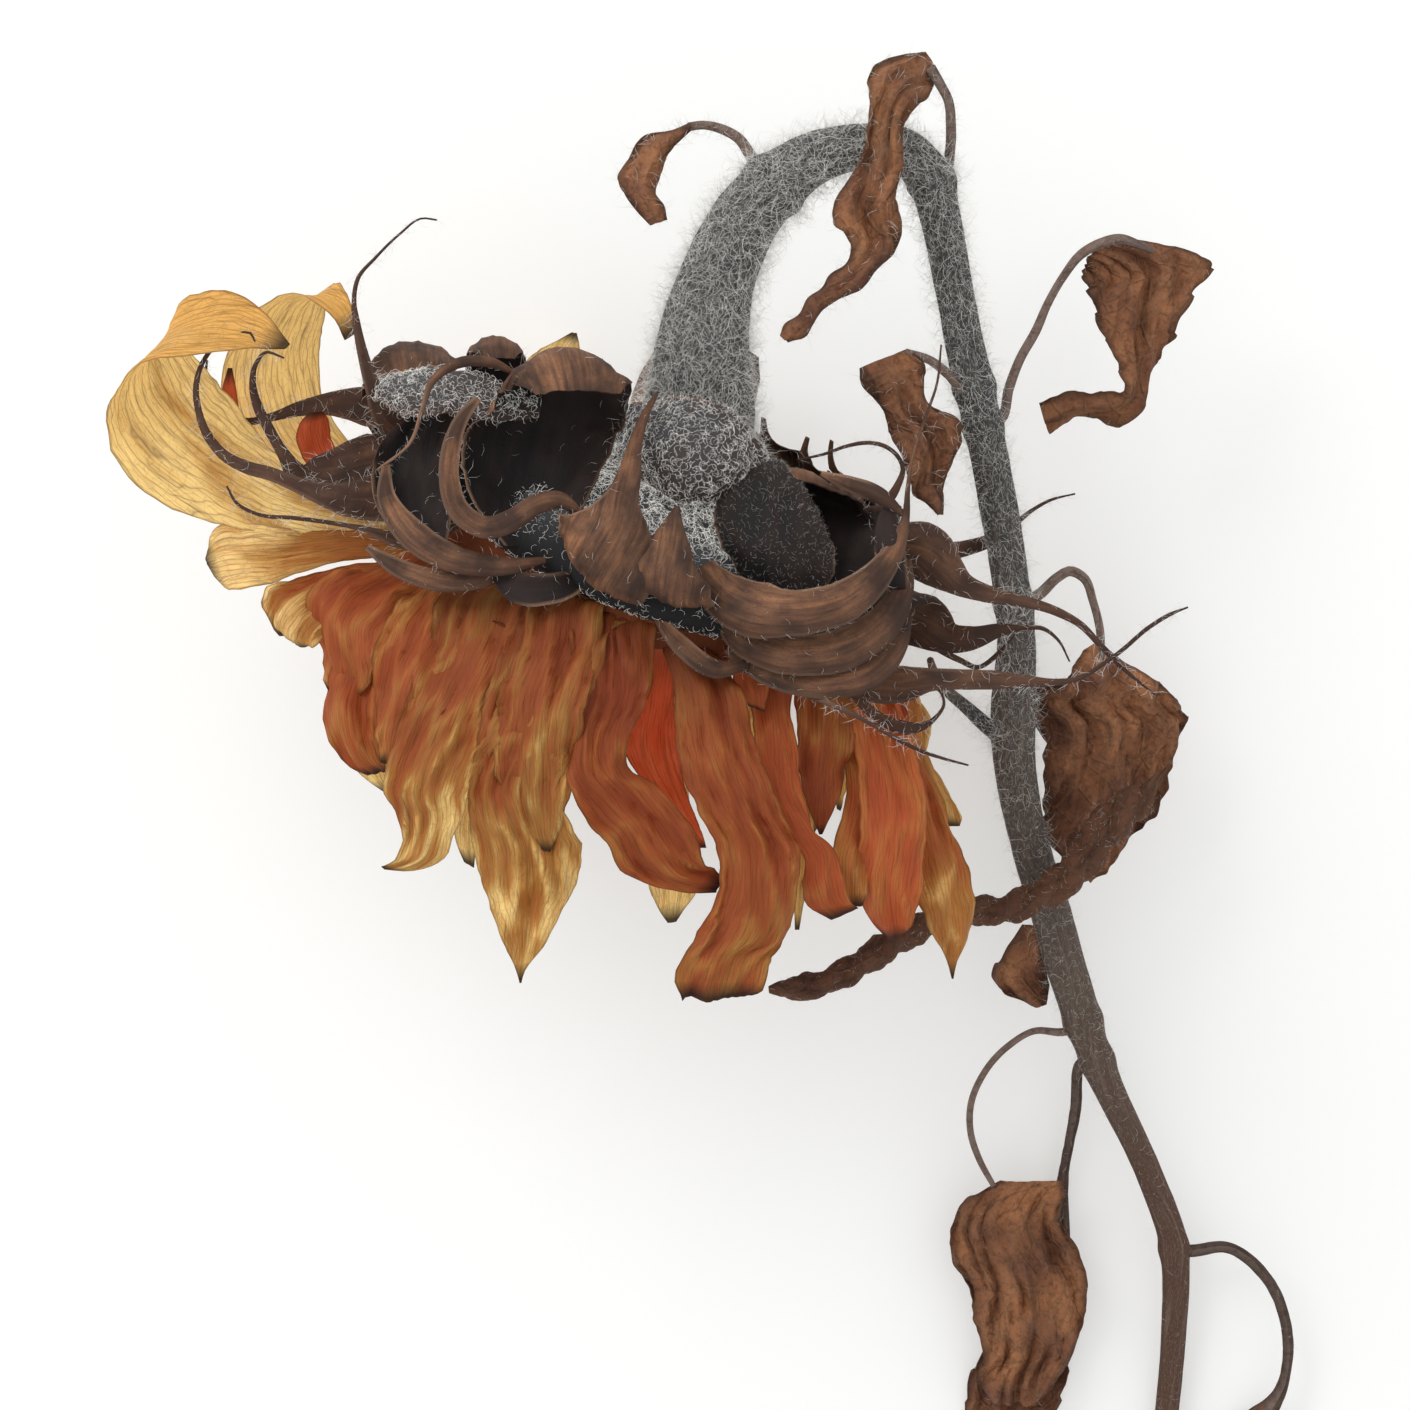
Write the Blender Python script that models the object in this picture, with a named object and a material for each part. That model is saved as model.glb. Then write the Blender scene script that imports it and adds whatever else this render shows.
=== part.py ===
"""A wilted sunflower, cut and laid on its side: a nodding head on a hooked stem with withered leaves.

The plant is measured in millimetres in its own frame: +X to the right of the drooping head, +Y along the stem
towards its hooked top, +Z up from the surface that it lies on. The origin is under the middle of the plant.
"""

import math
import random
from collections import namedtuple

import bmesh
import bpy
import numpy as np
from mathutils import Matrix, Vector

MM = 0.001

UP = Vector((0.0, 0.0, 1.0))

# The head: its middle, the way its stem side faces, and the turned forms around that axis.
HEAD_CENTRE = Vector((-9.5, 43.75, 56.0))
HEAD_AXIS = Vector((0.32, 0.885, 0.34)).normalized()
HEAD_SIDE = Vector((HEAD_AXIS.y, -HEAD_AXIS.x, 0.0)).normalized()
HEAD_FRONT = HEAD_SIDE.cross(HEAD_AXIS)

RECEPTACLE_RADIUS = 38.5
NECK_HEIGHT = 17.0
NECK_RADIUS = 9.7
SEAT_GAP = 0.35

COLLAR_INNER = 29.4
COLLAR_OUTER = 35.4
COLLAR_TOP = -3.6
COLLAR_BOTTOM = -8.0
PETAL_ROOT_RADIUS = 33.0
PETAL_ROOT_LEVEL = -6.0
PETAL_ROOT_WIDTH = 5.5

DISC_RADIUS = 29.0
DISC_CROWN = 5.0
DISC_EDGE = 1.6
FLORET_HEIGHT = 0.9

PETAL_THICKNESS = 0.7
PETAL_RUFFLE = 1.3
BRACT_THICKNESS = 0.8
BRACT_RUFFLE = 1.0
BRACT_STALK = 1.4
LEAF_THICKNESS = 0.8
LEAF_RUFFLE = 1.2
STALK_THICKNESS = 1.9
BLADE_TIP = 0.9
STEM_SIDES = 10
STEM_RINGS = 36
LEAF_CELLS = 13
LEAF_TEETH = 0.16
SETTLE = 0.05
SEAT_LEVEL = -3.25
DISC_SPIRAL = 0.35

RUFFLE_WAVES = 2.5
RUFFLE_FULL = 5.0

# A bract's width along its blade and along its tail, as shares of its full width.
BRACT_OUTLINE = (0.75, 0.92, 1.0, 1.0, 0.88, 0.68, 0.42)
TAIL_OUTLINE = (0.2, 0.1, 0.06)
TAIL_RELAX = 70

SEED_BRACTS = 4
SEED_PETALS = 11

# The stem from the head's back, over the hook and down to the cut end on the surface: x, y, z, diameter.
STEM = [
    (-3.9, 59.1, 61.9, 19.4),
    (-3.0, 64.0, 63.3, 18.4),
    (-2.8, 70.0, 64.5, 16.8),
    (-2.0, 78.0, 65.5, 14.6),
    (0.5, 87.5, 66.0, 12.6),
    (4.8, 96.0, 66.5, 11.6),
    (11.0, 102.7, 66.5, 10.2),
    (18.0, 106.8, 65.5, 8.6),
    (25.5, 108.4, 63.5, 7.6),
    (32.0, 107.6, 61.0, 7.6),
    (35.8, 104.0, 59.0, 7.6),
    (37.8, 97.5, 57.0, 7.0),
    (40.5, 84.5, 53.0, 6.4),
    (43.4, 71.0, 49.5, 6.2),
    (46.5, 58.0, 46.0, 5.8),
    (48.6, 47.5, 43.0, 5.7),
    (50.5, 36.5, 40.0, 5.6),
    (51.8, 25.0, 37.0, 5.8),
    (51.4, 13.0, 33.0, 6.8),
    (52.0, 2.0, 30.0, 6.2),
    (54.5, -10.0, 26.0, 5.8),
    (58.4, -22.5, 22.0, 6.4),
    (62.0, -34.5, 19.0, 6.6),
    (67.5, -50.0, 15.0, 5.6),
    (76.0, -68.0, 10.5, 5.2),
    (80.6, -80.5, 8.0, 5.8),
    (81.0, -97.0, 5.0, 4.8),
    (80.0, -110.5, 3.0, 4.4),
    (78.5, -124.0, 2.2, 4.4),
]

# Ray florets that show: the root's angle round the head and its turn, then the rows beyond the root. A row
# holds x, y, z, width, the turn about the petal's own line and the half-angle of its cup, both in degrees.
SHOWN_PETALS = {
    "curl_outer": (184, 65, [
        (-55.5, 46.0, 59.0, 10.0, 50, 10), (-70.5, 46.5, 62.0, 13.5, 25, 10),
        (-84.5, 51.0, 64.0, 16.0, 10, 8), (-93.5, 60.0, 64.0, 16.0, 0, 8),
        (-95.5, 70.5, 64.0, 14.5, 5, 10), (-89.0, 77.5, 67.0, 11.0, 15, 20),
        (-80.0, 78.5, 72.5, 9.5, 20, 20), (-71.0, 73.5, 77.0, 1.4, 20, 0)]),
    "curl_inner": (200, 60, [
        (-53.5, 53.0, 44.0, 11.0, 40, 10), (-65.5, 56.5, 42.0, 15.5, 20, 10),
        (-72.5, 66.0, 41.0, 18.0, 0, 12), (-73.0, 76.0, 42.5, 16.5, 0, 15),
        (-69.5, 81.0, 46.0, 10.0, 10, 25), (-63.5, 79.0, 50.0, 1.6, 20, 0)]),
    "left_low": (172, 60, [
        (-56.0, 39.5, 58.0, 8.0, 40, 10), (-69.0, 37.5, 60.0, 9.5, 20, 20), (-79.0, 37.5, 61.0, 10.5, 0, 25),
        (-85.5, 38.5, 61.0, 3.5, 0, 20)]),
    "left_flag": (163, 50, [
        (-52.5, 35.5, 66.0, 8.0, 30, 10), (-61.5, 31.5, 68.5, 9.5, 10, 20), (-67.5, 27.5, 69.5, 7.5, 0, 20),
        (-69.5, 23.0, 69.5, 1.6, 0, 0)]),
    "red_left": (154, 35, [
        (-49.5, 32.0, 72.0, 8.5, 15, 15), (-57.5, 25.0, 74.0, 10.0, 0, 25), (-62.0, 17.0, 74.0, 10.0, 0, 30),
        (-61.5, 9.5, 73.0, 9.5, 0, 30), (-58.5, 4.5, 72.0, 6.5, 0, 20), (-54.5, 2.0, 72.0, 1.6, 0, 0)]),
    "red_left_front": (144, 25, [
        (-45.0, 30.0, 79.0, 9.0, 10, 20), (-51.0, 21.0, 82.5, 10.5, 0, 25), (-54.5, 12.5, 84.0, 9.5, 0, 30),
        (-54.0, 4.5, 83.5, 7.0, 0, 25), (-52.0, -2.5, 82.5, 1.4, 0, 0)]),
    "flag_left": (132, 10, [
        (-40.5, 26.5, 85.5, 11.5, 0, 20), (-46.0, 14.0, 89.0, 13.0, 0, 25),
        (-49.0, 3.5, 89.5, 10.5, 0, 25), (-47.5, -4.5, 88.5, 10.5, 5, 20),
        (-49.0, -9.8, 88.0, 6.5, 20, 10), (-55.0, -12.5, 88.0, 1.0, 30, 0)]),
    "fold_left": (119, 0, [
        (-34.0, 22.0, 90.5, 10.5, 0, 30), (-38.5, 11.0, 93.5, 10.5, 0, 35), (-40.5, 1.0, 93.5, 8.0, 0, 30),
        (-40.0, -7.0, 92.5, 5.0, 0, 20), (-39.5, -11.5, 92.0, 1.2, 0, 0)]),
    "blade_centre": (107, 0, [
        (-26.5, 21.5, 90.5, 13.0, 0, 15), (-29.0, 11.0, 92.5, 14.5, 0, 20),
        (-32.0, 0.5, 91.0, 13.0, 0, 20), (-32.0, -9.5, 89.0, 17.0, 0, 12),
        (-31.5, -15.0, 88.0, 17.6, 0, 10), (-32.0, -23.5, 87.0, 11.0, 0, 15),
        (-32.5, -32.0, 86.0, 1.0, 0, 0)]),
    "fold_centre": (96, 0, [
        (-21.0, 18.5, 96.5, 9.0, 0, 35), (-23.5, 7.5, 99.0, 8.0, 0, 40), (-25.0, -2.0, 98.0, 6.0, 0, 40),
        (-26.0, -12.5, 96.5, 1.2, 0, 0)]),
    "sweep_centre": (84, 0, [
        (-12.5, 18.5, 91.5, 15.0, 0, 15), (-16.0, 8.0, 93.5, 15.0, 0, 15),
        (-14.5, -3.0, 92.5, 14.0, -5, 12), (-9.5, -10.5, 91.5, 10.5, -10, 10),
        (-4.0, -14.5, 90.5, 6.5, -10, 10), (0.5, -17.0, 89.5, 1.2, -10, 0)]),
    "inner_centre": (91, 0, [
        (-13.5, 20.5, 80.0, 9.0, 0, 15), (-10.5, 10.5, 76.5, 12.0, 0, 20), (-7.5, 0.0, 75.0, 12.0, 0, 20),
        (-7.0, -9.0, 74.5, 10.0, 0, 20), (-7.5, -17.0, 74.5, 8.0, 0, 20), (-8.0, -23.0, 74.5, 1.2, 0, 0)]),
    "long_right": (66, 0, [
        (-0.5, 11.5, 88.0, 13.0, 0, 15), (3.0, 0.5, 91.0, 16.5, 0, 15), (6.0, -10.5, 91.0, 17.0, 0, 12),
        (6.8, -19.0, 90.5, 15.0, 0, 12), (4.5, -26.5, 91.5, 13.5, 0, 8), (1.5, -33.5, 89.5, 12.0, 0, 5),
        (-3.0, -34.5, 83.0, 7.5, 0, 0), (-6.0, -30.0, 78.5, 1.2, 0, 0)]),
    "strip_right": (51, -10, [
        (10.0, 11.0, 83.0, 8.0, 0, 20), (13.5, -0.5, 85.5, 8.0, 0, 20), (16.8, -10.0, 85.5, 8.5, 0, 20),
        (20.5, -16.5, 85.5, 9.0, 0, 20), (25.5, -20.5, 84.5, 1.2, 0, 0)]),
    "short_right": (40, -15, [
        (14.5, 13.0, 73.5, 8.5, 0, 25), (15.5, 3.0, 74.5, 9.0, 0, 30), (17.0, -8.5, 74.0, 1.6, 0, 0)]),
    "lobe_right": (28, -25, [
        (21.5, 11.0, 76.5, 11.5, 0, 15), (25.5, -1.5, 79.5, 13.0, 0, 15), (28.0, -12.0, 79.5, 12.0, 0, 25),
        (29.0, -20.0, 78.0, 10.0, 0, 40), (28.5, -25.0, 75.5, 4.0, 0, 40)]),
    "tip_right": (13, -40, [
        (29.5, 13.0, 67.0, 10.0, 0, 15), (34.0, 1.5, 70.5, 10.0, 0, 15), (37.0, -8.5, 71.5, 9.0, 0, 15),
        (38.5, -17.0, 71.5, 10.0, 0, 15), (39.5, -24.0, 70.5, 6.5, 0, 15), (39.5, -32.0, 69.5, 1.0, 0, 0)]),
    "edge_right": (0, -55, [
        (32.0, 12.5, 57.0, 9.0, -20, 20), (36.5, 3.5, 58.5, 9.0, 0, 20), (40.5, -4.5, 58.5, 5.0, 0, 10),
        (43.0, -8.0, 58.5, 1.2, 0, 0)]),
}

# One ray floret has curled up behind the head: rows of angle, radius, level, width and cup.
RAISED_PETAL = [
    (238, 33, -6.0, 5.5, 5),
    (238, 42, -10.0, 9.0, 10),
    (239, 52, -8.0, 11.5, 12),
    (240, 58, 0.0, 11.0, 15),
    (241, 58, 7.5, 8.5, 15),
    (242, 57, 12.0, 1.0, 0),
]

# Ray florets behind the head, by rule: how many, between which angles, and how they hang.
HIDDEN_PETALS = 10
HIDDEN_FROM, HIDDEN_TO = 212, 348
HIDDEN_LENGTH, HIDDEN_WIDTH = 52.0, 12.5

# Bracts with long tails at the two sides: the root's angle, its turn, then the rows beyond the root.
SHOWN_BRACTS = {
    "rising_left": (168, 45, [
        (-53.0, 56.5, 72.0, 9.0, 0, 10), (-56.5, 64.0, 74.5, 5.5, 0, 0), (-59.5, 73.5, 75.5, 2.4, 0, 0),
        (-61.0, 82.0, 76.0, 1.6, 0, 0), (-58.5, 88.5, 76.0, 1.2, 0, 0), (-52.5, 94.5, 76.0, 1.0, 0, 0),
        (-47.5, 95.5, 76.0, 0.9, 0, 0)]),
    "loop_left": (186, 60, [
        (-55.0, 60.0, 54.0, 8.5, 30, 0), (-64.5, 61.5, 52.0, 5.0, 10, 0), (-74.0, 61.5, 51.5, 2.6, 0, 0)]),
    "hook_left": (176, 50, [
        (-57.0, 54.0, 70.0, 9.5, 20, 10), (-66.5, 53.5, 72.5, 6.0, 0, 0), (-73.0, 57.5, 73.5, 3.2, 0, 0),
        (-76.5, 65.0, 75.5, 2.0, 0, 0), (-77.0, 72.0, 79.0, 1.4, 0, 0), (-74.0, 76.5, 81.5, 1.0, 0, 0),
        (-69.0, 77.0, 83.0, 0.9, 0, 0)]),
    "arc_left": (158, 30, [
        (-54.5, 50.0, 75.5, 10.0, 10, 10), (-66.0, 49.5, 77.5, 6.0, 0, 0), (-75.0, 51.5, 77.5, 3.6, 0, 0),
        (-81.5, 55.0, 77.5, 2.4, 0, 0), (-86.0, 61.0, 77.5, 1.6, 0, 0), (-87.0, 68.0, 77.5, 1.1, 0, 0),
        (-84.0, 75.0, 78.0, 0.9, 0, 0)]),
    "reach_right": (6, -40, [
        (36.0, 37.5, 65.0, 10.0, -20, 10), (43.5, 34.5, 67.5, 5.0, 0, 0), (50.0, 32.5, 69.0, 3.0, 0, 0),
        (57.0, 29.5, 70.0, 2.0, 0, 0), (63.5, 25.0, 71.0, 1.4, 0, 0), (68.5, 19.5, 72.0, 1.0, 0, 0),
        (72.5, 16.0, 72.0, 0.9, 0, 0)]),
    "bend_right": (352, -55, [
        (36.5, 29.0, 54.0, 10.5, -20, 10), (42.5, 25.5, 54.0, 5.0, 0, 0), (49.5, 27.5, 50.0, 3.0, 0, 0)]),
    "long_right": (18, -30, [
        (33.5, 22.0, 73.5, 10.0, -10, 10), (40.0, 18.5, 76.5, 5.5, 0, 0), (47.0, 17.5, 77.5, 4.0, 0, 0),
        (55.0, 17.5, 78.0, 3.0, 0, 0), (61.5, 19.0, 78.5, 2.0, 0, 0), (68.0, 23.5, 79.0, 1.4, 0, 0),
        (78.0, 30.5, 79.5, 0.9, 0, 0)]),
    "rising_right": (340, -40, [
        (29.0, 48.0, 48.0, 6.0, 0, 0), (32.0, 56.0, 50.0, 2.6, 0, 0), (34.0, 63.0, 51.5, 1.6, 0, 0),
        (36.0, 69.0, 62.0, 1.1, 0, 0), (38.0, 76.0, 65.0, 0.9, 0, 0)]),
}

# A bract by rule: the root's angle, radius and level, its length, width, first heading and curl in degrees,
# the tail's length and how far the tail sways round the head in degrees.
CurledBract = namedtuple("CurledBract", "angle radius level length width heading curl tail sway")

FRONT_BRACTS = [
    CurledBract(151, 33, 0.0, 25, 17, -28, 185, 8, 8),
    CurledBract(131, 33, 0.0, 26, 24, -26, 172, 6, -6),
    CurledBract(117, 34, -1.5, 26, 18, -45, 180, 6, 6),
    CurledBract(104, 33, 0.0, 25, 18, -32, 185, 7, 10),
    CurledBract(86, 33, 0.0, 25, 17, -30, 185, 8, -12),
    CurledBract(63, 33, 0.0, 27, 25, -26, 178, 8, 8),
    CurledBract(54, 34, -1.5, 27, 20, -45, 185, 7, -8),
    CurledBract(41, 33, 0.0, 25, 18, -34, 175, 8, -10),
    CurledBract(142, 30, 3.0, 28, 14, 0, 170, 10, -8),
    CurledBract(97, 30, 3.5, 28, 13, 8, 118, 13, 9),
    CurledBract(76, 29, 4.0, 20, 11, 5, 150, 6, -8),
    CurledBract(34, 30, 3.0, 26, 14, 0, 165, 12, 14),
]

# Bracts behind the head, by rule: two open wide and carry the head on their tails, the rest curl like others.
CARRYING_ANGLES = (256, 277)
REAR_FROM = 190
REAR_ANGLES = (200, 213, 227, 241, 266, 291, 305, 319, 333)

# Withered leaves: rows of x, y, z, width and cup, the first of them along the thin stalk.
LEAVES = {
    "leaf_hook": ("strap", [
        (39.4, 108.5, 58.8, 2.4, 0), (39.4, 113.0, 59.4, 2.2, 0), (37.6, 118.0, 61.0, 2.4, 0),
        (34.8, 121.3, 63.5, 4.0, 20), (31.8, 120.5, 67.0, 7.0, 50), (30.2, 114.5, 69.5, 7.5, 50),
        (29.0, 107.0, 71.5, 5.0, 60), (27.2, 100.5, 72.5, 8.0, 50), (26.5, 94.5, 73.0, 10.5, 40),
        (24.8, 89.5, 73.5, 8.5, 50), (21.5, 85.2, 74.0, 5.0, 60), (17.5, 81.3, 75.0, 3.6, 60),
        (13.0, 77.0, 76.0, 2.6, 60)]),
    "leaf_neck": ("strap", [
        (5.2, 103.8, 65.5, 2.0, 0), (2.0, 110.2, 65.5, 2.0, 0), (-4.0, 111.6, 65.0, 2.4, 0),
        (-9.5, 109.0, 65.5, 4.6, 30), (-13.3, 104.0, 66.0, 5.4, 50), (-13.0, 98.8, 66.0, 4.8, 60),
        (-9.0, 95.6, 65.5, 2.0, 40)]),
    "leaf_upper": ("toothed", [
        (48.6, 61.5, 46.5, 2.2, 0), (51.8, 71.0, 46.5, 2.0, 0), (56.5, 82.5, 45.0, 2.0, 0),
        (61.5, 91.0, 43.0, 2.4, 0), (67.0, 94.5, 40.5, 4.0, 10), (72.5, 89.5, 38.5, 16.0, 25),
        (73.0, 82.0, 36.5, 15.5, 30), (72.2, 75.0, 35.0, 11.5, 35), (71.0, 69.0, 34.0, 7.5, 50),
        (67.0, 65.3, 34.0, 5.5, 60), (61.5, 64.8, 33.5, 4.8, 60), (56.5, 64.5, 32.5, 3.0, 50)]),
    "leaf_middle": ("strap", [
        (41.0, 70.5, 50.5, 2.6, 0), (36.5, 72.6, 52.5, 3.0, 0), (30.8, 72.8, 54.5, 5.5, 20),
        (27.8, 69.0, 56.0, 6.5, 40), (30.5, 61.5, 56.5, 8.0, 40), (35.8, 55.0, 56.0, 9.5, 35),
        (38.6, 50.0, 54.5, 6.5, 50), (37.5, 46.3, 53.5, 2.6, 40)]),
    "leaf_broad": ("toothed", [
        (55.0, 33.3, 38.0, 2.2, 0), (59.0, 36.4, 36.5, 2.2, 0), (63.0, 35.0, 35.5, 2.6, 0),
        (65.3, 28.5, 34.5, 5.5, 10), (66.0, 20.5, 34.0, 18.0, 25), (66.8, 12.0, 33.5, 25.0, 30),
        (68.0, 3.5, 33.0, 22.0, 35), (68.5, -4.0, 32.5, 15.0, 45), (66.0, -10.5, 32.5, 9.5, 70)]),
    "leaf_node": ("strap", [
        (57.0, -30.0, 16.0, 2.4, 0), (55.0, -33.0, 13.5, 5.0, 20), (53.4, -36.5, 11.5, 7.5, 30),
        (52.6, -41.0, 10.0, 2.0, 20)]),
    "leaf_low": ("toothed", [
        (58.6, -43.3, 15.5, 1.9, 0), (51.5, -45.0, 15.5, 1.8, 0), (46.0, -52.5, 14.5, 1.8, 0),
        (45.0, -61.5, 13.0, 1.8, 0), (48.0, -70.0, 10.5, 2.4, 0), (52.0, -76.0, 9.0, 13.5, 35),
        (54.5, -84.0, 8.0, 18.5, 40), (55.5, -93.0, 7.8, 17.5, 45), (54.8, -101.0, 8.0, 11.5, 50),
        (52.5, -107.0, 8.4, 4.0, 40)]),
    "leaf_foot": ("toothed", [
        (64.2, -49.3, 10.2, 1.9, 0), (63.6, -57.0, 6.5, 1.9, 0), (61.5, -70.0, 2.4, 1.9, 0),
        (60.5, -82.0, 0.4, 5.0, 0), (57.0, -98.0, 0.0, 13.5, 0), (52.0, -110.0, 0.0, 16.5, 0),
        (49.5, -117.5, 0.0, 10.0, 0), (48.0, -123.0, 0.0, 2.0, 0)]),
    "leaf_loop": ("toothed", [
        (84.2, -82.4, 8.2, 2.2, 0), (90.0, -81.8, 8.6, 1.9, 0), (97.0, -87.0, 8.0, 1.9, 0),
        (101.0, -97.5, 6.6, 1.9, 0), (99.8, -107.5, 5.0, 2.2, 0), (95.0, -114.0, 3.6, 6.0, 20),
        (90.5, -119.5, 2.6, 8.5, 30), (87.0, -124.0, 2.0, 2.4, 20)]),
}

# The broad leaf's long tip has rolled up and twisted like a rope: x, y, z, diameter.
ROLLED_TIP = [
    (66.0, -8.5, 32.5, 6.5),
    (62.0, -14.5, 32.5, 6.0),
    (57.0, -18.5, 32.8, 5.4),
    (50.0, -21.3, 33.5, 4.8),
    (44.0, -21.8, 34.5, 4.6),
    (38.5, -22.8, 35.5, 4.6),
    (33.0, -25.5, 36.5, 4.6),
    (28.0, -28.5, 37.5, 4.6),
    (22.5, -32.0, 38.5, 4.4),
    (16.5, -34.3, 39.5, 4.2),
    (9.0, -35.0, 40.5, 3.2),
]
ROLL_TWISTS = 9
ROLL_DEPTH = 0.22


def clear_scene():
    """Remove every object that the scene starts with."""
    for thing in list(bpy.data.objects):
        bpy.data.objects.remove(thing, do_unlink=True)


def finish(name, red, green, blue, roughness):
    """Make a plain dry plant surface of one colour, given as linear values."""
    material = bpy.data.materials.new(name)
    material.use_nodes = True
    shader = material.node_tree.nodes["Principled BSDF"]
    shader.inputs["Base Color"].default_value = (red, green, blue, 1.0)
    shader.inputs["Roughness"].default_value = roughness
    shader.inputs["Metallic"].default_value = 0.0
    material.diffuse_color = (red, green, blue, 1.0)
    return material


def head_point(angle, radius, level):
    """Find a place on the head: degrees round it, distance from its axis, height towards the stem."""
    turn = math.radians(angle)
    outward = HEAD_SIDE * math.cos(turn) + HEAD_FRONT * math.sin(turn)
    return HEAD_CENTRE + outward * radius + HEAD_AXIS * level


def head_across(angle):
    """Give the direction that runs round the head at an angle."""
    turn = math.radians(angle)
    return HEAD_FRONT * math.cos(turn) - HEAD_SIDE * math.sin(turn)


def smooth(knots, count):
    """Read count + 1 rows off a smooth curve through the knots, evenly spaced along its length."""
    knots = np.array(knots, dtype=float)
    gaps = np.linalg.norm(np.diff(knots[:, :3], axis=0), axis=1)
    reach = np.concatenate(([0.0], np.cumsum(gaps)))
    slopes = np.gradient(knots, reach, axis=0)
    wanted = np.linspace(0.0, reach[-1], count + 1)
    span = np.clip(np.searchsorted(reach, wanted, side="right") - 1, 0, len(reach) - 2)
    step = (reach[span + 1] - reach[span])[:, None]
    t = (wanted - reach[span])[:, None] / step
    start = (2 * t**3 - 3 * t**2 + 1) * knots[span] + (t**3 - 2 * t**2 + t) * step * slopes[span]
    end = (3 * t**2 - 2 * t**3) * knots[span + 1] + (t**3 - t**2) * step * slopes[span + 1]
    return start + end


def directions(points):
    """Give the unit direction of travel at each point of a line."""
    steps = np.gradient(np.array([tuple(point) for point in points]), axis=0)
    return [Vector(step).normalized() for step in steps]


def mesh_object(name, vertices, faces):
    """Build an object from points in millimetres and faces, with its faces turned outwards."""
    shape = bmesh.new()
    corners = [shape.verts.new(Vector(place) * MM) for place in vertices]
    for face in faces:
        shape.faces.new([corners[index] for index in face])
    bmesh.ops.recalc_face_normals(shape, faces=shape.faces)
    mesh = bpy.data.meshes.new(name)
    shape.to_mesh(mesh)
    shape.free()
    thing = bpy.data.objects.new(name, mesh)
    bpy.context.scene.collection.objects.link(thing)
    return thing


def rest_on_surface(place):
    """Lift a point that would sink into the surface, and settle one that all but touches it."""
    if place[2] < SETTLE:
        place[2] = 0.0
    return place


def tube(name, path, sides, first_direction=None, spare=0.0, flutes=None):
    """Loft a closed round tube along rows of x, y, z and diameter; flutes gives it a twisted surface."""
    points = [Vector(row[:3]) for row in path]
    ways = directions(points)
    if first_direction is not None:
        ways[0] = first_direction
    side = ways[0].orthogonal().normalized()
    vertices = []
    for index, (point, way) in enumerate(zip(points, ways)):
        side = (side - way * side.dot(way)).normalized()
        other = way.cross(side)
        radius = path[index][3] / 2 + spare
        for corner in range(sides):
            turn = 2 * math.pi * corner / sides
            swell = 1.0 if flutes is None else flutes(index / (len(points) - 1), turn)
            place = point + (side * math.cos(turn) + other * math.sin(turn)) * radius * swell
            vertices.append(rest_on_surface(place))
    faces = [tuple(range(sides)), tuple(range(sides * (len(points) - 1), sides * len(points)))]
    for ring in range(len(points) - 1):
        for corner in range(sides):
            beside = (corner + 1) % sides
            low, high = ring * sides, (ring + 1) * sides
            faces.append((low + corner, low + beside, high + beside))
            faces.append((low + corner, high + beside, high + corner))
    return mesh_object(name, vertices, faces)


def turned(name, profile, sides, open_middle):
    """Turn a profile of radius and level round the head's axis, into a ring or a solid with flat ends."""
    vertices = []
    for radius, level in profile:
        for corner in range(sides):
            vertices.append(head_point(360 * corner / sides, radius, level))
    rings = len(profile)
    faces = []
    if not open_middle:
        faces = [tuple(range(sides)), tuple(range(sides * (rings - 1), sides * rings))]
    for ring in range(rings if open_middle else rings - 1):
        for corner in range(sides):
            beside = (corner + 1) % sides
            low, high = ring * sides, (ring + 1) % rings * sides
            faces.append((low + corner, low + beside, high + beside, high + corner))
    return mesh_object(name, vertices, faces)


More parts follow.
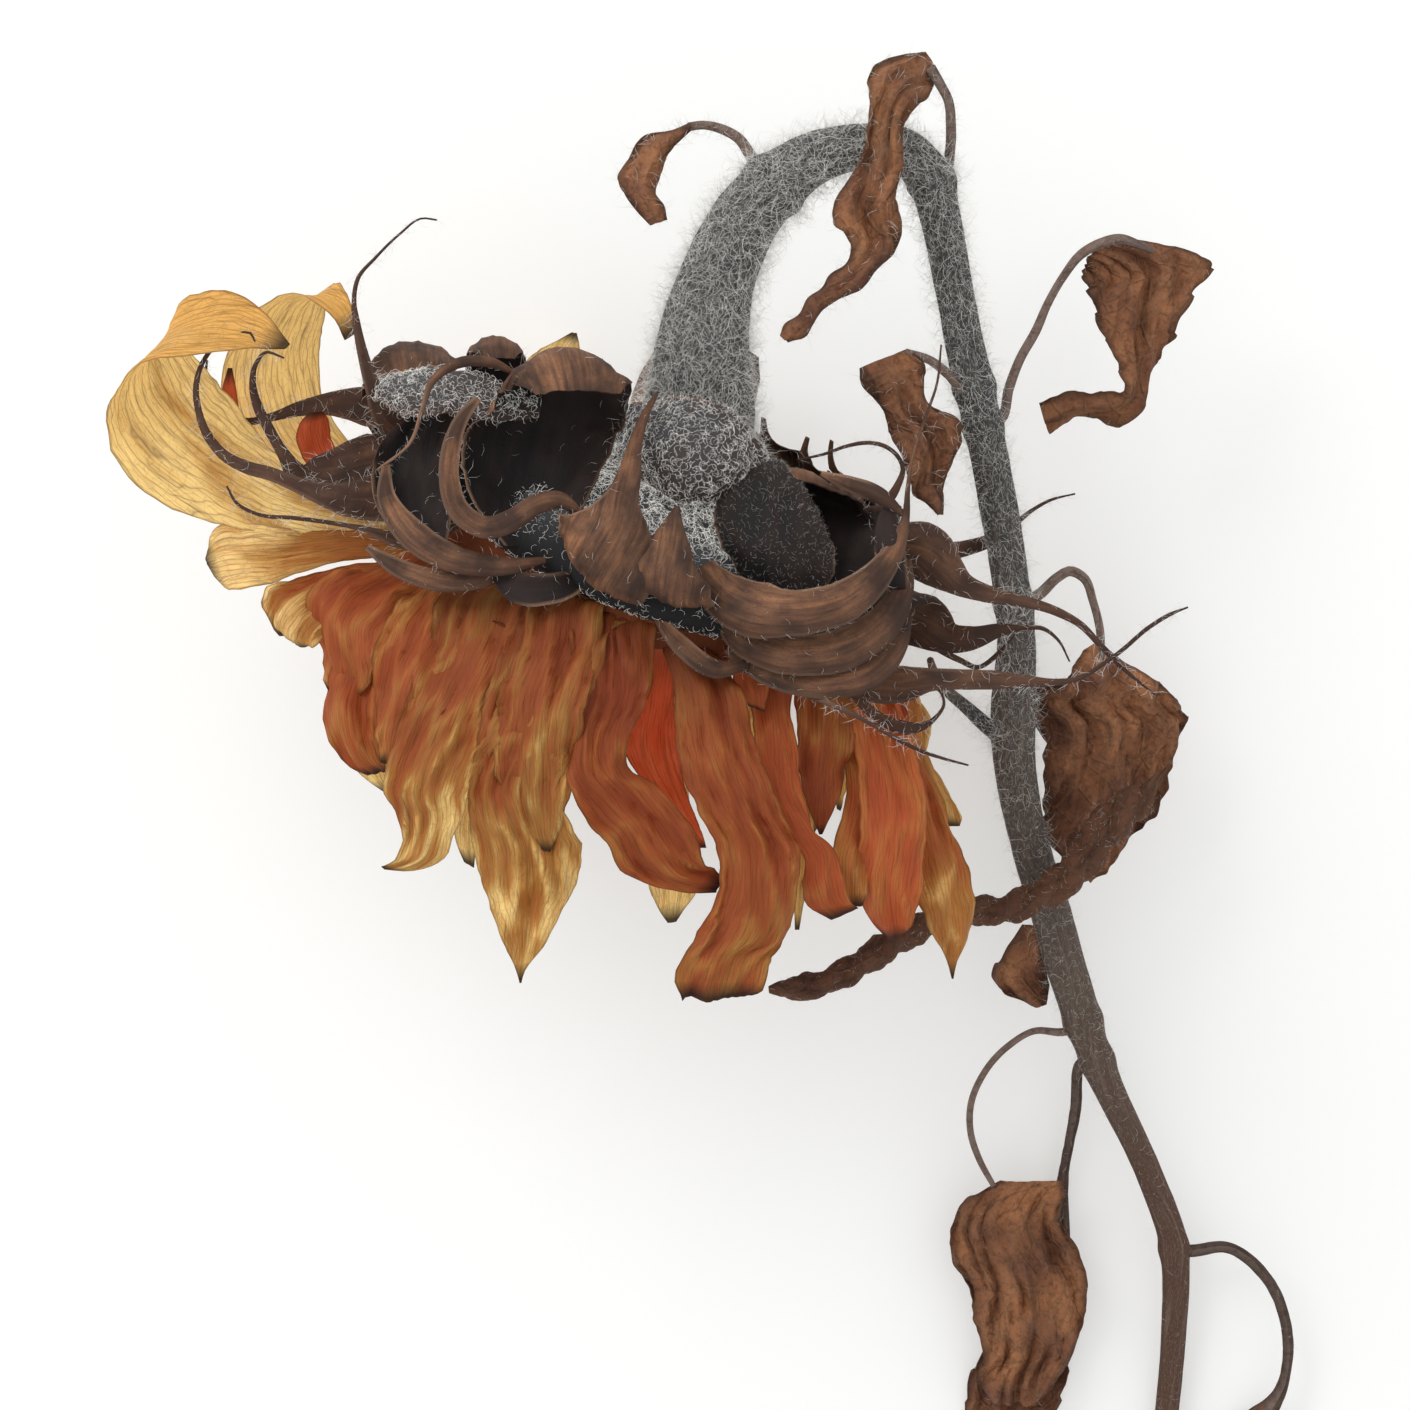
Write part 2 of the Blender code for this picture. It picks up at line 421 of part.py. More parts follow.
def blade(name, centres, across, widths, cups, thickness, cells=3, ruffle=0.0, phase=0.0, stalk=0.0,
          teeth=0.0):
    """Form a thin closed blade along a middle line.

    The section is an arc of half-angle cup. Ruffle lifts the edges in waves, stalk is the thickness of a
    stretch that is as narrow as it is thick, and teeth notch the two edges in turn.
    """
    ways = directions(centres)
    rows = len(centres)
    middle = np.zeros((rows, cells + 1, 3))
    for row, (centre, way) in enumerate(zip(centres, ways)):
        side = (across[row] - way * across[row].dot(way)).normalized()
        outward = side.cross(way)
        cup = math.radians(max(abs(cups[row]), 2.0))
        bend = math.copysign(1.0, cups[row])
        share = row / (rows - 1)
        half = max(widths[row], thickness) / 2
        for column in range(cells + 1):
            u = 2 * column / cells - 1
            notch = 1 - teeth * (0.5 - 0.5 * math.cos(math.pi * (row + (column > cells / 2))))
            edge = max(0.0, abs(u) - 0.5) * 2
            wave = math.sin(2 * math.pi * RUFFLE_WAVES * share + phase + (1.9 if u > 0 else 0.0))
            lift = ruffle * min(1.0, half / RUFFLE_FULL) * edge * wave
            sag = half * (1 - math.cos(cup * u)) / math.sin(cup) * bend
            reach = half * math.sin(cup * u) / math.sin(cup) * (notch if half > 2 else 1.0)
            place = Vector(centre) + side * reach + outward * (lift - sag)
            middle[row, column] = place
    middle[:, :, 2] = np.maximum(middle[:, :, 2], thickness / 2)
    along = np.gradient(middle, axis=0)
    beside = np.gradient(middle, axis=1)
    normals = np.cross(beside, along)
    normals /= np.maximum(np.linalg.norm(normals, axis=2, keepdims=True), 1e-9)
    spread = np.linspace(-1.0, 1.0, cells + 1)
    narrow = np.clip(1.3 - np.array(widths) / max(3 * stalk, 1e-6), 0.15, 1.0)
    swell = np.outer(narrow, 1 - spread**2) * max(stalk - thickness, 0.0)
    depth = ((thickness + swell) / 2)[:, :, None]
    front = (middle + normals * depth).reshape(-1, 3)
    back = (middle - normals * depth).reshape(-1, 3)
    vertices = [rest_on_surface(Vector(place)) for place in np.concatenate((front, back))]
    return mesh_object(name, vertices, blade_faces(rows, cells))


def blade_faces(rows, cells):
    """List the triangles of a closed blade, split alike on both faces."""
    line = cells + 1
    behind = rows * line
    faces = []
    for row in range(rows - 1):
        for column in range(cells):
            a, b = row * line + column, row * line + column + 1
            c, d = a + line, b + line
            faces += [(a, b, d), (a, d, c)]
            faces += [(behind + a, behind + d, behind + b), (behind + a, behind + c, behind + d)]
    rim = list(range(line))
    rim += [row * line + cells for row in range(1, rows)]
    rim += [(rows - 1) * line + column for column in range(cells - 1, -1, -1)]
    rim += [row * line for row in range(rows - 2, 0, -1)]
    for a, b in zip(rim, rim[1:] + rim[:1]):
        faces += [(a, behind + b, b), (a, behind + a, behind + b)]
    return faces


def facing_across(points, rolls):
    """Give the across direction of a blade that faces up, turned about its own line by a roll in degrees."""
    across = []
    for way, roll in zip(directions(points), rolls):
        level = way.cross(UP).normalized()
        across.append(Matrix.Rotation(math.radians(roll), 3, way) @ level)
    return across


def shown_blade(name, root, rows, cells_long, thickness, ruffle, phase, stalk=0.0, cells=3):
    """Form a petal or bract whose line was read from the picture, from its root on the head outwards."""
    line = smooth([root] + rows, cells_long)
    points = [Vector(row[:3]) for row in line]
    across = facing_across(points, line[:, 4])
    widths = np.maximum(line[:, 3], BLADE_TIP)
    return blade(name, points, across, widths, line[:, 5], thickness, cells, ruffle, phase, stalk)


def head_blade(name, knots, cells_long, thickness, ruffle, phase, stalk=0.0, cells=3):
    """Form a petal or bract by rule from rows of angle, radius, level, width and cup on the head."""
    places = [tuple(head_point(angle, radius, level)) + (width, cup, angle)
              for angle, radius, level, width, cup in knots]
    line = smooth(places, cells_long)
    points = [Vector(row[:3]) for row in line]
    across = [head_across(angle) for angle in line[:, 5]]
    widths = np.maximum(line[:, 3], BLADE_TIP)
    return blade(name, points, across, widths, line[:, 4], thickness, cells, ruffle, phase, stalk)


def hidden_petal_knots(angle, draw):
    """Let a ray floret hang from the collar behind the head, its tip pressed flat on the surface."""
    length = HIDDEN_LENGTH * draw.uniform(0.88, 1.12)
    width = HIDDEN_WIDTH * draw.uniform(0.85, 1.15)
    sway = draw.uniform(-9, 9)
    heading = math.radians(draw.uniform(-52, -40))
    turn = math.radians(draw.uniform(-38, -18))
    radius, level = PETAL_ROOT_RADIUS, PETAL_ROOT_LEVEL
    knots = []
    for step, share in enumerate((0.0, 0.2, 0.4, 0.6, 0.8, 1.0)):
        if step:
            radius += math.cos(heading + turn * share) * length / 5
            level += math.sin(heading + turn * share) * length / 5
        full = (0.5, 0.8, 1.0, 0.95, 0.65, 0.08)[step]
        knots.append((angle + sway * share, radius, level, width * full, 16 * math.sin(math.pi * share)))
    return knots


def bract_knots(bract):
    """Curl a bract from the head's rim outwards and back towards the stem, then let its tail straighten."""
    blade_steps, tail_steps = 6, 3
    radius, level = bract.radius, bract.level
    heading = math.radians(bract.heading)
    knots = [(bract.angle, radius, level, bract.width * 0.75, 6)]
    for step in range(1, blade_steps + tail_steps + 1):
        in_blade = step <= blade_steps
        stride = bract.length / blade_steps if in_blade else bract.tail / tail_steps
        share = step / blade_steps if in_blade else (step - blade_steps) / tail_steps
        heading += math.radians(bract.curl / blade_steps if in_blade else -TAIL_RELAX / tail_steps)
        radius += math.cos(heading) * stride
        level += math.sin(heading) * stride
        width = bract.width * (BRACT_OUTLINE[step] if in_blade else TAIL_OUTLINE[step - blade_steps - 1])
        angle = bract.angle + (0 if in_blade else bract.sway * share)
        knots.append((angle, radius, level, max(width, BLADE_TIP), 14 if in_blade else 0))
    return knots


def rear_bracts(draw):
    """Draw the bracts behind the head: tight curls, and the few that open down to the surface."""
    bracts = [CurledBract(angle, 33, 0.0, draw.uniform(42, 45), 15, -6, draw.uniform(80, 88), 11,
                          draw.uniform(-3, 3)) for angle in CARRYING_ANGLES]
    for angle in REAR_ANGLES:
        bracts.append(CurledBract(angle + draw.uniform(-2, 2), 33, 0.0, draw.uniform(24, 27),
                                  draw.uniform(16, 20), draw.uniform(-32, -24), draw.uniform(185, 208),
                                  draw.uniform(5, 8), draw.uniform(-10, 10)))
    return bracts


def fuse(base, blades, name, solver="EXACT"):
    """Join blades to the form that carries them, as one closed solid without scraps or sealed pockets."""
    group = bpy.data.collections.new(name + "_blades")
    bpy.context.scene.collection.children.link(group)
    for thing in blades:
        group.objects.link(thing)
    union = base.modifiers.new("union", "BOOLEAN")
    union.operation = "UNION"
    union.operand_type = "COLLECTION"
    union.collection = group
    union.solver = solver
    apply_shape(base, name)
    for thing in blades:
        bpy.data.objects.remove(thing, do_unlink=True)
    bpy.data.collections.remove(group)
    return base


def cut_clear(thing, cutter):
    """Cut a stalk back to the surface that it grows from, less the gap between two pieces."""
    cut = thing.modifiers.new("seat", "BOOLEAN")
    cut.operation = "DIFFERENCE"
    cut.object = cutter
    cut.solver = "EXACT"
    apply_shape(thing, thing.name)


def apply_shape(thing, name):
    """Turn the object's modifiers into its mesh, and keep only its largest closed shell."""
    graph = bpy.context.evaluated_depsgraph_get()
    mesh = bpy.data.meshes.new_from_object(thing.evaluated_get(graph))
    thing.modifiers.clear()
    thing.data = mesh
    thing.name = name
    mesh.name = name
    shape = bmesh.new()
    shape.from_mesh(mesh)
    bmesh.ops.triangulate(shape, faces=[face for face in shape.faces if len(face.verts) > 3])
    loose = set(shape.faces)
    shells = []
    while loose:
        front = [loose.pop()]
        shell = list(front)
        while front:
            face = front.pop()
            near = {other for edge in face.edges for other in edge.link_faces if other in loose}
            loose -= near
            front.extend(near)
            shell.extend(near)
        shells.append(shell)
    largest = max(shells, key=shell_volume)
    scraps = [face for shell in shells if shell is not largest for face in shell]
    bmesh.ops.delete(shape, geom=scraps, context="FACES")
    shape.to_mesh(mesh)
    shape.free()


def shell_volume(faces):
    """Measure the volume inside a closed shell of triangles."""
    return sum(face.verts[0].co.dot(face.verts[1].co.cross(face.verts[2].co)) for face in faces) / 6


def build_stem():
    """The stem: one tapering hooked tube from the head's back to the cut end."""
    path = smooth([row + (0, 0) for row in STEM], STEM_RINGS)
    return path, tube("stem", path, STEM_SIDES, first_direction=HEAD_AXIS)


def bract_blades():
    """Form every bract: the curled ones by rule, and the long-tailed ones at the two sides."""
    draw = random.Random(SEED_BRACTS)
    blades = []
    for bract in FRONT_BRACTS + rear_bracts(draw):
        name = f"bract_{len(blades):02d}"
        behind = bract.angle > REAR_FROM
        blades.append(head_blade(name, bract_knots(bract), 8, BRACT_THICKNESS, BRACT_RUFFLE,
                                 draw.uniform(0, 6.3), BRACT_STALK, 2 if behind else 3))
    for label, (angle, roll, rows) in SHOWN_BRACTS.items():
        root = tuple(head_point(angle, 32.0, 1.5)) + (11.0, roll, 5)
        blades.append(shown_blade("bract_" + label, root, rows, 11, BRACT_THICKNESS, 0.0, 0.0,
                                  BRACT_STALK, 2))
    return blades


def petal_blades():
    """Form every ray floret: those that show, and those behind the head."""
    draw = random.Random(SEED_PETALS)
    blades = []
    for label, (angle, roll, rows) in SHOWN_PETALS.items():
        root = tuple(head_point(angle, PETAL_ROOT_RADIUS, PETAL_ROOT_LEVEL)) + (PETAL_ROOT_WIDTH, roll, 5)
        cells = 12 if len(rows) > 6 else 9
        blades.append(shown_blade("petal_" + label, root, rows, cells, PETAL_THICKNESS, PETAL_RUFFLE,
                                  draw.uniform(0, 6.3)))
    blades.append(head_blade("petal_raised", RAISED_PETAL, 9, PETAL_THICKNESS, PETAL_RUFFLE,
                             draw.uniform(0, 6.3)))
    for index in range(HIDDEN_PETALS):
        angle = HIDDEN_FROM + (HIDDEN_TO - HIDDEN_FROM) * index / (HIDDEN_PETALS - 1)
        knots = hidden_petal_knots(angle, draw)
        name = f"petal_{index:02d}"
        blades.append(head_blade(name, knots, 8, PETAL_THICKNESS, PETAL_RUFFLE, draw.uniform(0, 6.3)))
    return blades


def build_involucre():
    """The green back of the head, dried: the domed receptacle with its rows of bracts."""
    profile = [(RECEPTACLE_RADIUS - 2.5, SEAT_LEVEL), (RECEPTACLE_RADIUS, -1.2),
               (RECEPTACLE_RADIUS - 0.6, 2.0), (34.5, 5.6), (29.0, 8.8), (22.5, 11.4), (16.0, 13.6),
               (12.0, 15.4), (NECK_RADIUS, NECK_HEIGHT)]
    return fuse(turned("involucre", profile, 32, False), bract_blades(), "involucre")


def build_petals():
    """The ray florets: long dry petals that hang from a narrow collar round the disc."""
    profile = [(COLLAR_INNER, COLLAR_TOP), (COLLAR_OUTER, COLLAR_TOP),
               (COLLAR_OUTER, COLLAR_BOTTOM), (COLLAR_INNER, COLLAR_BOTTOM)]
    collar = turned("ray_petals", profile, 36, True)
    return fuse(collar, petal_blades(), "ray_petals", solver="MANIFOLD")


def build_disc():
    """The seed disc: crossing spirals of withered florets as relief on a low dome."""
    sides, rings = 28, 8
    back = SEAT_LEVEL - SEAT_GAP
    vertices = [head_point(0, 0, back)]
    vertices += [head_point(360 * corner / sides, DISC_RADIUS, back) for corner in range(sides)]
    for ring in range(rings):
        share = 1 - ring / rings
        dome = DISC_EDGE + DISC_CROWN * (1 - share**2)
        for corner in range(sides):
            raised = FLORET_HEIGHT * share if (ring + corner) % 2 and ring else 0.0
            angle = 360 * (corner + DISC_SPIRAL * ring) / sides
            vertices.append(head_point(angle, DISC_RADIUS * share, back - dome - raised))
    vertices.append(head_point(0, 0, back - DISC_EDGE - DISC_CROWN))
    faces = []
    last = len(vertices) - 1
    for corner in range(sides):
        beside = (corner + 1) % sides
        faces.append((0, 1 + corner, 1 + beside))
        faces.append((last, last - sides + corner, last - sides + beside))
        for ring in range(rings):
            low, high = 1 + ring * sides, 1 + (ring + 1) * sides
            faces.append((low + corner, low + beside, high + beside))
            faces.append((low + corner, high + beside, high + corner))
    return mesh_object("seed_disc", vertices, faces)


def build_leaf(name, kind, rows, stem_path):
    """A withered leaf: its stalk starts on the stem's axis, and the blade hangs crumpled from it."""
    first = Vector(rows[0][:3])
    axis = min((Vector(row[:3]) for row in stem_path), key=lambda point: (point - first).length)
    line = smooth([tuple(axis) + (rows[0][3], 0)] + list(rows), LEAF_CELLS)
    points = [Vector(row[:3]) for row in line]
    across = facing_across(points, [0.0] * len(points))
    widths = np.maximum(line[:, 3], BLADE_TIP)
    teeth = LEAF_TEETH if kind == "toothed" else 0.0
    return blade(name, points, across, widths, line[:, 4], LEAF_THICKNESS, cells=4, ruffle=LEAF_RUFFLE,
                 phase=len(name), stalk=STALK_THICKNESS, teeth=teeth)


def roll_swell(share, turn):
    """Give the twisted tip its two strands: how far its surface stands out at a share of its length."""
    return 1 + ROLL_DEPTH * math.cos(2 * turn + 2 * math.pi * ROLL_TWISTS * share)


def main():
    clear_scene()
    surfaces = {
        "stem": finish("dry_stem", 0.10, 0.095, 0.09, 0.9),
        "involucre": finish("dry_bract", 0.13, 0.07, 0.048, 0.85),
        "ray_petals": finish("dry_petal", 0.55, 0.16, 0.04, 0.7),
        "seed_disc": finish("dry_disc", 0.05, 0.032, 0.022, 0.9),
    }
    leaf_surface = finish("dry_leaf", 0.19, 0.085, 0.045, 0.85)
    stem_path, stem = build_stem()
    pieces = [stem, build_involucre(), build_petals(), build_disc()]
    cutter = tube("stem_cutter", stem_path, STEM_SIDES, first_direction=HEAD_AXIS, spare=SEAT_GAP)
    for name, (kind, rows) in LEAVES.items():
        leaf = build_leaf(name, kind, rows, stem_path)
        if name == "leaf_broad":
            tip = tube("rolled_tip", smooth([row + (0, 0) for row in ROLLED_TIP], 34), 6, flutes=roll_swell)
            fuse(leaf, [tip], name)
        cut_clear(leaf, cutter)
        pieces.append(leaf)
    bpy.data.objects.remove(cutter, do_unlink=True)
    for piece in pieces:
        piece.data.materials.clear()
        piece.data.materials.append(surfaces.get(piece.name, leaf_surface))
        piece.data.shade_smooth()
        piece.data.set_sharp_from_angle(angle=math.radians(40))


main()
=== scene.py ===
"""Looks of a wilted sunflower that lies on its side on a pale floor.

Lengths are in millimetres in the plant's own frame: +X to the right of the drooping head, +Y along the stem
towards its hooked top, +Z up from the surface. They become metres where a mesh is made.
"""

import logging
import math
import random
from collections.abc import Callable
from dataclasses import dataclass, field, replace
from enum import Enum
from functools import partial

import bmesh
import bpy
import numpy as np
from mathutils import Matrix, Vector, noise


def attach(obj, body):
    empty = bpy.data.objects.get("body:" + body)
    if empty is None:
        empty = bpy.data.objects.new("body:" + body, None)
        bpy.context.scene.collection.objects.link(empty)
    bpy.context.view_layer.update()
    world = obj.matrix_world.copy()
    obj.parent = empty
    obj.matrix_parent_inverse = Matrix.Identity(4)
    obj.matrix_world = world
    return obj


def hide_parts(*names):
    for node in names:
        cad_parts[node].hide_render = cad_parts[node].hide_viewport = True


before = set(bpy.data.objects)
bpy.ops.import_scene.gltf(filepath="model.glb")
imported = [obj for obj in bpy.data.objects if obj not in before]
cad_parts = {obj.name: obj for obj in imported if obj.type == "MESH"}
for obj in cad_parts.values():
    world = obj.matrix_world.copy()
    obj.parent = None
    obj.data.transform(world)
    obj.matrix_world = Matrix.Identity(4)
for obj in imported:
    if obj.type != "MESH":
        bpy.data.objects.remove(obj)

LOG = logging.getLogger("wilted_sunflower")

MM = 0.001
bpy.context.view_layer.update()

# The head: its middle, the way its stem side faces, and the two directions across that.
HEAD_CENTRE = np.array((-9.5, 43.75, 56.0))
HEAD_AXIS = np.array((0.32, 0.885, 0.34)) / np.linalg.norm((0.32, 0.885, 0.34))
HEAD_SIDE = np.array((HEAD_AXIS[1], -HEAD_AXIS[0], 0.0)) / np.linalg.norm(HEAD_AXIS[:2])
HEAD_FRONT = np.cross(HEAD_SIDE, HEAD_AXIS)

RECEPTACLE_RADIUS = 38.5
NECK_HEIGHT = 17.0
NECK_RADIUS = 9.7
SEAT_LEVEL = -3.25
PETAL_ROOT_RADIUS = 33.0
PETAL_ROOT_LEVEL = -6.0
PETAL_ROOT_WIDTH = 5.5
BLADE_TIP = 0.3
FLOOR_GAP = 0.02

# A blade's edges ruffle in this many waves, at full height where half its width reaches this.
RUFFLE_WAVES = 2.5
RUFFLE_FULL = 5.0

# Edges that turn by more than this look sharp.
SHEET_CREASE = math.radians(60)
FLORET_CREASE = math.radians(50)

# A sunflower turns each new floret by this angle.
GOLDEN_ANGLE = math.radians(137.508)

# The node types that the finishes and the growing trees use most.
MATHS = "ShaderNodeMath"
RANGE = "ShaderNodeMapRange"
MIX = "ShaderNodeMix"
NOISE = "ShaderNodeTexNoise"
READ = "ShaderNodeAttribute"
PLACE = "ShaderNodeTexCoord"
SURFACE = "ShaderNodeBsdfPrincipled"
BUMP = "ShaderNodeBump"
MIX_SHADER = "ShaderNodeMixShader"
OUTPUT = "ShaderNodeOutputMaterial"
TRANSLUCENT = "ShaderNodeBsdfTranslucent"
RANDOM = "FunctionNodeRandomValue"

Row = tuple[float, ...]
Colour = tuple[float, float, float, float]
Material = bpy.types.Material
Piece = bpy.types.Object
Socket = bpy.types.NodeSocket
Sockets = bpy.types.NodeOutputs
Adder = Callable[..., Socket]

# The stem from the head's back, over the hook and down to the cut end: x, y, z, diameter.
STEM: list[Row] = [
    (-3.9, 59.1, 61.9, 19.4),
    (-3.0, 64.0, 63.3, 18.4),
    (-2.8, 70.0, 64.5, 16.8),
    (-2.0, 78.0, 65.5, 14.6),
    (0.5, 87.5, 66.0, 12.6),
    (4.8, 96.0, 66.5, 11.6),
    (11.0, 102.7, 66.5, 10.2),
    (18.0, 106.8, 65.5, 8.6),
    (25.5, 108.4, 63.5, 7.6),
    (32.0, 107.6, 61.0, 7.6),
    (35.8, 104.0, 59.0, 7.6),
    (37.8, 97.5, 57.0, 7.0),
    (40.5, 84.5, 53.0, 6.4),
    (43.4, 71.0, 49.5, 6.2),
    (46.5, 58.0, 46.0, 5.8),
    (48.6, 47.5, 43.0, 5.7),
    (50.5, 36.5, 40.0, 5.6),
    (51.8, 25.0, 37.0, 5.8),
    (51.4, 13.0, 33.0, 6.8),
    (52.0, 2.0, 30.0, 6.2),
    (54.5, -10.0, 26.0, 5.8),
    (58.4, -22.5, 22.0, 6.4),
    (62.0, -34.5, 19.0, 6.6),
    (67.5, -50.0, 15.0, 5.6),
    (76.0, -68.0, 10.5, 5.2),
    (80.6, -80.5, 8.0, 5.8),
    (81.0, -97.0, 5.0, 4.8),
    (80.0, -110.5, 3.0, 4.4),
    (78.5, -124.0, 2.2, 4.4),
]

# A leaf's stalk whose blade has broken off: x, y, z, diameter.
BROKEN_STALK: list[Row] = [
    (52.5, 6.4, 31, 3.6), (49.7, 8.3, 32, 3.3), (46.5, 10.7, 33, 2.8), (43, 13.8, 34, 2.3),
    (40, 16.3, 36, 2), (37.8, 19, 40, 1.7), (36.6, 21.7, 46, 1.2)]

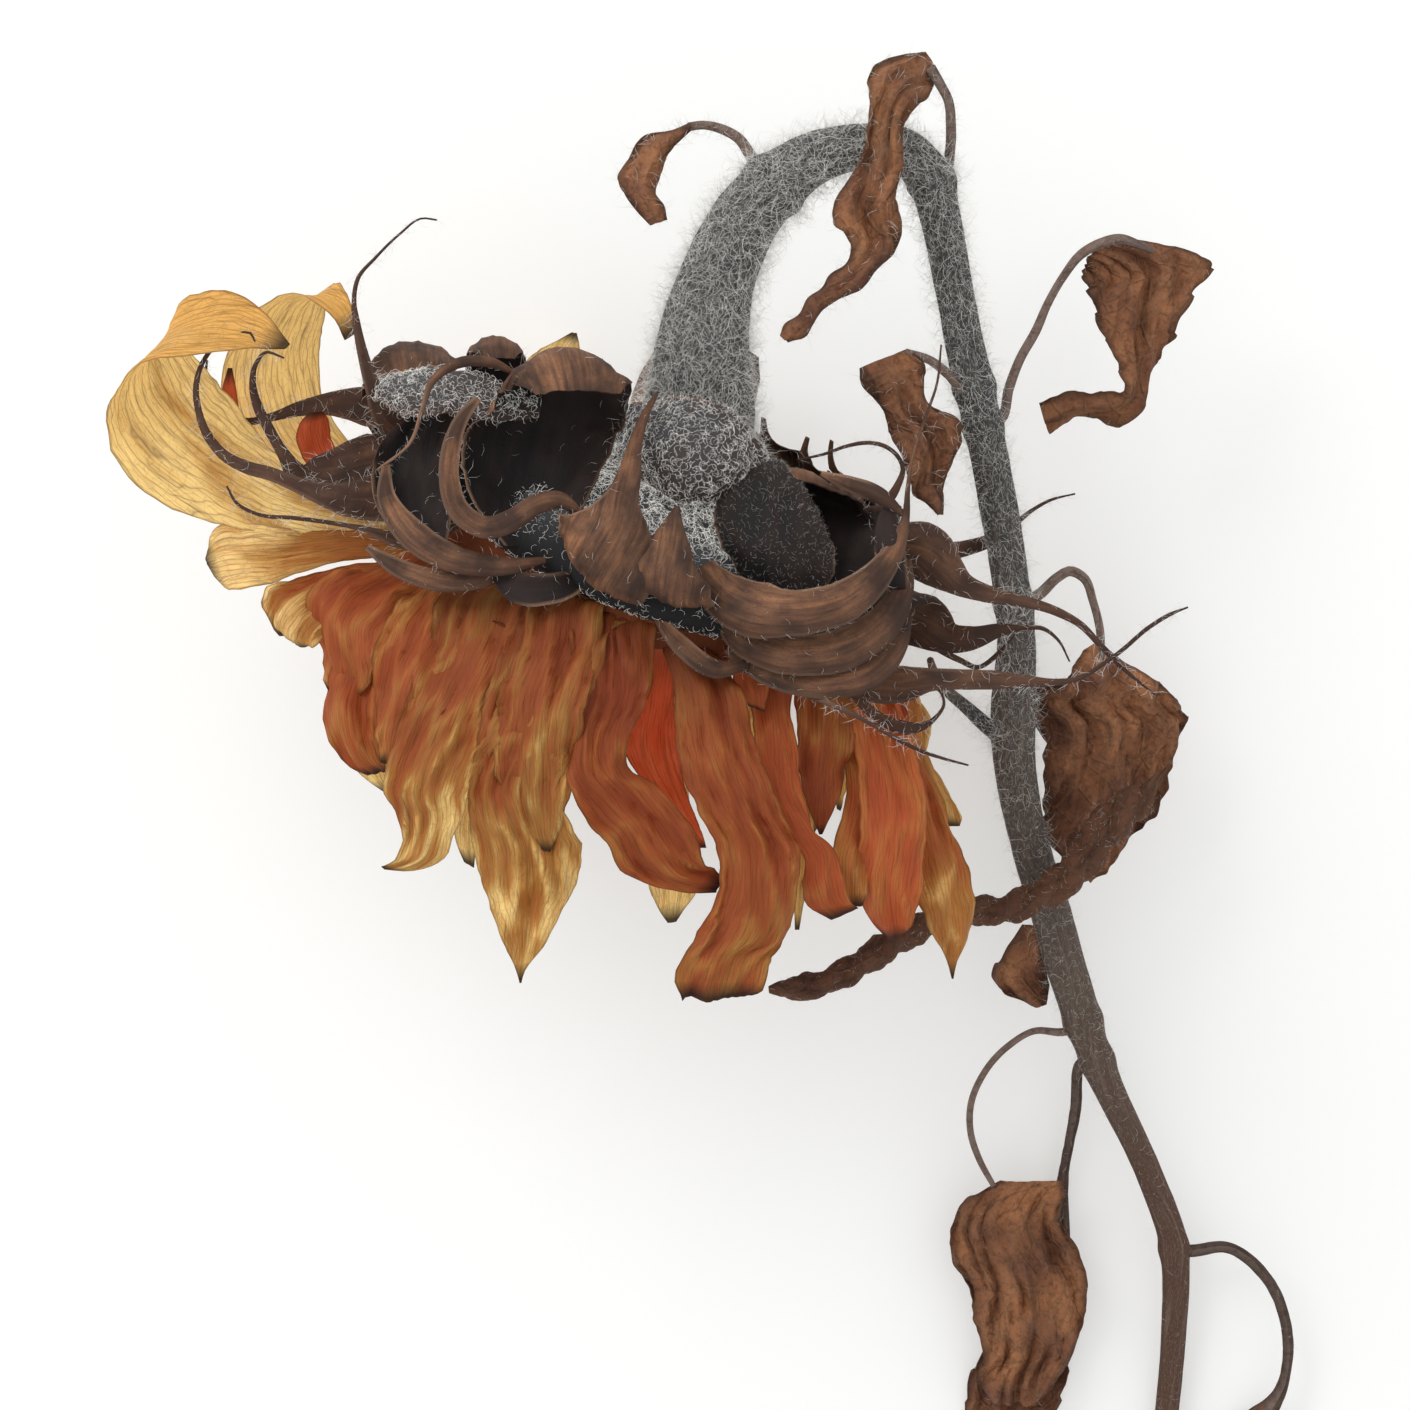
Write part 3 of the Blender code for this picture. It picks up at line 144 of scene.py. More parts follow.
# Ray florets that show: the root's angle round the head, how old and yellow the root and the tip look and
# how orange the petal is, partly a painted glow of light shining through it, then rows of one edge's x, y,
# z, the other edge's x, y, z and the cup in degrees.
SHOWN_PETALS: dict[str, tuple] = {
    "curl_outer": (184, (0.7, 1, 0), [
        (-58.8, 42, 60, -56.5, 48.8, 58, 10), (-70.5, 42.3, 62, -68.7, 51.8, 58, 10),
        (-82.2, 44.1, 64, -76.2, 58.6, 58, 8), (-92.2, 47.6, 66, -81.7, 65.5, 57, 8),
        (-99.5, 53.3, 67, -86.4, 70.6, 57, 8), (-102.5, 59.3, 68, -89.4, 74.3, 58, 10),
        (-102.1, 63.5, 71, -91.2, 77, 61, 14), (-99.9, 66.4, 75, -90.2, 79.9, 66, 18),
        (-95.4, 70.2, 79, -84.7, 81.8, 72, 20), (-86.1, 71.8, 81, -79, 81.7, 77, 18),
        (-77.7, 72.7, 82, -74.2, 77.9, 79, 14), (-72, 73.2, 82, -71.1, 74.1, 81, 5)]),
    "curl_inner": (200, (0.8, 1, 0), [
        (-63.5, 49, 50, -53.3, 52.8, 48, 8), (-75.5, 52.1, 50, -62.8, 59.4, 46, 8),
        (-82.1, 58.9, 50, -67.4, 66, 45, 10), (-84.5, 66.1, 50, -68.2, 72.1, 45, 10),
        (-83.9, 72.5, 52, -67.6, 77.5, 47, 10), (-81, 77.8, 56, -66.3, 81.4, 52, 16),
        (-77, 81.2, 61, -64.8, 83.9, 58, 22), (-70.3, 82.3, 66, -62.9, 83.5, 63, 22),
        (-64.8, 79.2, 67, -61.6, 81, 65, 15), (-62.7, 75.5, 66, -61.1, 76.6, 65, 5)]),
    "left_low": (174, (0.3, 0.9, 0.1), [
        (-53.5, 39.7, 64, -53.3, 43.9, 62, 8), (-63.3, 38.2, 64, -63.7, 43.6, 62, 12),
        (-72.8, 35.6, 64, -73.9, 43.9, 62, 16), (-77.5, 34.1, 64, -80.7, 44.6, 62, 20),
        (-81.2, 33.6, 64, -85.1, 44.3, 62, 22), (-84.3, 35.1, 63, -86.6, 41.4, 62, 20),
        (-85.9, 37.5, 62, -86.4, 39.2, 62, 5)]),
    "left_flag": (165, (0.1, 0.6, 0.1), [
        (-51.6, 33.7, 69, -53.4, 38.8, 66, 10), (-59.6, 31, 70, -63.2, 37.4, 67, 14),
        (-64, 27.9, 71, -71.5, 35.4, 68, 14), (-66.3, 24.9, 71, -76.3, 33.8, 69, 16),
        (-68, 23.6, 71, -76.5, 30.7, 69, 14), (-69.2, 23.6, 70, -72.8, 26.3, 69, 5)]),
    "left_shawl": (155, (0.1, 0.3, 0.2), [
        (-44.5, 35.3, 71, -53.4, 39.1, 66, 12), (-49.7, 32.3, 74, -61.4, 36.7, 68, 18),
        (-53.3, 29, 77, -67, 34.3, 70, 22), (-55.5, 25.5, 79, -69, 30.6, 71, 24),
        (-56.8, 21.5, 80, -67.9, 24.9, 72, 22), (-57.9, 17.8, 79, -65.9, 19.5, 73, 18),
        (-60.3, 14.8, 77, -64.1, 16.5, 74, 5)]),
    "red_left": (147, (0.1, 0.2, 0.2), [
        (-53.1, 23.5, 74, -61.6, 24.9, 72, 15), (-55.6, 17.5, 77, -65.1, 18.2, 75, 30),
        (-56, 12.8, 79, -66.2, 12.8, 77, 38), (-55.7, 7.8, 79, -64.8, 7.8, 77, 34),
        (-55.4, 4.8, 78, -62, 4.5, 76, 25), (-55.3, 3.1, 76, -58.4, 2.5, 75, 5)]),
    "gold_left": (150, (0.3, 0.8, 0), [
        (-51.6, 14, 70, -60.1, 14.8, 68, 12), (-52.9, 6.1, 71, -62.6, 6.4, 69, 15),
        (-53.9, 2.1, 71, -59.6, 1.7, 70, 12), (-54.2, -0.3, 71, -55.9, -0.6, 70, 5)]),
    "fold_left": (135, (0.1, 0.4, 0.1), [
        (-34.5, 32.5, 80, -49.7, 33.9, 76, 12), (-36.7, 26.8, 85, -55.2, 28.8, 80, 16),
        (-39.6, 21.1, 87, -56.7, 23.1, 83, 20), (-43.2, 15.2, 89, -57.3, 16.5, 85, 24),
        (-47.5, 8.5, 89, -56.9, 9.9, 86, 24), (-51.8, 3.2, 88, -55.6, 4.5, 86, 10)]),
    "flag_left": (122, (0.1, 0.6, 0), [
        (-26.1, 31.1, 85, -44.5, 33.5, 80, 10), (-28.5, 23.4, 89, -47.6, 25.1, 85, 12),
        (-31.9, 15.3, 91, -50.8, 17.3, 88, 16), (-35.5, 8.7, 92, -52.8, 10.7, 89, 20),
        (-38.5, 3.6, 92, -54.6, 4.6, 89, 22), (-40.8, -0.7, 91, -55.1, -0.1, 89, 20),
        (-41.7, -4.2, 90, -53, -5, 88, 18), (-43.9, -8, 89, -52.2, -8.8, 88, 14),
        (-45.2, -11.3, 88, -53.2, -11.3, 88, 12), (-50.5, -13.5, 88, -54.8, -12.5, 88, 8),
        (-55.1, -13.2, 88, -55.6, -12.7, 88, 0)]),
    "blade_centre": (107, (0.1, 0.7, 0), [
        (-17.1, 31.1, 85, -32.8, 31.5, 83, 10), (-18, 25.7, 90, -35.1, 26.4, 88, 12),
        (-19.3, 19.1, 92, -36.8, 20.4, 91, 14), (-21.3, 12.2, 93, -38.5, 13.8, 92, 16),
        (-23.9, 5.4, 93, -39.8, 6.6, 92, 16), (-26.6, -0, 92, -41, -0, 91, 14),
        (-24.8, -3.7, 91, -41, -4.2, 90, 10), (-22.2, -10.3, 89, -40.5, -9.7, 89, 8),
        (-23.2, -15.3, 88, -39.1, -15, 88, 8), (-26, -20.6, 87, -37.1, -20.3, 87, 10),
        (-28.7, -25.9, 87, -35.1, -25.8, 87, 12), (-31.9, -30.1, 86, -33.3, -30.1, 86, 8),
        (-32.5, -32.1, 86, -32.7, -32.1, 86, 0)]),
    "fold_centre": (98, (0.1, 0.5, 0), [
        (-18.4, 30.4, 88, -29.4, 31.4, 86, 10), (-19.6, 22.4, 93, -32.6, 23.1, 91, 16),
        (-21.3, 13.8, 95, -35.8, 14.8, 93, 20), (-22.6, 6.3, 94, -36.8, 7.4, 93, 22),
        (-24.3, -1, 93, -35.8, -0, 92, 22), (-25.9, -6.3, 91, -32.6, -5.8, 91, 15),
        (-27.6, -10.3, 90, -28.9, -10, 90, 5)]),
    "sweep_centre": (86, (0, 0.1, 0), [
        (-10.1, 27.8, 87, -24.4, 29.7, 87, 10), (-10.3, 21.4, 90, -24.3, 23.1, 91, 12),
        (-11.4, 14.5, 91, -23.9, 15.5, 92, 14), (-14.7, 8.2, 92, -25.1, 8.2, 93, 16),
        (-14.4, 3.3, 92, -24.9, 2, 93, 14), (-10.3, 1.1, 91, -21.9, -4.6, 93, 14),
        (-6.1, -3.7, 90, -18.2, -9.3, 92, 14), (-3.3, -8, 90, -15.9, -13.4, 91, 14),
        (-2.3, -12, 89, -11.4, -15.6, 90, 12), (-0.2, -13.3, 88, -4.5, -17.1, 89, 8),
        (0.8, -14.7, 87, -0.3, -17.1, 88, 0)]),
    "glow_centre": (80, (0.1, 0.5, 1), [
        (-7.2, 21.8, 80, -11.2, 22.3, 80, 10), (-7.2, 14.8, 78, -13.2, 14.8, 78, 14),
        (-6.3, 7.8, 76, -15.9, 8.5, 76, 16), (-5.5, 1.1, 75, -13.2, 2.3, 75, 16),
        (-3.5, -4.6, 75, -9.5, -2.2, 75, 14), (-2.5, -7.6, 75, -6.5, -6.6, 75, 8),
        (-1.8, -9.9, 75, -3.8, -9.9, 75, 0)]),
    "long_right": (68, (0, 0.3, 0), [
        (0.8, 22.3, 84, -8.1, 24.8, 85, 12), (3.5, 16.5, 87, -7.3, 18.1, 88, 14),
        (5.8, 10.5, 89, -6.8, 10.7, 90, 16), (8.1, 2.9, 90, -6, 3.3, 92, 18),
        (11, -4.2, 91, -3.5, -3.6, 93, 20), (13.5, -9.3, 91, -0, -9.1, 93, 24),
        (13.4, -14.9, 91, 0.8, -14.9, 93, 28), (12.9, -20.7, 90, -0.5, -20.1, 93, 28),
        (12.1, -24.9, 89, -2.8, -23.7, 94, 22), (8.4, -27.5, 89, -5, -27, 94, 14),
        (7.6, -30.8, 89, -6.8, -31.3, 93, 10), (5.1, -33.5, 88, -5.8, -34.9, 91, 5)]),
    "root_right": (60, (0.1, 0.2, 0.2), [
        (8.5, 20.8, 82, 1.5, 22.8, 84, 15), (8.5, 16.2, 84, 3.5, 17.5, 86, 20),
        (7.8, 12.8, 84, 5.1, 13.8, 86, 5)]),
    "strip_right": (52, (0.1, 0.3, 0.3), [
        (12.2, 18.5, 78, 4.7, 19, 80, 12), (12.5, 12.7, 80, 5.5, 12.3, 82, 18),
        (13.6, 6.5, 82, 6.1, 5.7, 84, 22), (14.1, -1, 84, 8.4, -1.8, 86, 24),
        (16.4, -6.7, 85, 12.1, -7.5, 87, 26), (19.4, -9.7, 85, 14.7, -11.7, 87, 26),
        (20.9, -15, 85, 14.4, -15.8, 87, 26), (22.3, -18.9, 84, 15.7, -19.7, 86, 22),
        (23.4, -19.7, 84, 19.1, -21.7, 85, 5)]),
    "pocket_right": (44, (0.1, 0.1, 0), [
        (23, 15.7, 73, 12.9, 16.5, 75, 18), (22.8, 8.5, 75, 13.2, 9, 77, 24),
        (21.6, 2.1, 75, 13.7, 2.3, 77, 26), (19.6, -2.9, 76, 15.2, -2.9, 77, 18),
        (17.6, -7.6, 76, 17.1, -7.6, 76, 0)]),
    "lobe_right": (30, (0.1, 0.3, 0.4), [
        (30.8, 16.2, 69, 20.3, 18.5, 71, 12), (32.7, 8.5, 73, 22.3, 9.8, 75, 14),
        (34, 0.6, 75, 23.4, 2.3, 77, 16), (34.9, -6.6, 77, 24.2, -4.3, 79, 18),
        (34.9, -12.2, 78, 23.5, -10.2, 80, 22), (34.5, -16.5, 79, 22.5, -14.5, 81, 28),
        (33.5, -19.9, 79, 24.2, -19.2, 80, 34), (32.6, -22.6, 78, 25.9, -22.9, 78, 30),
        (30.6, -24.6, 76, 28.3, -25, 76, 5)]),
    "lobe_fan": (34, (0.2, 0.5, 0.1), [
        (27.3, -1.1, 74, 21.6, -0.2, 74, 12), (25.9, -9.4, 78, 19.5, -9.4, 79, 18),
        (25.5, -13.1, 81, 18.8, -13.5, 82, 24), (25.1, -16.8, 82, 19.4, -17.1, 83, 24),
        (24.1, -19.4, 82, 20.8, -19.8, 82, 5)]),
    "tip_right": (15, (0.1, 0.6, 0.1), [
        (33.7, 12.8, 62, 27.5, 17.4, 66, 14), (34.4, 6.4, 65, 29.6, 9, 69, 16),
        (37.4, -1.2, 67, 31.4, -0.3, 71, 18), (40.4, -8.7, 68, 32.9, -8.6, 72, 20),
        (42.7, -15.4, 69, 33.9, -15.3, 73, 20), (43.7, -20.8, 69, 34.7, -20.7, 73, 18),
        (42.4, -25.9, 69, 36.4, -25.1, 72, 16), (40.4, -28.9, 70, 38.5, -28.8, 71, 10),
        (39.7, -32, 70, 39.5, -32, 70, 0)]),
    "edge_right": (2, (0.3, 0.6, 0), [
        (35.4, 10.8, 56, 31.8, 16.9, 58, 12), (35.8, 4.7, 58, 33.4, 8.4, 60, 14),
        (38.9, -2.1, 59, 35.2, 2.1, 61, 12), (41.6, -5.2, 59, 36.8, -2.4, 61, 8),
        (41.2, -6.5, 59, 38.7, -6.5, 60, 0)]),
    "ember_low": (190, (0.1, 0.2, 0.8), [
        (-66.2, 52.1, 60, -62.2, 54.2, 59, 10), (-70.6, 56.3, 61, -65.2, 58.9, 60, 15),
        (-71, 60.9, 62, -65.8, 62.3, 61, 15), (-68.8, 63.6, 62, -66.8, 63.7, 62, 5)]),
    "ember_inner": (196, (0.1, 0.3, 0.8), [
        (-77.4, 48.1, 54, -73.6, 48.9, 53, 10), (-81.1, 54, 55, -78.3, 54.9, 54, 12),
        (-83.4, 60.8, 56, -80.6, 61.6, 55, 12), (-84.1, 66.7, 56, -81.8, 67.3, 55, 12),
        (-83.1, 71.3, 56, -82.4, 71.3, 56, 5)]),
    "far_gold_left": (112, (0.7, 0.9, 0), [
        (-34.7, 14.5, 74, -39.7, 14.8, 74, 10), (-38.2, 2.8, 80, -43.7, 3.2, 80, 10),
        (-39.4, -4.8, 82, -43.8, -4.3, 82, 10), (-40.1, -9.8, 82, -43.3, -9, 82, 8),
        (-40.4, -13.1, 82, -42.1, -12.1, 82, 0)]),
    "far_gold_mid": (100, (0.8, 0.9, 0), [
        (-21.3, 17.9, 74, -25.4, 18.2, 74, 10), (-23.5, 8.5, 82, -28, 9, 82, 10),
        (-24.1, 0.9, 83, -27.9, 1.5, 83, 8), (-25.4, -1.8, 83, -26.4, -1.5, 83, 0)]),
    "far_gold": (88, (0.8, 0.9, 0), [
        (-6.2, 11.1, 64, -13, 11.5, 64, 10), (-4.5, -2.4, 60, -12.2, -2.1, 60, 10),
        (-2.8, -14, 58, -11.7, -13.7, 58, 10), (-3.5, -17.9, 58, -11.2, -17.9, 58, 10),
        (-5.6, -20.8, 58, -9.6, -21.1, 58, 8), (-6.9, -22.8, 58, -8.3, -23, 58, 0)]),
    "far_gold_right": (56, (0.6, 0.8, 0), [
        (15.9, -2.2, 74, 12.2, -1.9, 74, 8), (15.9, -12.2, 78, 12.4, -11.9, 78, 8),
        (14.5, -18.9, 79, 12.8, -18.5, 79, 6), (13.7, -23.5, 79, 13, -23.5, 79, 0)]),
}

# One ray floret has curled up behind the head: rows of angle, radius, level, width and cup.
RAISED_PETAL: list[Row] = [
    (238, 33, -6.0, 5.5, 5),
    (238, 42, -10.0, 9.0, 10),
    (239, 52, -8.0, 11.5, 12),
    (240, 58, 0.0, 11.0, 15),
    (241, 58, 7.5, 8.5, 15),
    (242, 57, 12.0, 1.0, 0),
]


class DarkFace(Enum):
    """Which faces of a bract take the near-black inner colour, partly its dark rough skin and partly painted
    shade of the hollows: its front and its back.
    """

    NEITHER = (0.0, 0.0)
    FRONT = (1.0, 0.0)
    BACK = (0.0, 1.0)
    BOTH = (1.0, 1.0)


# Bracts that arch like a hood: rows of x, y, z, width, turn of the across direction in the picture, and cup.
HOODED_BRACTS: dict[str, tuple] = {
    "hood_left": (DarkFace.FRONT, [
        (-30.2, 40, 86, 10, 0, -20), (-31.1, 45.6, 83, 18.7, 0, -45), (-30.2, 53.2, 79, 24.7, 0, -55),
        (-28.7, 60.7, 78, 25.3, 0, -60), (-26.8, 67.7, 82, 23.7, 0, -66), (-25.5, 71.6, 88, 22, 0, -72),
        (-24.8, 73, 93, 20.7, 0, -72), (-24, 71.3, 97, 19.7, 0, -62), (-23.3, 68.3, 99, 18, 0, -46),
        (-22.8, 65.6, 100, 14, 0, -24)]),
    "hood_far_left": (DarkFace.FRONT, [
        (-48, 40.1, 84, 6.7, 5, -20), (-50.2, 47.3, 80, 13, 5, -40), (-50.3, 54.6, 77, 13.3, 5, -45),
        (-49.3, 60.3, 76, 10, 5, -40), (-46.9, 65, 77, 4, 5, -20)]),
    "hood_right": (DarkFace.FRONT, [
        (13.8, 30.4, 84, 13.3, -14, -10), (13.8, 35.7, 80, 25, -14, -40), (14.9, 43.3, 74, 30, -14, -50),
        (15, 49.8, 70, 30, -14, -50), (14.6, 52.7, 73, 28.3, -14, -50), (14.5, 53.6, 78, 26.7, -14, -45),
        (14.8, 52.5, 81, 23.3, -14, -35), (15.1, 51.4, 82, 18.3, -14, -20)]),
    "dome_left": (DarkFace.FRONT, [
        (-53.8, 59.3, 48, 8.3, 5, -30), (-53.8, 66.1, 50, 14, 5, -45), (-52.5, 72.4, 55, 15.3, 5, -60),
        (-51.9, 75, 61, 15, 5, -70), (-51.4, 75.5, 67, 14.3, 5, -68), (-50.8, 73.2, 72, 13.3, 5, -50),
        (-50.2, 69.4, 75, 10, 5, -20)]),
    "dome_hairy": (DarkFace.FRONT, [
        (-37.2, 62.3, 60, 5, 0, -30), (-37.4, 68.1, 62, 9, 0, -40), (-37.2, 73.5, 66, 10, 0, -60),
        (-37.1, 75.6, 71, 9.3, 0, -70), (-36.8, 75.8, 75, 8.7, 0, -66), (-36.6, 73.9, 78, 7.7, 0, -45),
        (-36.2, 71.9, 79, 5, 0, -20)]),
    "dome_back_right": (DarkFace.FRONT, [
        (3.1, 45.4, 58, 6.7, 0, -30), (3.3, 50.4, 60, 11.7, 0, -40), (3.6, 53.7, 64, 13, 0, -50),
        (3.7, 55.5, 69, 12, 0, -60), (3.9, 55.6, 73, 11, 0, -50), (4, 54, 76, 9, 0, -30),
        (4.2, 52.3, 77, 6.7, 0, -10)]),
    "strip_centre": (DarkFace.BACK, [
        (-15.8, 38.7, 86, 10, -40, 20), (-20.3, 35, 92, 17.3, -44, 28), (-20.9, 35.8, 98, 19.3, -42, 34),
        (-18.7, 39.4, 101, 18.7, -34, 34), (-16.7, 43.3, 101, 13.3, -24, 32),
        (-15.6, 47.6, 99, 6.3, -16, 28), (-14.3, 52.6, 96, 3.7, -10, 20), (-13.5, 56.9, 92, 2.3, -8, 10),
        (-11.9, 62.1, 87, 1.5, -8, 0), (-10.1, 65.7, 84, 0.7, -8, 0)]),
    "lobe_centre": (DarkFace.BACK, [
        (-4.2, 37.1, 86, 8.3, -20, 20), (-8.1, 32.3, 92, 15.3, -20, 30), (-9.1, 31.9, 98, 16.3, -18, 36),
        (-8.7, 35.5, 101, 14.3, -16, 36), (-7.9, 39.7, 100, 8.3, -14, 30), (-7.3, 43.4, 98, 3.7, -12, 10),
        (-6.6, 46.4, 95, 1, -12, 0)]),
    "dome_right": (DarkFace.BOTH, [
        (11.1, 30.4, 86, 11.7, -8, 30), (10.1, 37, 91, 18, -8, 50), (9.6, 43.7, 91, 19.7, -8, 62),
        (9.1, 49.6, 87, 17.3, -8, 60), (9, 53.1, 81, 12.7, -8, 50), (9.2, 54.7, 74, 5.7, -8, 40)]),
}

# Bracts that lie as curled bands round the head: rows of x, y, z, width, turn about the line, and cup, the
# last two left out where they are 0.
BANDED_BRACTS: dict[str, tuple] = {
    "band_upper": (DarkFace.BACK, [
        (-2.5, 37, 88, 4.3, 0, 30), (0.8, 32.6, 94, 8.3, 0, 42), (5.7, 29.9, 98, 9.3, 0, 48),
        (12.8, 29.1, 99, 7.7, 0, 48), (20.5, 30.9, 96, 7, 0, 42), (26.2, 35.3, 91, 5.3, 0, 34),
        (29.6, 40, 88, 3.3, 0, 24), (31.2, 44.7, 86, 1.5), (31.7, 50, 84, 0.8), (32.6, 55.6, 82, 0.6),
        (34.7, 61.8, 80, 0.5), (36.7, 67.6, 78, 0.4), (37.5, 74.2, 76, 0.3)]),
    "band_middle": (DarkFace.BACK, [
        (-0.2, 31.1, 86, 2.7, 0, 30), (4.1, 25.4, 91, 5.7, 0, 42), (12.8, 22.2, 94, 6.7, 0, 48),
        (21.6, 23.6, 92, 7, 0, 46), (28, 28.1, 88, 6, 0, 40), (31.1, 33.8, 84, 3.3, 0, 24),
        (31.8, 38.1, 82, 1.2)]),
    "band_lower": (DarkFace.BACK, [
        (1.8, 23.5, 85, 2, 0, 30), (7.9, 19.5, 89, 4, 0, 36), (16.2, 17.5, 91, 4.7, 0, 40),
        (24.6, 18.8, 89, 5, 0, 40), (29.7, 23.5, 85, 3.7, 0, 30), (32, 29, 81, 1.2)]),
    "band_low_left": (DarkFace.BACK, [
        (-10.4, 29.4, 88, 1.3, 0, 20), (-6.5, 24.4, 92, 3, 0, 34), (-0.8, 20.1, 92, 3.3, 0, 34),
        (5.1, 20.8, 88, 1.7, 0, 10)]),
    "rim_left": (DarkFace.BACK, [
        (-55.1, 53.8, 82, 1.5, 0, 20), (-54.7, 48.3, 87, 3.3, 0, 36), (-50.4, 42.2, 91, 5, 0, 42),
        (-42.7, 37.9, 93, 4.3, 0, 42), (-34.8, 36.9, 93, 3, 0, 34), (-28.4, 37.9, 91, 1.2, 0, 10)]),
    "rim_left_low": (DarkFace.BACK, [
        (-58, 40.1, 84, 1.3, 0, 20), (-52.8, 36.7, 88, 3, 0, 36), (-44.5, 34.3, 90, 3.3, 0, 38),
        (-37.2, 35, 90, 2.3, 0, 30), (-34, 36.3, 88, 1, 0, 10)]),
    "hood_edge": (DarkFace.BACK, [
        (-39.3, 64.4, 97, 1.3, 0, 20), (-41.9, 61.2, 97, 2.2, 0, 34), (-43.6, 56.7, 97, 3, 0, 40),
        (-44.1, 51.3, 97, 3.3, 0, 42), (-42.4, 46, 97, 3.7, 0, 42), (-38.3, 43.2, 97, 3.7, 0, 42),
        (-33.7, 44.4, 97, 3.7, 0, 42), (-29.6, 47, 98, 3.3, 0, 40), (-25.8, 47.7, 97, 2.7, 0, 34),
        (-22.6, 45.7, 96, 1.2, 0, 10)]),
    "cup_low": (DarkFace.FRONT, [
        (-21, 35.7, 88, 2.3, 0, -20), (-26.6, 33.3, 92, 5, 0, -34), (-32.5, 33.3, 92, 5.3, 0, -34),
        (-35.9, 36, 90, 3, 0, -24), (-37.6, 38.7, 88, 0.8)]),
    "arch_left": (DarkFace.BACK, [
        (-56.5, 53.2, 80, 0.5), (-50.5, 57.9, 88, 0.6), (-48.4, 63.5, 92, 0.8, 0, 10),
        (-47, 67.3, 93, 1.2, 0, 20), (-43.2, 70.2, 93, 1.7, 0, 24), (-37.5, 70.6, 92, 1.7, 0, 24),
        (-33.2, 68.7, 90, 0.7)]),
    "wool_ridge": (DarkFace.BOTH, [
        (-56.6, 69.3, 70, 5, -30, 20), (-52.9, 67.6, 78, 8.7, -30, 30), (-47.7, 66.7, 84, 9.7, -30, 30),
        (-41.8, 65.9, 86, 9, -30, 30), (-36, 64.6, 86, 7.3, -30, 30), (-29.4, 63.3, 84, 3.3, -30, 10)]),
    "wool_mound": (DarkFace.BOTH, [
        (-17.6, 58.5, 70, 6.7, -10, 20), (-12.8, 58.8, 82, 14, -10, 40), (-6.8, 57.9, 88, 17.3, -10, 50),
        (-0.8, 55.9, 88, 17.3, -10, 50), (4.7, 53.1, 82, 12.7, -10, 40), (7.9, 50.7, 72, 5, -10, 20)]),
    "brow_right": (DarkFace.BACK, [
        (17.5, 52.5, 80, 1, 0, 10), (22.1, 50.7, 83, 2.7, 0, 30), (27, 48.7, 85, 2.7, 0, 30),
        (30.9, 45.7, 85, 1)]),
    "ear_right": (DarkFace.BOTH, [
        (31.3, 29.8, 80, 1.7, 0, 20), (29.7, 34.7, 86, 4, 0, 40), (28.6, 39.3, 88, 5, 0, 44),
        (28.3, 44, 86, 3.7, 0, 40), (29.1, 48.1, 82, 1.3, 0, 10)]),
}

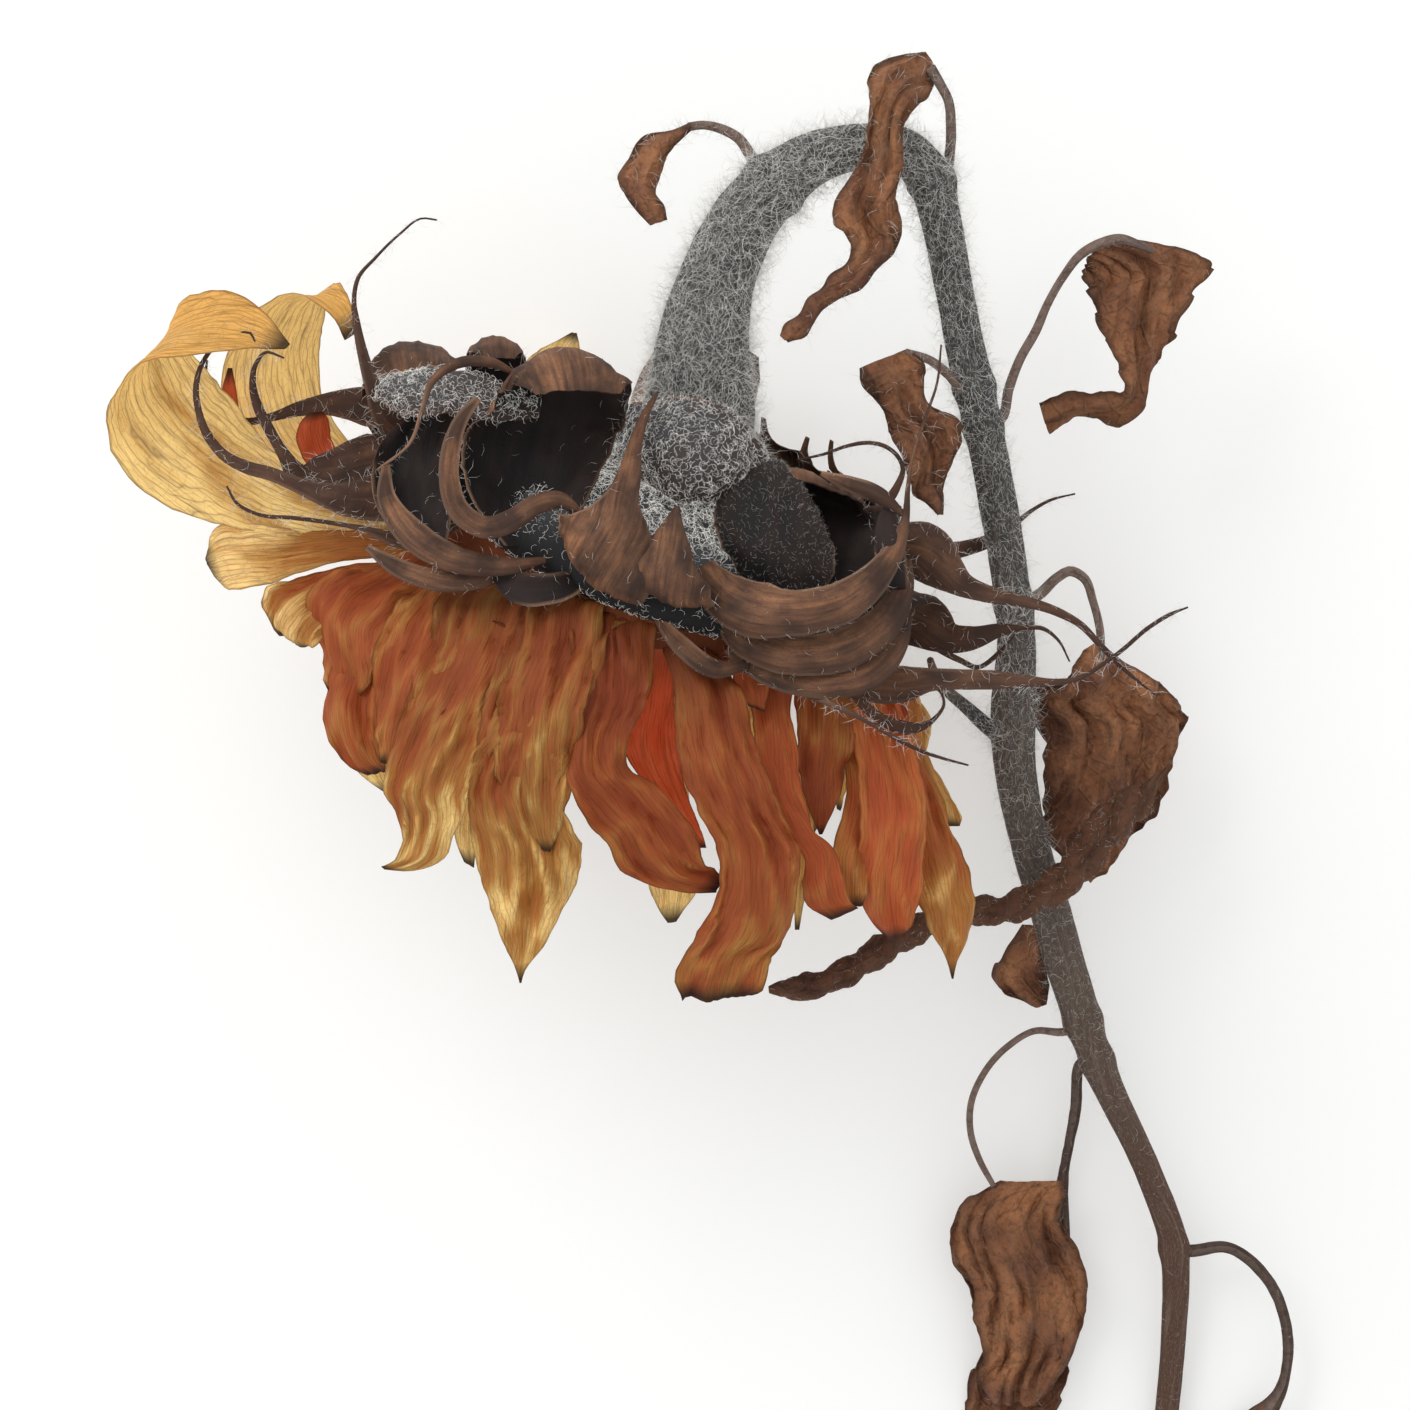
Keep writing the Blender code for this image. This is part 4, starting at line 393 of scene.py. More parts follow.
# Bracts with long tails: the root's angle round the head, its turn, then rows as for the bands.
TAILED_BRACTS: dict[str, tuple] = {
    "spike_left": (168, 45, [
        (-56.2, 63.2, 72, 4, 0, 10), (-57.6, 67.1, 74, 2.8, 0, 10), (-58.9, 71.4, 75, 2, 0, 5),
        (-60.2, 77.5, 76, 1.3), (-60.7, 81.7, 76, 0.8), (-60, 85.4, 76, 0.7), (-57.2, 88.7, 76, 0.5),
        (-53, 92.8, 76, 0.4), (-49.3, 95.4, 76, 0.3), (-46.8, 95.1, 76, 0.2)]),
    "loop_left": (186, 60, [
        (-62.1, 65.3, 54, 6.7, 30, 10), (-65.9, 65.3, 54, 4.3, 20, 10), (-71.4, 64.4, 53, 2.5, 10),
        (-75.9, 63.1, 52, 1.5), (-80.6, 62.4, 52, 1.2), (-84.2, 63.8, 52, 1), (-86.4, 66.1, 53, 0.8),
        (-87.1, 69.3, 54, 0.7), (-86.7, 72.7, 55, 0.3)]),
    "hook_left": (176, 50, [
        (-58.3, 54.8, 70, 9.7, 20, 12), (-64.9, 52.8, 72, 7.7, 10, 14), (-69.9, 52.4, 73, 4.3, 0, 10),
        (-72.5, 55.9, 74, 2.2), (-75.1, 60.4, 75, 1.8), (-76.7, 63.7, 76, 1.7), (-77.5, 67.3, 78, 1.2),
        (-77, 70.5, 80, 0.8), (-75, 72.7, 82, 0.5), (-72, 71.7, 83, 0.3)]),
    "arc_left": (158, 30, [
        (-54.3, 48.9, 76, 8.7, 10, 12), (-62.9, 48.6, 78, 5.3, 0, 12), (-69.6, 50.6, 78, 2.7),
        (-74.6, 52.6, 78, 2.3), (-78.3, 53.6, 78, 2.2), (-82.3, 55.7, 78, 1.8), (-85.1, 59.1, 78, 1.5),
        (-86.5, 62.9, 78, 1.2), (-87, 66.9, 78, 1), (-86, 70.9, 78, 0.8), (-84, 73.8, 78, 0.7),
        (-80.7, 75.7, 79, 0.5), (-77.8, 76, 80, 0.4), (-76.8, 74.1, 81, 0.2)]),
    "thread_left": (150, 20, [
        (-52.9, 41.5, 78, 2.7, 0, 10), (-59.5, 43.5, 79, 1), (-65.3, 44.5, 80, 0.7),
        (-70.8, 45.2, 80, 0.7), (-76.2, 45.7, 80, 0.6), (-80.2, 47.8, 80, 0.5), (-81.7, 50.5, 80, 0.3)]),
    "reach_right": (6, -40, [
        (30.8, 40.4, 70, 10, -20, 20), (34.4, 39.7, 72, 10.3, 0, 22), (38.1, 36.6, 73, 7.3, 0, 20),
        (41, 34.3, 74, 4.3, 0, 10), (45.4, 32.6, 75, 3, 0, 5), (51.1, 31.4, 75, 2), (56.9, 29.6, 76, 1.5),
        (60.7, 27.5, 76, 1.2), (64.3, 23.7, 77, 1), (68.2, 19.8, 77, 0.7), (73.2, 15.7, 77, 0.2)]),
    "bend_right": (352, -55, [
        (31.8, 29.7, 62, 10.3, -20, 18), (36, 27.3, 64, 8.7, 0, 20), (39.3, 25.3, 65, 5.3, 0, 10),
        (43, 25.3, 66, 4, 0, 5), (47.6, 26.6, 66, 2.3), (51.4, 27, 66, 1), (55.2, 26.8, 66, 0.7),
        (57.5, 25, 66, 0.5), (59.5, 21.3, 66, 0.2)]),
    "long_tail_right": (18, -30, [
        (25.9, 17.8, 76, 6.7, -10, 14), (31.4, 17.5, 78, 6, 0, 14), (35.5, 18.2, 79, 4, 0, 8),
        (39.4, 18.3, 79, 3.5, 0, 5), (45.2, 18.2, 79, 3.3, 0, 5), (50.9, 18, 79, 2.2),
        (56.7, 17.8, 79, 1.2), (60.6, 18.5, 79, 0.8), (64.2, 20.7, 79, 0.7), (67.4, 23, 79, 0.7),
        (71.8, 26.8, 80, 0.7), (75.7, 29.2, 80, 0.6), (78.5, 30.3, 80, 0.2)]),
    "far_right": (340, -40, [
        (34.1, 40.3, 44, 4.3, 0, 8), (38.4, 40.3, 42, 3.3, 0, 8), (42.8, 41, 40, 2.7, 0, 5),
        (47.1, 42.4, 39, 2.2), (50.6, 44.5, 39, 1.3), (54, 47.3, 39, 0.7), (57.5, 49.3, 39, 0.5),
        (61.8, 50.4, 39, 0.2)]),
    "curl_right": (330, -40, [
        (28.2, 47.6, 70, 2), (30.2, 50.6, 72, 1.3), (31.2, 53.8, 72, 0.8), (30.2, 55.9, 72, 0.7),
        (28, 57.5, 72, 0.7), (25.3, 58, 72, 0.7), (22, 57.5, 72, 0.6), (18, 56.1, 72, 0.5),
        (13.4, 55.1, 72, 0.2)]),
    "thorn_right": (350, -50, [
        (41.1, 21.6, 62, 1), (44.3, 20.4, 60, 0.8), (47.8, 22.8, 60, 0.8), (50.5, 26, 60, 0.3)]),
    "hook_low_right": (24, -20, [
        (25.9, 12.8, 76, 1.7, 0, 10), (28.7, 11, 77, 2, 0, 14), (31.4, 10.2, 78, 2.3, 0, 14),
        (33.9, 10.3, 78, 1.5, 0, 5), (36.6, 12, 78, 0.7), (37.9, 14.2, 78, 0.5), (37.4, 16, 78, 0.4),
        (36.2, 17, 78, 0.2)]),
    "thread_right": (48, 0, [
        (13.7, 16.5, 88, 1.7), (18, 14.5, 90, 1), (22, 12.7, 90, 0.8), (25.8, 10.7, 89, 0.7),
        (29.6, 8.5, 88, 0.7), (33.5, 6.5, 87, 0.6), (37.3, 5.2, 86, 0.5), (41.7, 4, 85, 0.3)]),
}

# Withered leaves: depth of teeth, whether hairy, the stalk's x, y, z, diameter, then rows of both edges.
LEAVES: dict[str, tuple] = {
    "leaf_hook": (0.0, True, [
        (38.6, 103.5, 57, 1.8), (39.6, 108.2, 58, 1.8), (39.7, 112.4, 59, 1.8), (39.2, 116.5, 60, 1.7),
        (37.8, 119.1, 61, 1.8), (36.1, 121.8, 62, 2)], [
        (37, 120.7, 59, 35.4, 124.6, 61, 10), (35.7, 116.7, 62, 30.9, 123.7, 65, 20),
        (33.4, 114.7, 66, 26.8, 121.6, 68, 20), (31.7, 112.1, 68, 25.9, 117.4, 69, 15),
        (31, 108.7, 69, 25.2, 112.3, 70, 18), (31.1, 104.6, 70, 24.2, 106.4, 71, 20),
        (30.2, 100.8, 71, 22.3, 102.4, 72, 20), (30, 97.9, 72, 19.8, 98.7, 73, 22),
        (30.9, 93.8, 73, 19.6, 94.6, 74, 25), (29.8, 89.9, 74, 22.3, 91.3, 75, 25),
        (26.5, 86.6, 75, 21.6, 87.8, 75, 30), (24.1, 83.6, 75, 18.9, 86, 75, 30),
        (20.3, 81.8, 75, 17.4, 83.6, 75, 30), (17.4, 79.8, 75, 15.2, 82.1, 75, 30),
        (15.9, 77.4, 75, 13.7, 79.3, 75, 30), (14.4, 75.4, 75, 11.2, 77.6, 75, 30),
        (11.9, 74.8, 75, 10.6, 75.9, 75, 5)]),
    "leaf_neck": (0.0, True, [
        (6, 106.5, 62, 2), (3.6, 109.9, 62, 1.8), (0.9, 111.4, 62, 1.7), (-2.2, 112.1, 62, 1.5),
        (-4.9, 111.8, 62, 1.5)], [
        (-4.2, 111.3, 62, -4.5, 112.6, 62, 5), (-6.6, 109.1, 62, -7.6, 111.3, 62, 15),
        (-7.9, 107.6, 63, -12.3, 110.2, 63, 20), (-8.9, 105.4, 64, -14.8, 106.4, 64, 24),
        (-9.8, 102.3, 65, -16.7, 103.1, 65, 26), (-10.3, 100.2, 66, -15.3, 99.8, 66, 24),
        (-8.9, 98.1, 66, -13.3, 97, 66, 20), (-8.4, 95.8, 66, -11.3, 94.9, 66, 5)]),
    "leaf_upper": (0.08, False, [
        (48.6, 62.8, 46, 1.8), (50.1, 68.3, 46, 1.8), (52, 73.3, 46, 1.7), (54.7, 78.1, 46, 1.7),
        (56.8, 82.9, 46, 1.5), (59.4, 87.4, 46, 1.5), (62.3, 91.1, 46, 1.7), (65.9, 93.2, 45, 1.8),
        (69.2, 94, 44, 1.8), (72.7, 93, 43, 1.5), (76.6, 91.6, 41, 1)], [
        (70, 94.4, 43, 64.8, 92.1, 44, 5), (78.9, 92.9, 40, 63.2, 90, 44, 8),
        (85.9, 90.5, 36, 62.6, 87.4, 43, 8), (83.2, 86.7, 36, 63.9, 84.3, 42, 8),
        (80.1, 82.1, 36, 65.3, 81.1, 41, 10), (77.9, 77.5, 35, 66.4, 77.6, 40, 10),
        (76.2, 73.4, 34, 68, 74, 39, 12), (74.8, 69.6, 34, 69.2, 70.9, 38, 12),
        (73.2, 66, 33, 69.8, 68.7, 37, 14), (69.9, 63.6, 32, 68, 67.7, 36, 16),
        (65.5, 64.3, 31, 64.6, 67.3, 35, 16), (62.1, 64.3, 30, 61.5, 67, 34, 16),
        (60, 62.3, 29, 58.2, 66.8, 34, 16), (57.9, 61.1, 29, 55.8, 66.3, 33, 8)]),
    "leaf_middle": (0.0, True, [
        (42.9, 67.5, 50, 2), (39.4, 70.4, 53, 1.7), (35.5, 72.9, 57, 1.5), (32.1, 73.9, 58, 1.3)], [
        (32.1, 74.3, 58, 24.3, 71.2, 58, 15), (34.7, 72.6, 58, 24.6, 68.5, 58, 18),
        (34.9, 68.2, 57, 27.4, 65.4, 58, 18), (35.7, 65.1, 57, 29.1, 62.4, 58, 16),
        (40.5, 62.6, 56, 29.9, 59.3, 58, 16), (41.5, 59.7, 56, 31.5, 55.6, 57, 18),
        (39.8, 55.1, 56, 32.7, 52.2, 57, 20), (38.5, 52.4, 56, 33.3, 49.8, 57, 20),
        (38.6, 48.9, 56, 35.6, 48.3, 56, 15), (38.5, 46.3, 56, 37.3, 46.6, 56, 5)]),
    "leaf_broad": (0.06, False, [
        (51, 31.1, 38, 2.2), (55.9, 33.2, 35, 2), (58.9, 36, 34, 1.8), (61.2, 37.2, 33, 1.8),
        (63.7, 36, 32, 1.7), (65.3, 32, 31, 1.5), (66.6, 26.8, 30, 1.5), (66.7, 20.1, 28, 1.2),
        (67.3, 11.4, 24, 0.8), (67.8, 0.9, 21, 0.7)], [
        (66.6, 25.1, 29, 63.7, 23.5, 31, 5), (70.6, 21.7, 27, 62, 20.8, 31, 10),
        (76, 18.9, 24, 58.9, 17.6, 31, 10), (80.6, 14.9, 22, 51.3, 15, 31, 12),
        (82.5, 11.2, 20, 56.2, 10, 29, 12), (80, 5.6, 19, 57.3, 5.3, 27, 12),
        (77.8, -2, 18, 57.6, -0.8, 25, 14), (74.3, -7.8, 17, 57.2, -6.4, 23, 16),
        (69.5, -13.6, 16, 58.6, -10.6, 22, 18), (65.2, -17.1, 16, 62.6, -14.5, 20, 5)]),
    "leaf_node": (0.12, False, [
], [
        (56.9, -25, 22, 53.4, -24.4, 22, 10), (57.3, -29.8, 20, 50, -29.6, 19, 15),
        (57.8, -33.3, 18, 48.3, -33.7, 17, 15), (58.2, -36, 17, 51.2, -36.6, 16, 15),
        (57.9, -38.5, 16, 55.4, -38.8, 16, 5)]),
    "leaf_low": (0.0, False, [
        (60.9, -43.3, 18, 1.5), (55.7, -43.2, 17, 1.2), (51.2, -45.9, 16, 1.2), (47.2, -50.5, 14, 1.2),
        (44.8, -56.2, 13, 1.2), (44.8, -61.4, 12, 1.2), (46.3, -66, 11, 1.2), (48.9, -70.8, 11, 1)], [
        (61.3, -69.9, 11, 50, -69.9, 11, 10), (61.3, -73.3, 10, 43.7, -74, 10, 22),
        (60.8, -77.5, 10, 41.6, -79, 9, 26), (64.2, -82.9, 9, 42, -84.3, 9, 26),
        (65.6, -88.7, 9, 44.8, -89.9, 8, 26), (65, -95, 8, 45.9, -95.5, 8, 26),
        (62.7, -101.5, 7, 47, -101.1, 7, 24), (59.2, -106.4, 7, 46.4, -106.2, 7, 18),
        (56.6, -109, 6, 48.8, -109.3, 6, 5)]),
}

# The two lowest leaves, partly out of the picture: rows of x, y, z, width and cup from the stem on.
LOW_LEAVES: dict[str, list[Row]] = {
    "leaf_foot": [
        (64.2, -49.3, 10.2, 1.9, 0), (63.6, -57, 6.5, 1.9, 0), (61.5, -70, 2.4, 1.9, 0),
        (60.5, -82, 0.4, 5, 0), (57, -98, 0, 13.5, 0), (52, -110, 0, 16.5, 0), (49.5, -117.5, 0, 10, 0),
        (48, -123, 0, 2, 0)],
    "leaf_loop": [
        (84.2, -82.4, 8.2, 2.2, 0), (90, -81.8, 8.6, 1.9, 0), (97, -87, 8, 1.9, 0),
        (101, -97.5, 6.6, 1.9, 0), (99.8, -107.5, 5, 2.2, 0), (95, -114, 3.6, 6, 20),
        (90.5, -119.5, 2.6, 8.5, 30), (87, -124, 2, 2.4, 20)],
}

# The broad leaf's long tip has rolled up and twisted like a rope: x, y, z, diameter.
ROLLED_TIP: list[Row] = [
    (78.0, 3.0, 33.0, 3.4),
    (72.0, -3.2, 32.8, 5.2),
    (66.0, -8.5, 32.5, 6.3),
    (62.0, -14.5, 32.5, 6.0),
    (57.0, -18.5, 32.8, 5.4),
    (50.0, -21.3, 33.5, 4.8),
    (44.0, -21.8, 34.5, 4.6),
    (38.5, -22.8, 35.5, 4.6),
    (33.0, -25.5, 36.5, 4.6),
    (28.0, -28.5, 37.5, 4.6),
    (22.5, -32.0, 38.5, 4.4),
    (16.5, -34.3, 39.5, 4.2),
    (9.0, -35.0, 40.5, 3.2),
]


def linear(code: str) -> Colour:
    """Turn an sRGB hex colour to the linear values that a shader takes.

    Args:
        code: Six hex digits, red first.

    Returns:
        Red, green, blue and an alpha of 1.
    """
    parts = [int(code[start:start + 2], 16) / 255 for start in (0, 2, 4)]
    red, green, blue = (part / 12.92 if part <= 0.04045 else ((part + 0.055) / 1.055) ** 2.4
                        for part in parts)
    return red, green, blue, 1.0


def add_node(tree: bpy.types.NodeTree, kind: str, feeds: dict | tuple = (), out: int | str | None = 0,
             **settings: object) -> Socket | None:
    """Add one node to a tree, set it and join its inputs.

    Args:
        tree: The tree that takes the node.
        kind: Blender's name for the node type.
        feeds: What the inputs get, in order or by name or number: a value, or an output socket to join.
        out: The output to give back, by number or name, or None for a node without one.
        settings: The node's own properties.

    Returns:
        The chosen output of the new node.
    """
    node = tree.nodes.new(kind)
    for name, value in settings.items():
        setattr(node, name, value)
    for key, value in (feeds.items() if isinstance(feeds, dict) else enumerate(feeds)):
        if isinstance(value, Socket):
            tree.links.new(value, node.inputs[key])
        else:
            node.inputs[key].default_value = value
    return None if out is None else node.outputs[out]


def unit(vectors: np.ndarray) -> np.ndarray:
    """Scale vectors to length 1."""
    return vectors / np.maximum(np.linalg.norm(vectors, axis=-1, keepdims=True), 1e-9)


def head_point(angle: float, radius: float, level: float) -> np.ndarray:
    """Find a place on the head.

    Args:
        angle: Degrees round the head's axis.
        radius: Distance from the axis.
        level: Height along the axis towards the stem.

    Returns:
        The place.
    """
    turn = math.radians(angle)
    outward = HEAD_SIDE * math.cos(turn) + HEAD_FRONT * math.sin(turn)
    return HEAD_CENTRE + outward * radius + HEAD_AXIS * level


def head_rings(places: list[tuple[float, float]], sides: int) -> tuple[np.ndarray, np.ndarray]:
    """Turn an outline round the head's axis.

    Args:
        places: The outline's radii and levels.
        sides: The number of points round the axis.

    Returns:
        The points by ring and place round it, and the angles of those places in degrees.
    """
    turns = np.linspace(0, 360, sides, endpoint=False)
    return np.array([[head_point(turn, radius, level) for turn in turns] for radius, level in places]), turns


def head_across(angles: np.ndarray) -> np.ndarray:
    """Give the direction that runs round the head at each angle in degrees."""
    turns = np.radians(angles)[:, None]
    return HEAD_FRONT * np.cos(turns) - HEAD_SIDE * np.sin(turns)


def smooth(knots: list[Row], count: int) -> np.ndarray:
    """Read rows off a smooth curve through knots, evenly spaced along its length.

    Args:
        knots: Rows whose first three values are a place.
        count: The number of steps.

    Returns:
        An array of count + 1 rows.
    """
    rows = np.array(knots, dtype=float)
    gaps = np.linalg.norm(np.diff(rows[:, :3], axis=0), axis=1)
    reach = np.concatenate(([0.0], np.cumsum(gaps)))
    slopes = np.gradient(rows, reach, axis=0)
    wanted = np.linspace(0.0, reach[-1], count + 1)
    span = np.clip(np.searchsorted(reach, wanted, side="right") - 1, 0, len(reach) - 2)
    step = (reach[span + 1] - reach[span])[:, None]
    t = (wanted - reach[span])[:, None] / step
    start = (2 * t**3 - 3 * t**2 + 1) * rows[span] + (t**3 - 2 * t**2 + t) * step * slopes[span]
    end = (3 * t**2 - 2 * t**3) * rows[span + 1] + (t**3 - t**2) * step * slopes[span + 1]
    return start + end


def unevenness(places: np.ndarray, size: float, seed: float) -> np.ndarray:
    """Read smooth noise at places.

    Args:
        places: An array of places whose last axis is x, y, z.
        size: The size of the noise's lumps.
        seed: Shifts the noise, so that pieces differ.

    Returns:
        Values from about -1 to 1, one for each place.
    """
    flat = places.reshape(-1, 3) / size + seed * 7.31
    return np.array([noise.noise(place) for place in flat.tolist()]).reshape(places.shape[:-1])


def round_places(turns: np.ndarray, share: np.ndarray, length: float) -> np.ndarray:
    """Give places on a long drum, so that noise read there closes round a tube.

    Args:
        turns: Angles round the tube.
        share: Shares of its length.
        length: The drum's length, in radii.

    Returns:
        A place for each share and angle.
    """
    blank = 0 * turns * share
    return np.stack((np.cos(turns) + blank, np.sin(turns) + blank, share * length + blank), axis=2)


@dataclass(frozen=True)
class Relief:
    """How a thin dry blade is creased: heights and sizes in mm, and shares of its half-width."""

    ruffle: float = 1.1
    frill: float = 0.55
    frill_size: float = 2.6
    folds: float = 1.25
    fold_width: float = 3.4
    fold_length: float = 14.0
    # On petals the fold crests turn paler, a painted highlight on the ridges.
    crest_colour_shift: float = 0.3
    pleats: float = 2.0
    pleat_height: float = 0.35
    crumple: float = 0.9
    crumple_size: float = 7.0
    fray: float = 0.08
    midrib: float = 0.0
    side_veins: float = 0.0
    teeth: float = 0.0
    tooth_length: float = 5.0


@dataclass
class Blade:
    """One thin blade: a petal, bract or leaf along its own line.

    line holds rows of x, y, z, width and cup, across the sideways direction of each row, and tint how far
    the blade's colour leans to its older colours at its root and at its tip, and how orange it is, partly as
    a painted glow of light shining through it.
    """

    line: np.ndarray
    across: np.ndarray
    cells: int
    thickness: float
    relief: Relief
    seed: float
    tint: tuple[float, float, float] = (0.0, 0.0, 0.0)
    stalk: float = 0.0
    dark: DarkFace = DarkFace.BACK

    def lift(self, u: np.ndarray, v: np.ndarray, along: np.ndarray, half: np.ndarray,
             full: np.ndarray) -> tuple[np.ndarray, np.ndarray]:
        """Work out how far the creases raise each place of the blade.

        Args:
            u: Place across the blade, from -1 to 1.
            v: Place along the blade, from 0 to 1.
            along: Place along the blade in mm.
            half: Half the blade's width by row.
            full: How much of the creases' height each row takes, less where it is narrow.

        Returns:
            The height and the sharpness of the fold crests, from 0 to 1, by row and column.
        """
        relief = self.relief
        blank = 0 * u * v
        # Folds with sharp crests run along the blade, with smaller ones between them.
        wide, high = u * half / relief.fold_width, along / relief.fold_length
        flat = np.stack((wide + blank, high + blank, blank), axis=2)
        crest = 1 - 2.4 * np.abs(unevenness(flat, 1.0, self.seed))
        small = 1 - 2.4 * np.abs(unevenness(flat * 2.3, 1.0, self.seed + 3))
        lift = relief.folds * full * (crest + 0.35 * small)
        # The outer half of each side ruffles in waves and frills in small curls.
        edge = np.clip(np.abs(u) - 0.45, 0.0, None) / 0.55
        lift = lift + relief.ruffle * full * edge * np.sin(
            2 * np.pi * RUFFLE_WAVES * v + self.seed + 1.9 * (u > 0) + 0.8 * np.sin(9 * v + self.seed))
        wide, high = np.sign(u) * 9 + 1.2 * np.abs(u), along / relief.frill_size
        frill = np.stack((wide + blank, high + blank, blank), axis=2)
        lift = lift + 2 * relief.frill * full * edge**2 * unevenness(frill, 1.0, self.seed + 6)
        # Pleats wander along the whole blade, and side veins leave its midrib.
        drift = 1.2 * np.sin(0.11 * along + self.seed) + 0.5 * np.sin(0.27 * along + 2 * self.seed)
        lift = lift + relief.pleat_height * full * np.sin(np.pi * relief.pleats * u + drift)
        lift = lift - relief.midrib * np.exp(-(u * half / 0.7) ** 2)
        vein = np.abs(np.sin(0.42 * (along - 1.1 * np.abs(u) * half) + self.seed))
        lift = lift + relief.side_veins * full * (vein - 0.5)
        return lift * np.minimum(1.0, 0.15 + 5 * v), np.clip(crest, 0.0, 1.0) ** 2

    def outline(self, along: np.ndarray, half: np.ndarray) -> np.ndarray:
        """Give the shares of its half-width that the blade's two edges reach, frayed and toothed.

        Args:
            along: Place along the blade in mm.
            half: Half the blade's width by row.

        Returns:
            One share for each row and edge.
        """
        relief = self.relief
        sides = np.zeros((len(along), 2, 3))
        sides[:, :, 0] = along
        sides[:, :, 1] = np.array((10.0, 60.0))
        wander = unevenness(sides, 6.0, self.seed) + 0.6 * unevenness(sides, 1.7, self.seed)
        teeth = (along + np.array((0.0, 0.6 * relief.tooth_length)) + 1.6 * wander) / relief.tooth_length
        depth = 0.5 + 0.5 * np.sin(37.7 * np.floor(teeth) + self.seed)
        notch = relief.teeth * (teeth % 1.0) ** 1.5 * depth * (half > 1.6)
        return 1 + relief.fray * np.minimum(1.0, half / 2) * wander - notch

    def surfaces(self) -> tuple[np.ndarray, np.ndarray, dict[str, np.ndarray]]:
        """Work out the two faces of the blade.

        Returns:
            The front grid, the back grid and the values that the finishes read, all by row and column.
        """
        centres, widths, cups = self.line[:, :3], self.line[:, 3], self.line[:, 4]
        relief = self.relief
        ways = unit(np.gradient(centres, axis=0))
        side = unit(self.across)
        outward = unit(np.cross(side, ways))
        u = np.linspace(-1.0, 1.0, self.cells + 1)[None, :]
        v = np.linspace(0.0, 1.0, len(centres))[:, None]
        along = v * np.sum(np.linalg.norm(np.diff(centres, axis=0), axis=1))
        half = np.maximum(widths, BLADE_TIP)[:, None] / 2
        full = np.minimum(1.0, half / RUFFLE_FULL)
        lift, crest = self.lift(u, v, along, half, full)
        cup = np.radians(np.maximum(np.abs(cups), 2.0))[:, None]
        bend = np.where(cups < 0, -1.0, 1.0)[:, None]
        edges = self.outline(along, half)
        stretch = np.where(u < 0, edges[:, :1], edges[:, 1:])
        sag = half * (1 - np.cos(cup * u)) / np.sin(cup) * bend
        reach = half * np.sin(cup * u) / np.sin(cup) * stretch
        middle = centres[:, None] + side[:, None] * reach[:, :, None]
        middle = middle + outward[:, None] * (lift - sag)[:, :, None]
        # Crumples are deepest at the edges, and none show at the root.
        loose = (0.35 + 0.65 * np.abs(u)) * full * np.minimum(1.0, v * 6)
        crumple = unevenness(middle, relief.crumple_size, self.seed) * relief.crumple
        fine = unevenness(middle, relief.crumple_size / 3.2, self.seed + 5)
        crumple = crumple + fine * relief.crumple * 0.3
        middle = middle + outward[:, None] * (crumple * loose)[:, :, None]
        middle[:, :, 2] = np.maximum(middle[:, :, 2], self.thickness / 2 + FLOOR_GAP)
        normals = unit(np.cross(np.gradient(middle, axis=1), np.gradient(middle, axis=0)))
        # Where the blade narrows to its stalk, it thickens to the stalk's round form.
        narrow = np.clip(1.3 - widths / max(3 * self.stalk, 1e-6), 0.0, 1.0)[:, None]
        depth = self.thickness * (1 - 0.5 * np.abs(u) ** 6) + narrow * (1 - u**2) * max(
            0.0, self.stalk - self.thickness)
        depth = np.minimum(depth, 2.2 * half)[:, :, None] / 2
        front, back = middle + normals * depth, middle - normals * depth
        for face in (front, back):
            face[:, :, 2] = np.maximum(face[:, :, 2], FLOOR_GAP)
        blank = np.zeros(u.shape) * v
        root_age, tip_age, flush = self.tint
        # Fold crests shift the colour; on petals they turn paler, a painted highlight on the ridges.
        age = root_age + (tip_age - root_age) * v**1.3 + relief.crest_colour_shift * crest * full
        age = age + 0.14 * np.abs(u)**5
        values = {
            "across": u + blank,
            "along": v + blank,
            "age": np.clip(age, 0.0, 1.0) + blank,
            "flush": flush + blank,
            "across_mm": u * half + blank,
            "along_mm": along + blank,
            "rim_mm": (1 - np.abs(u)) * half + blank,
        }
        return front, back, values


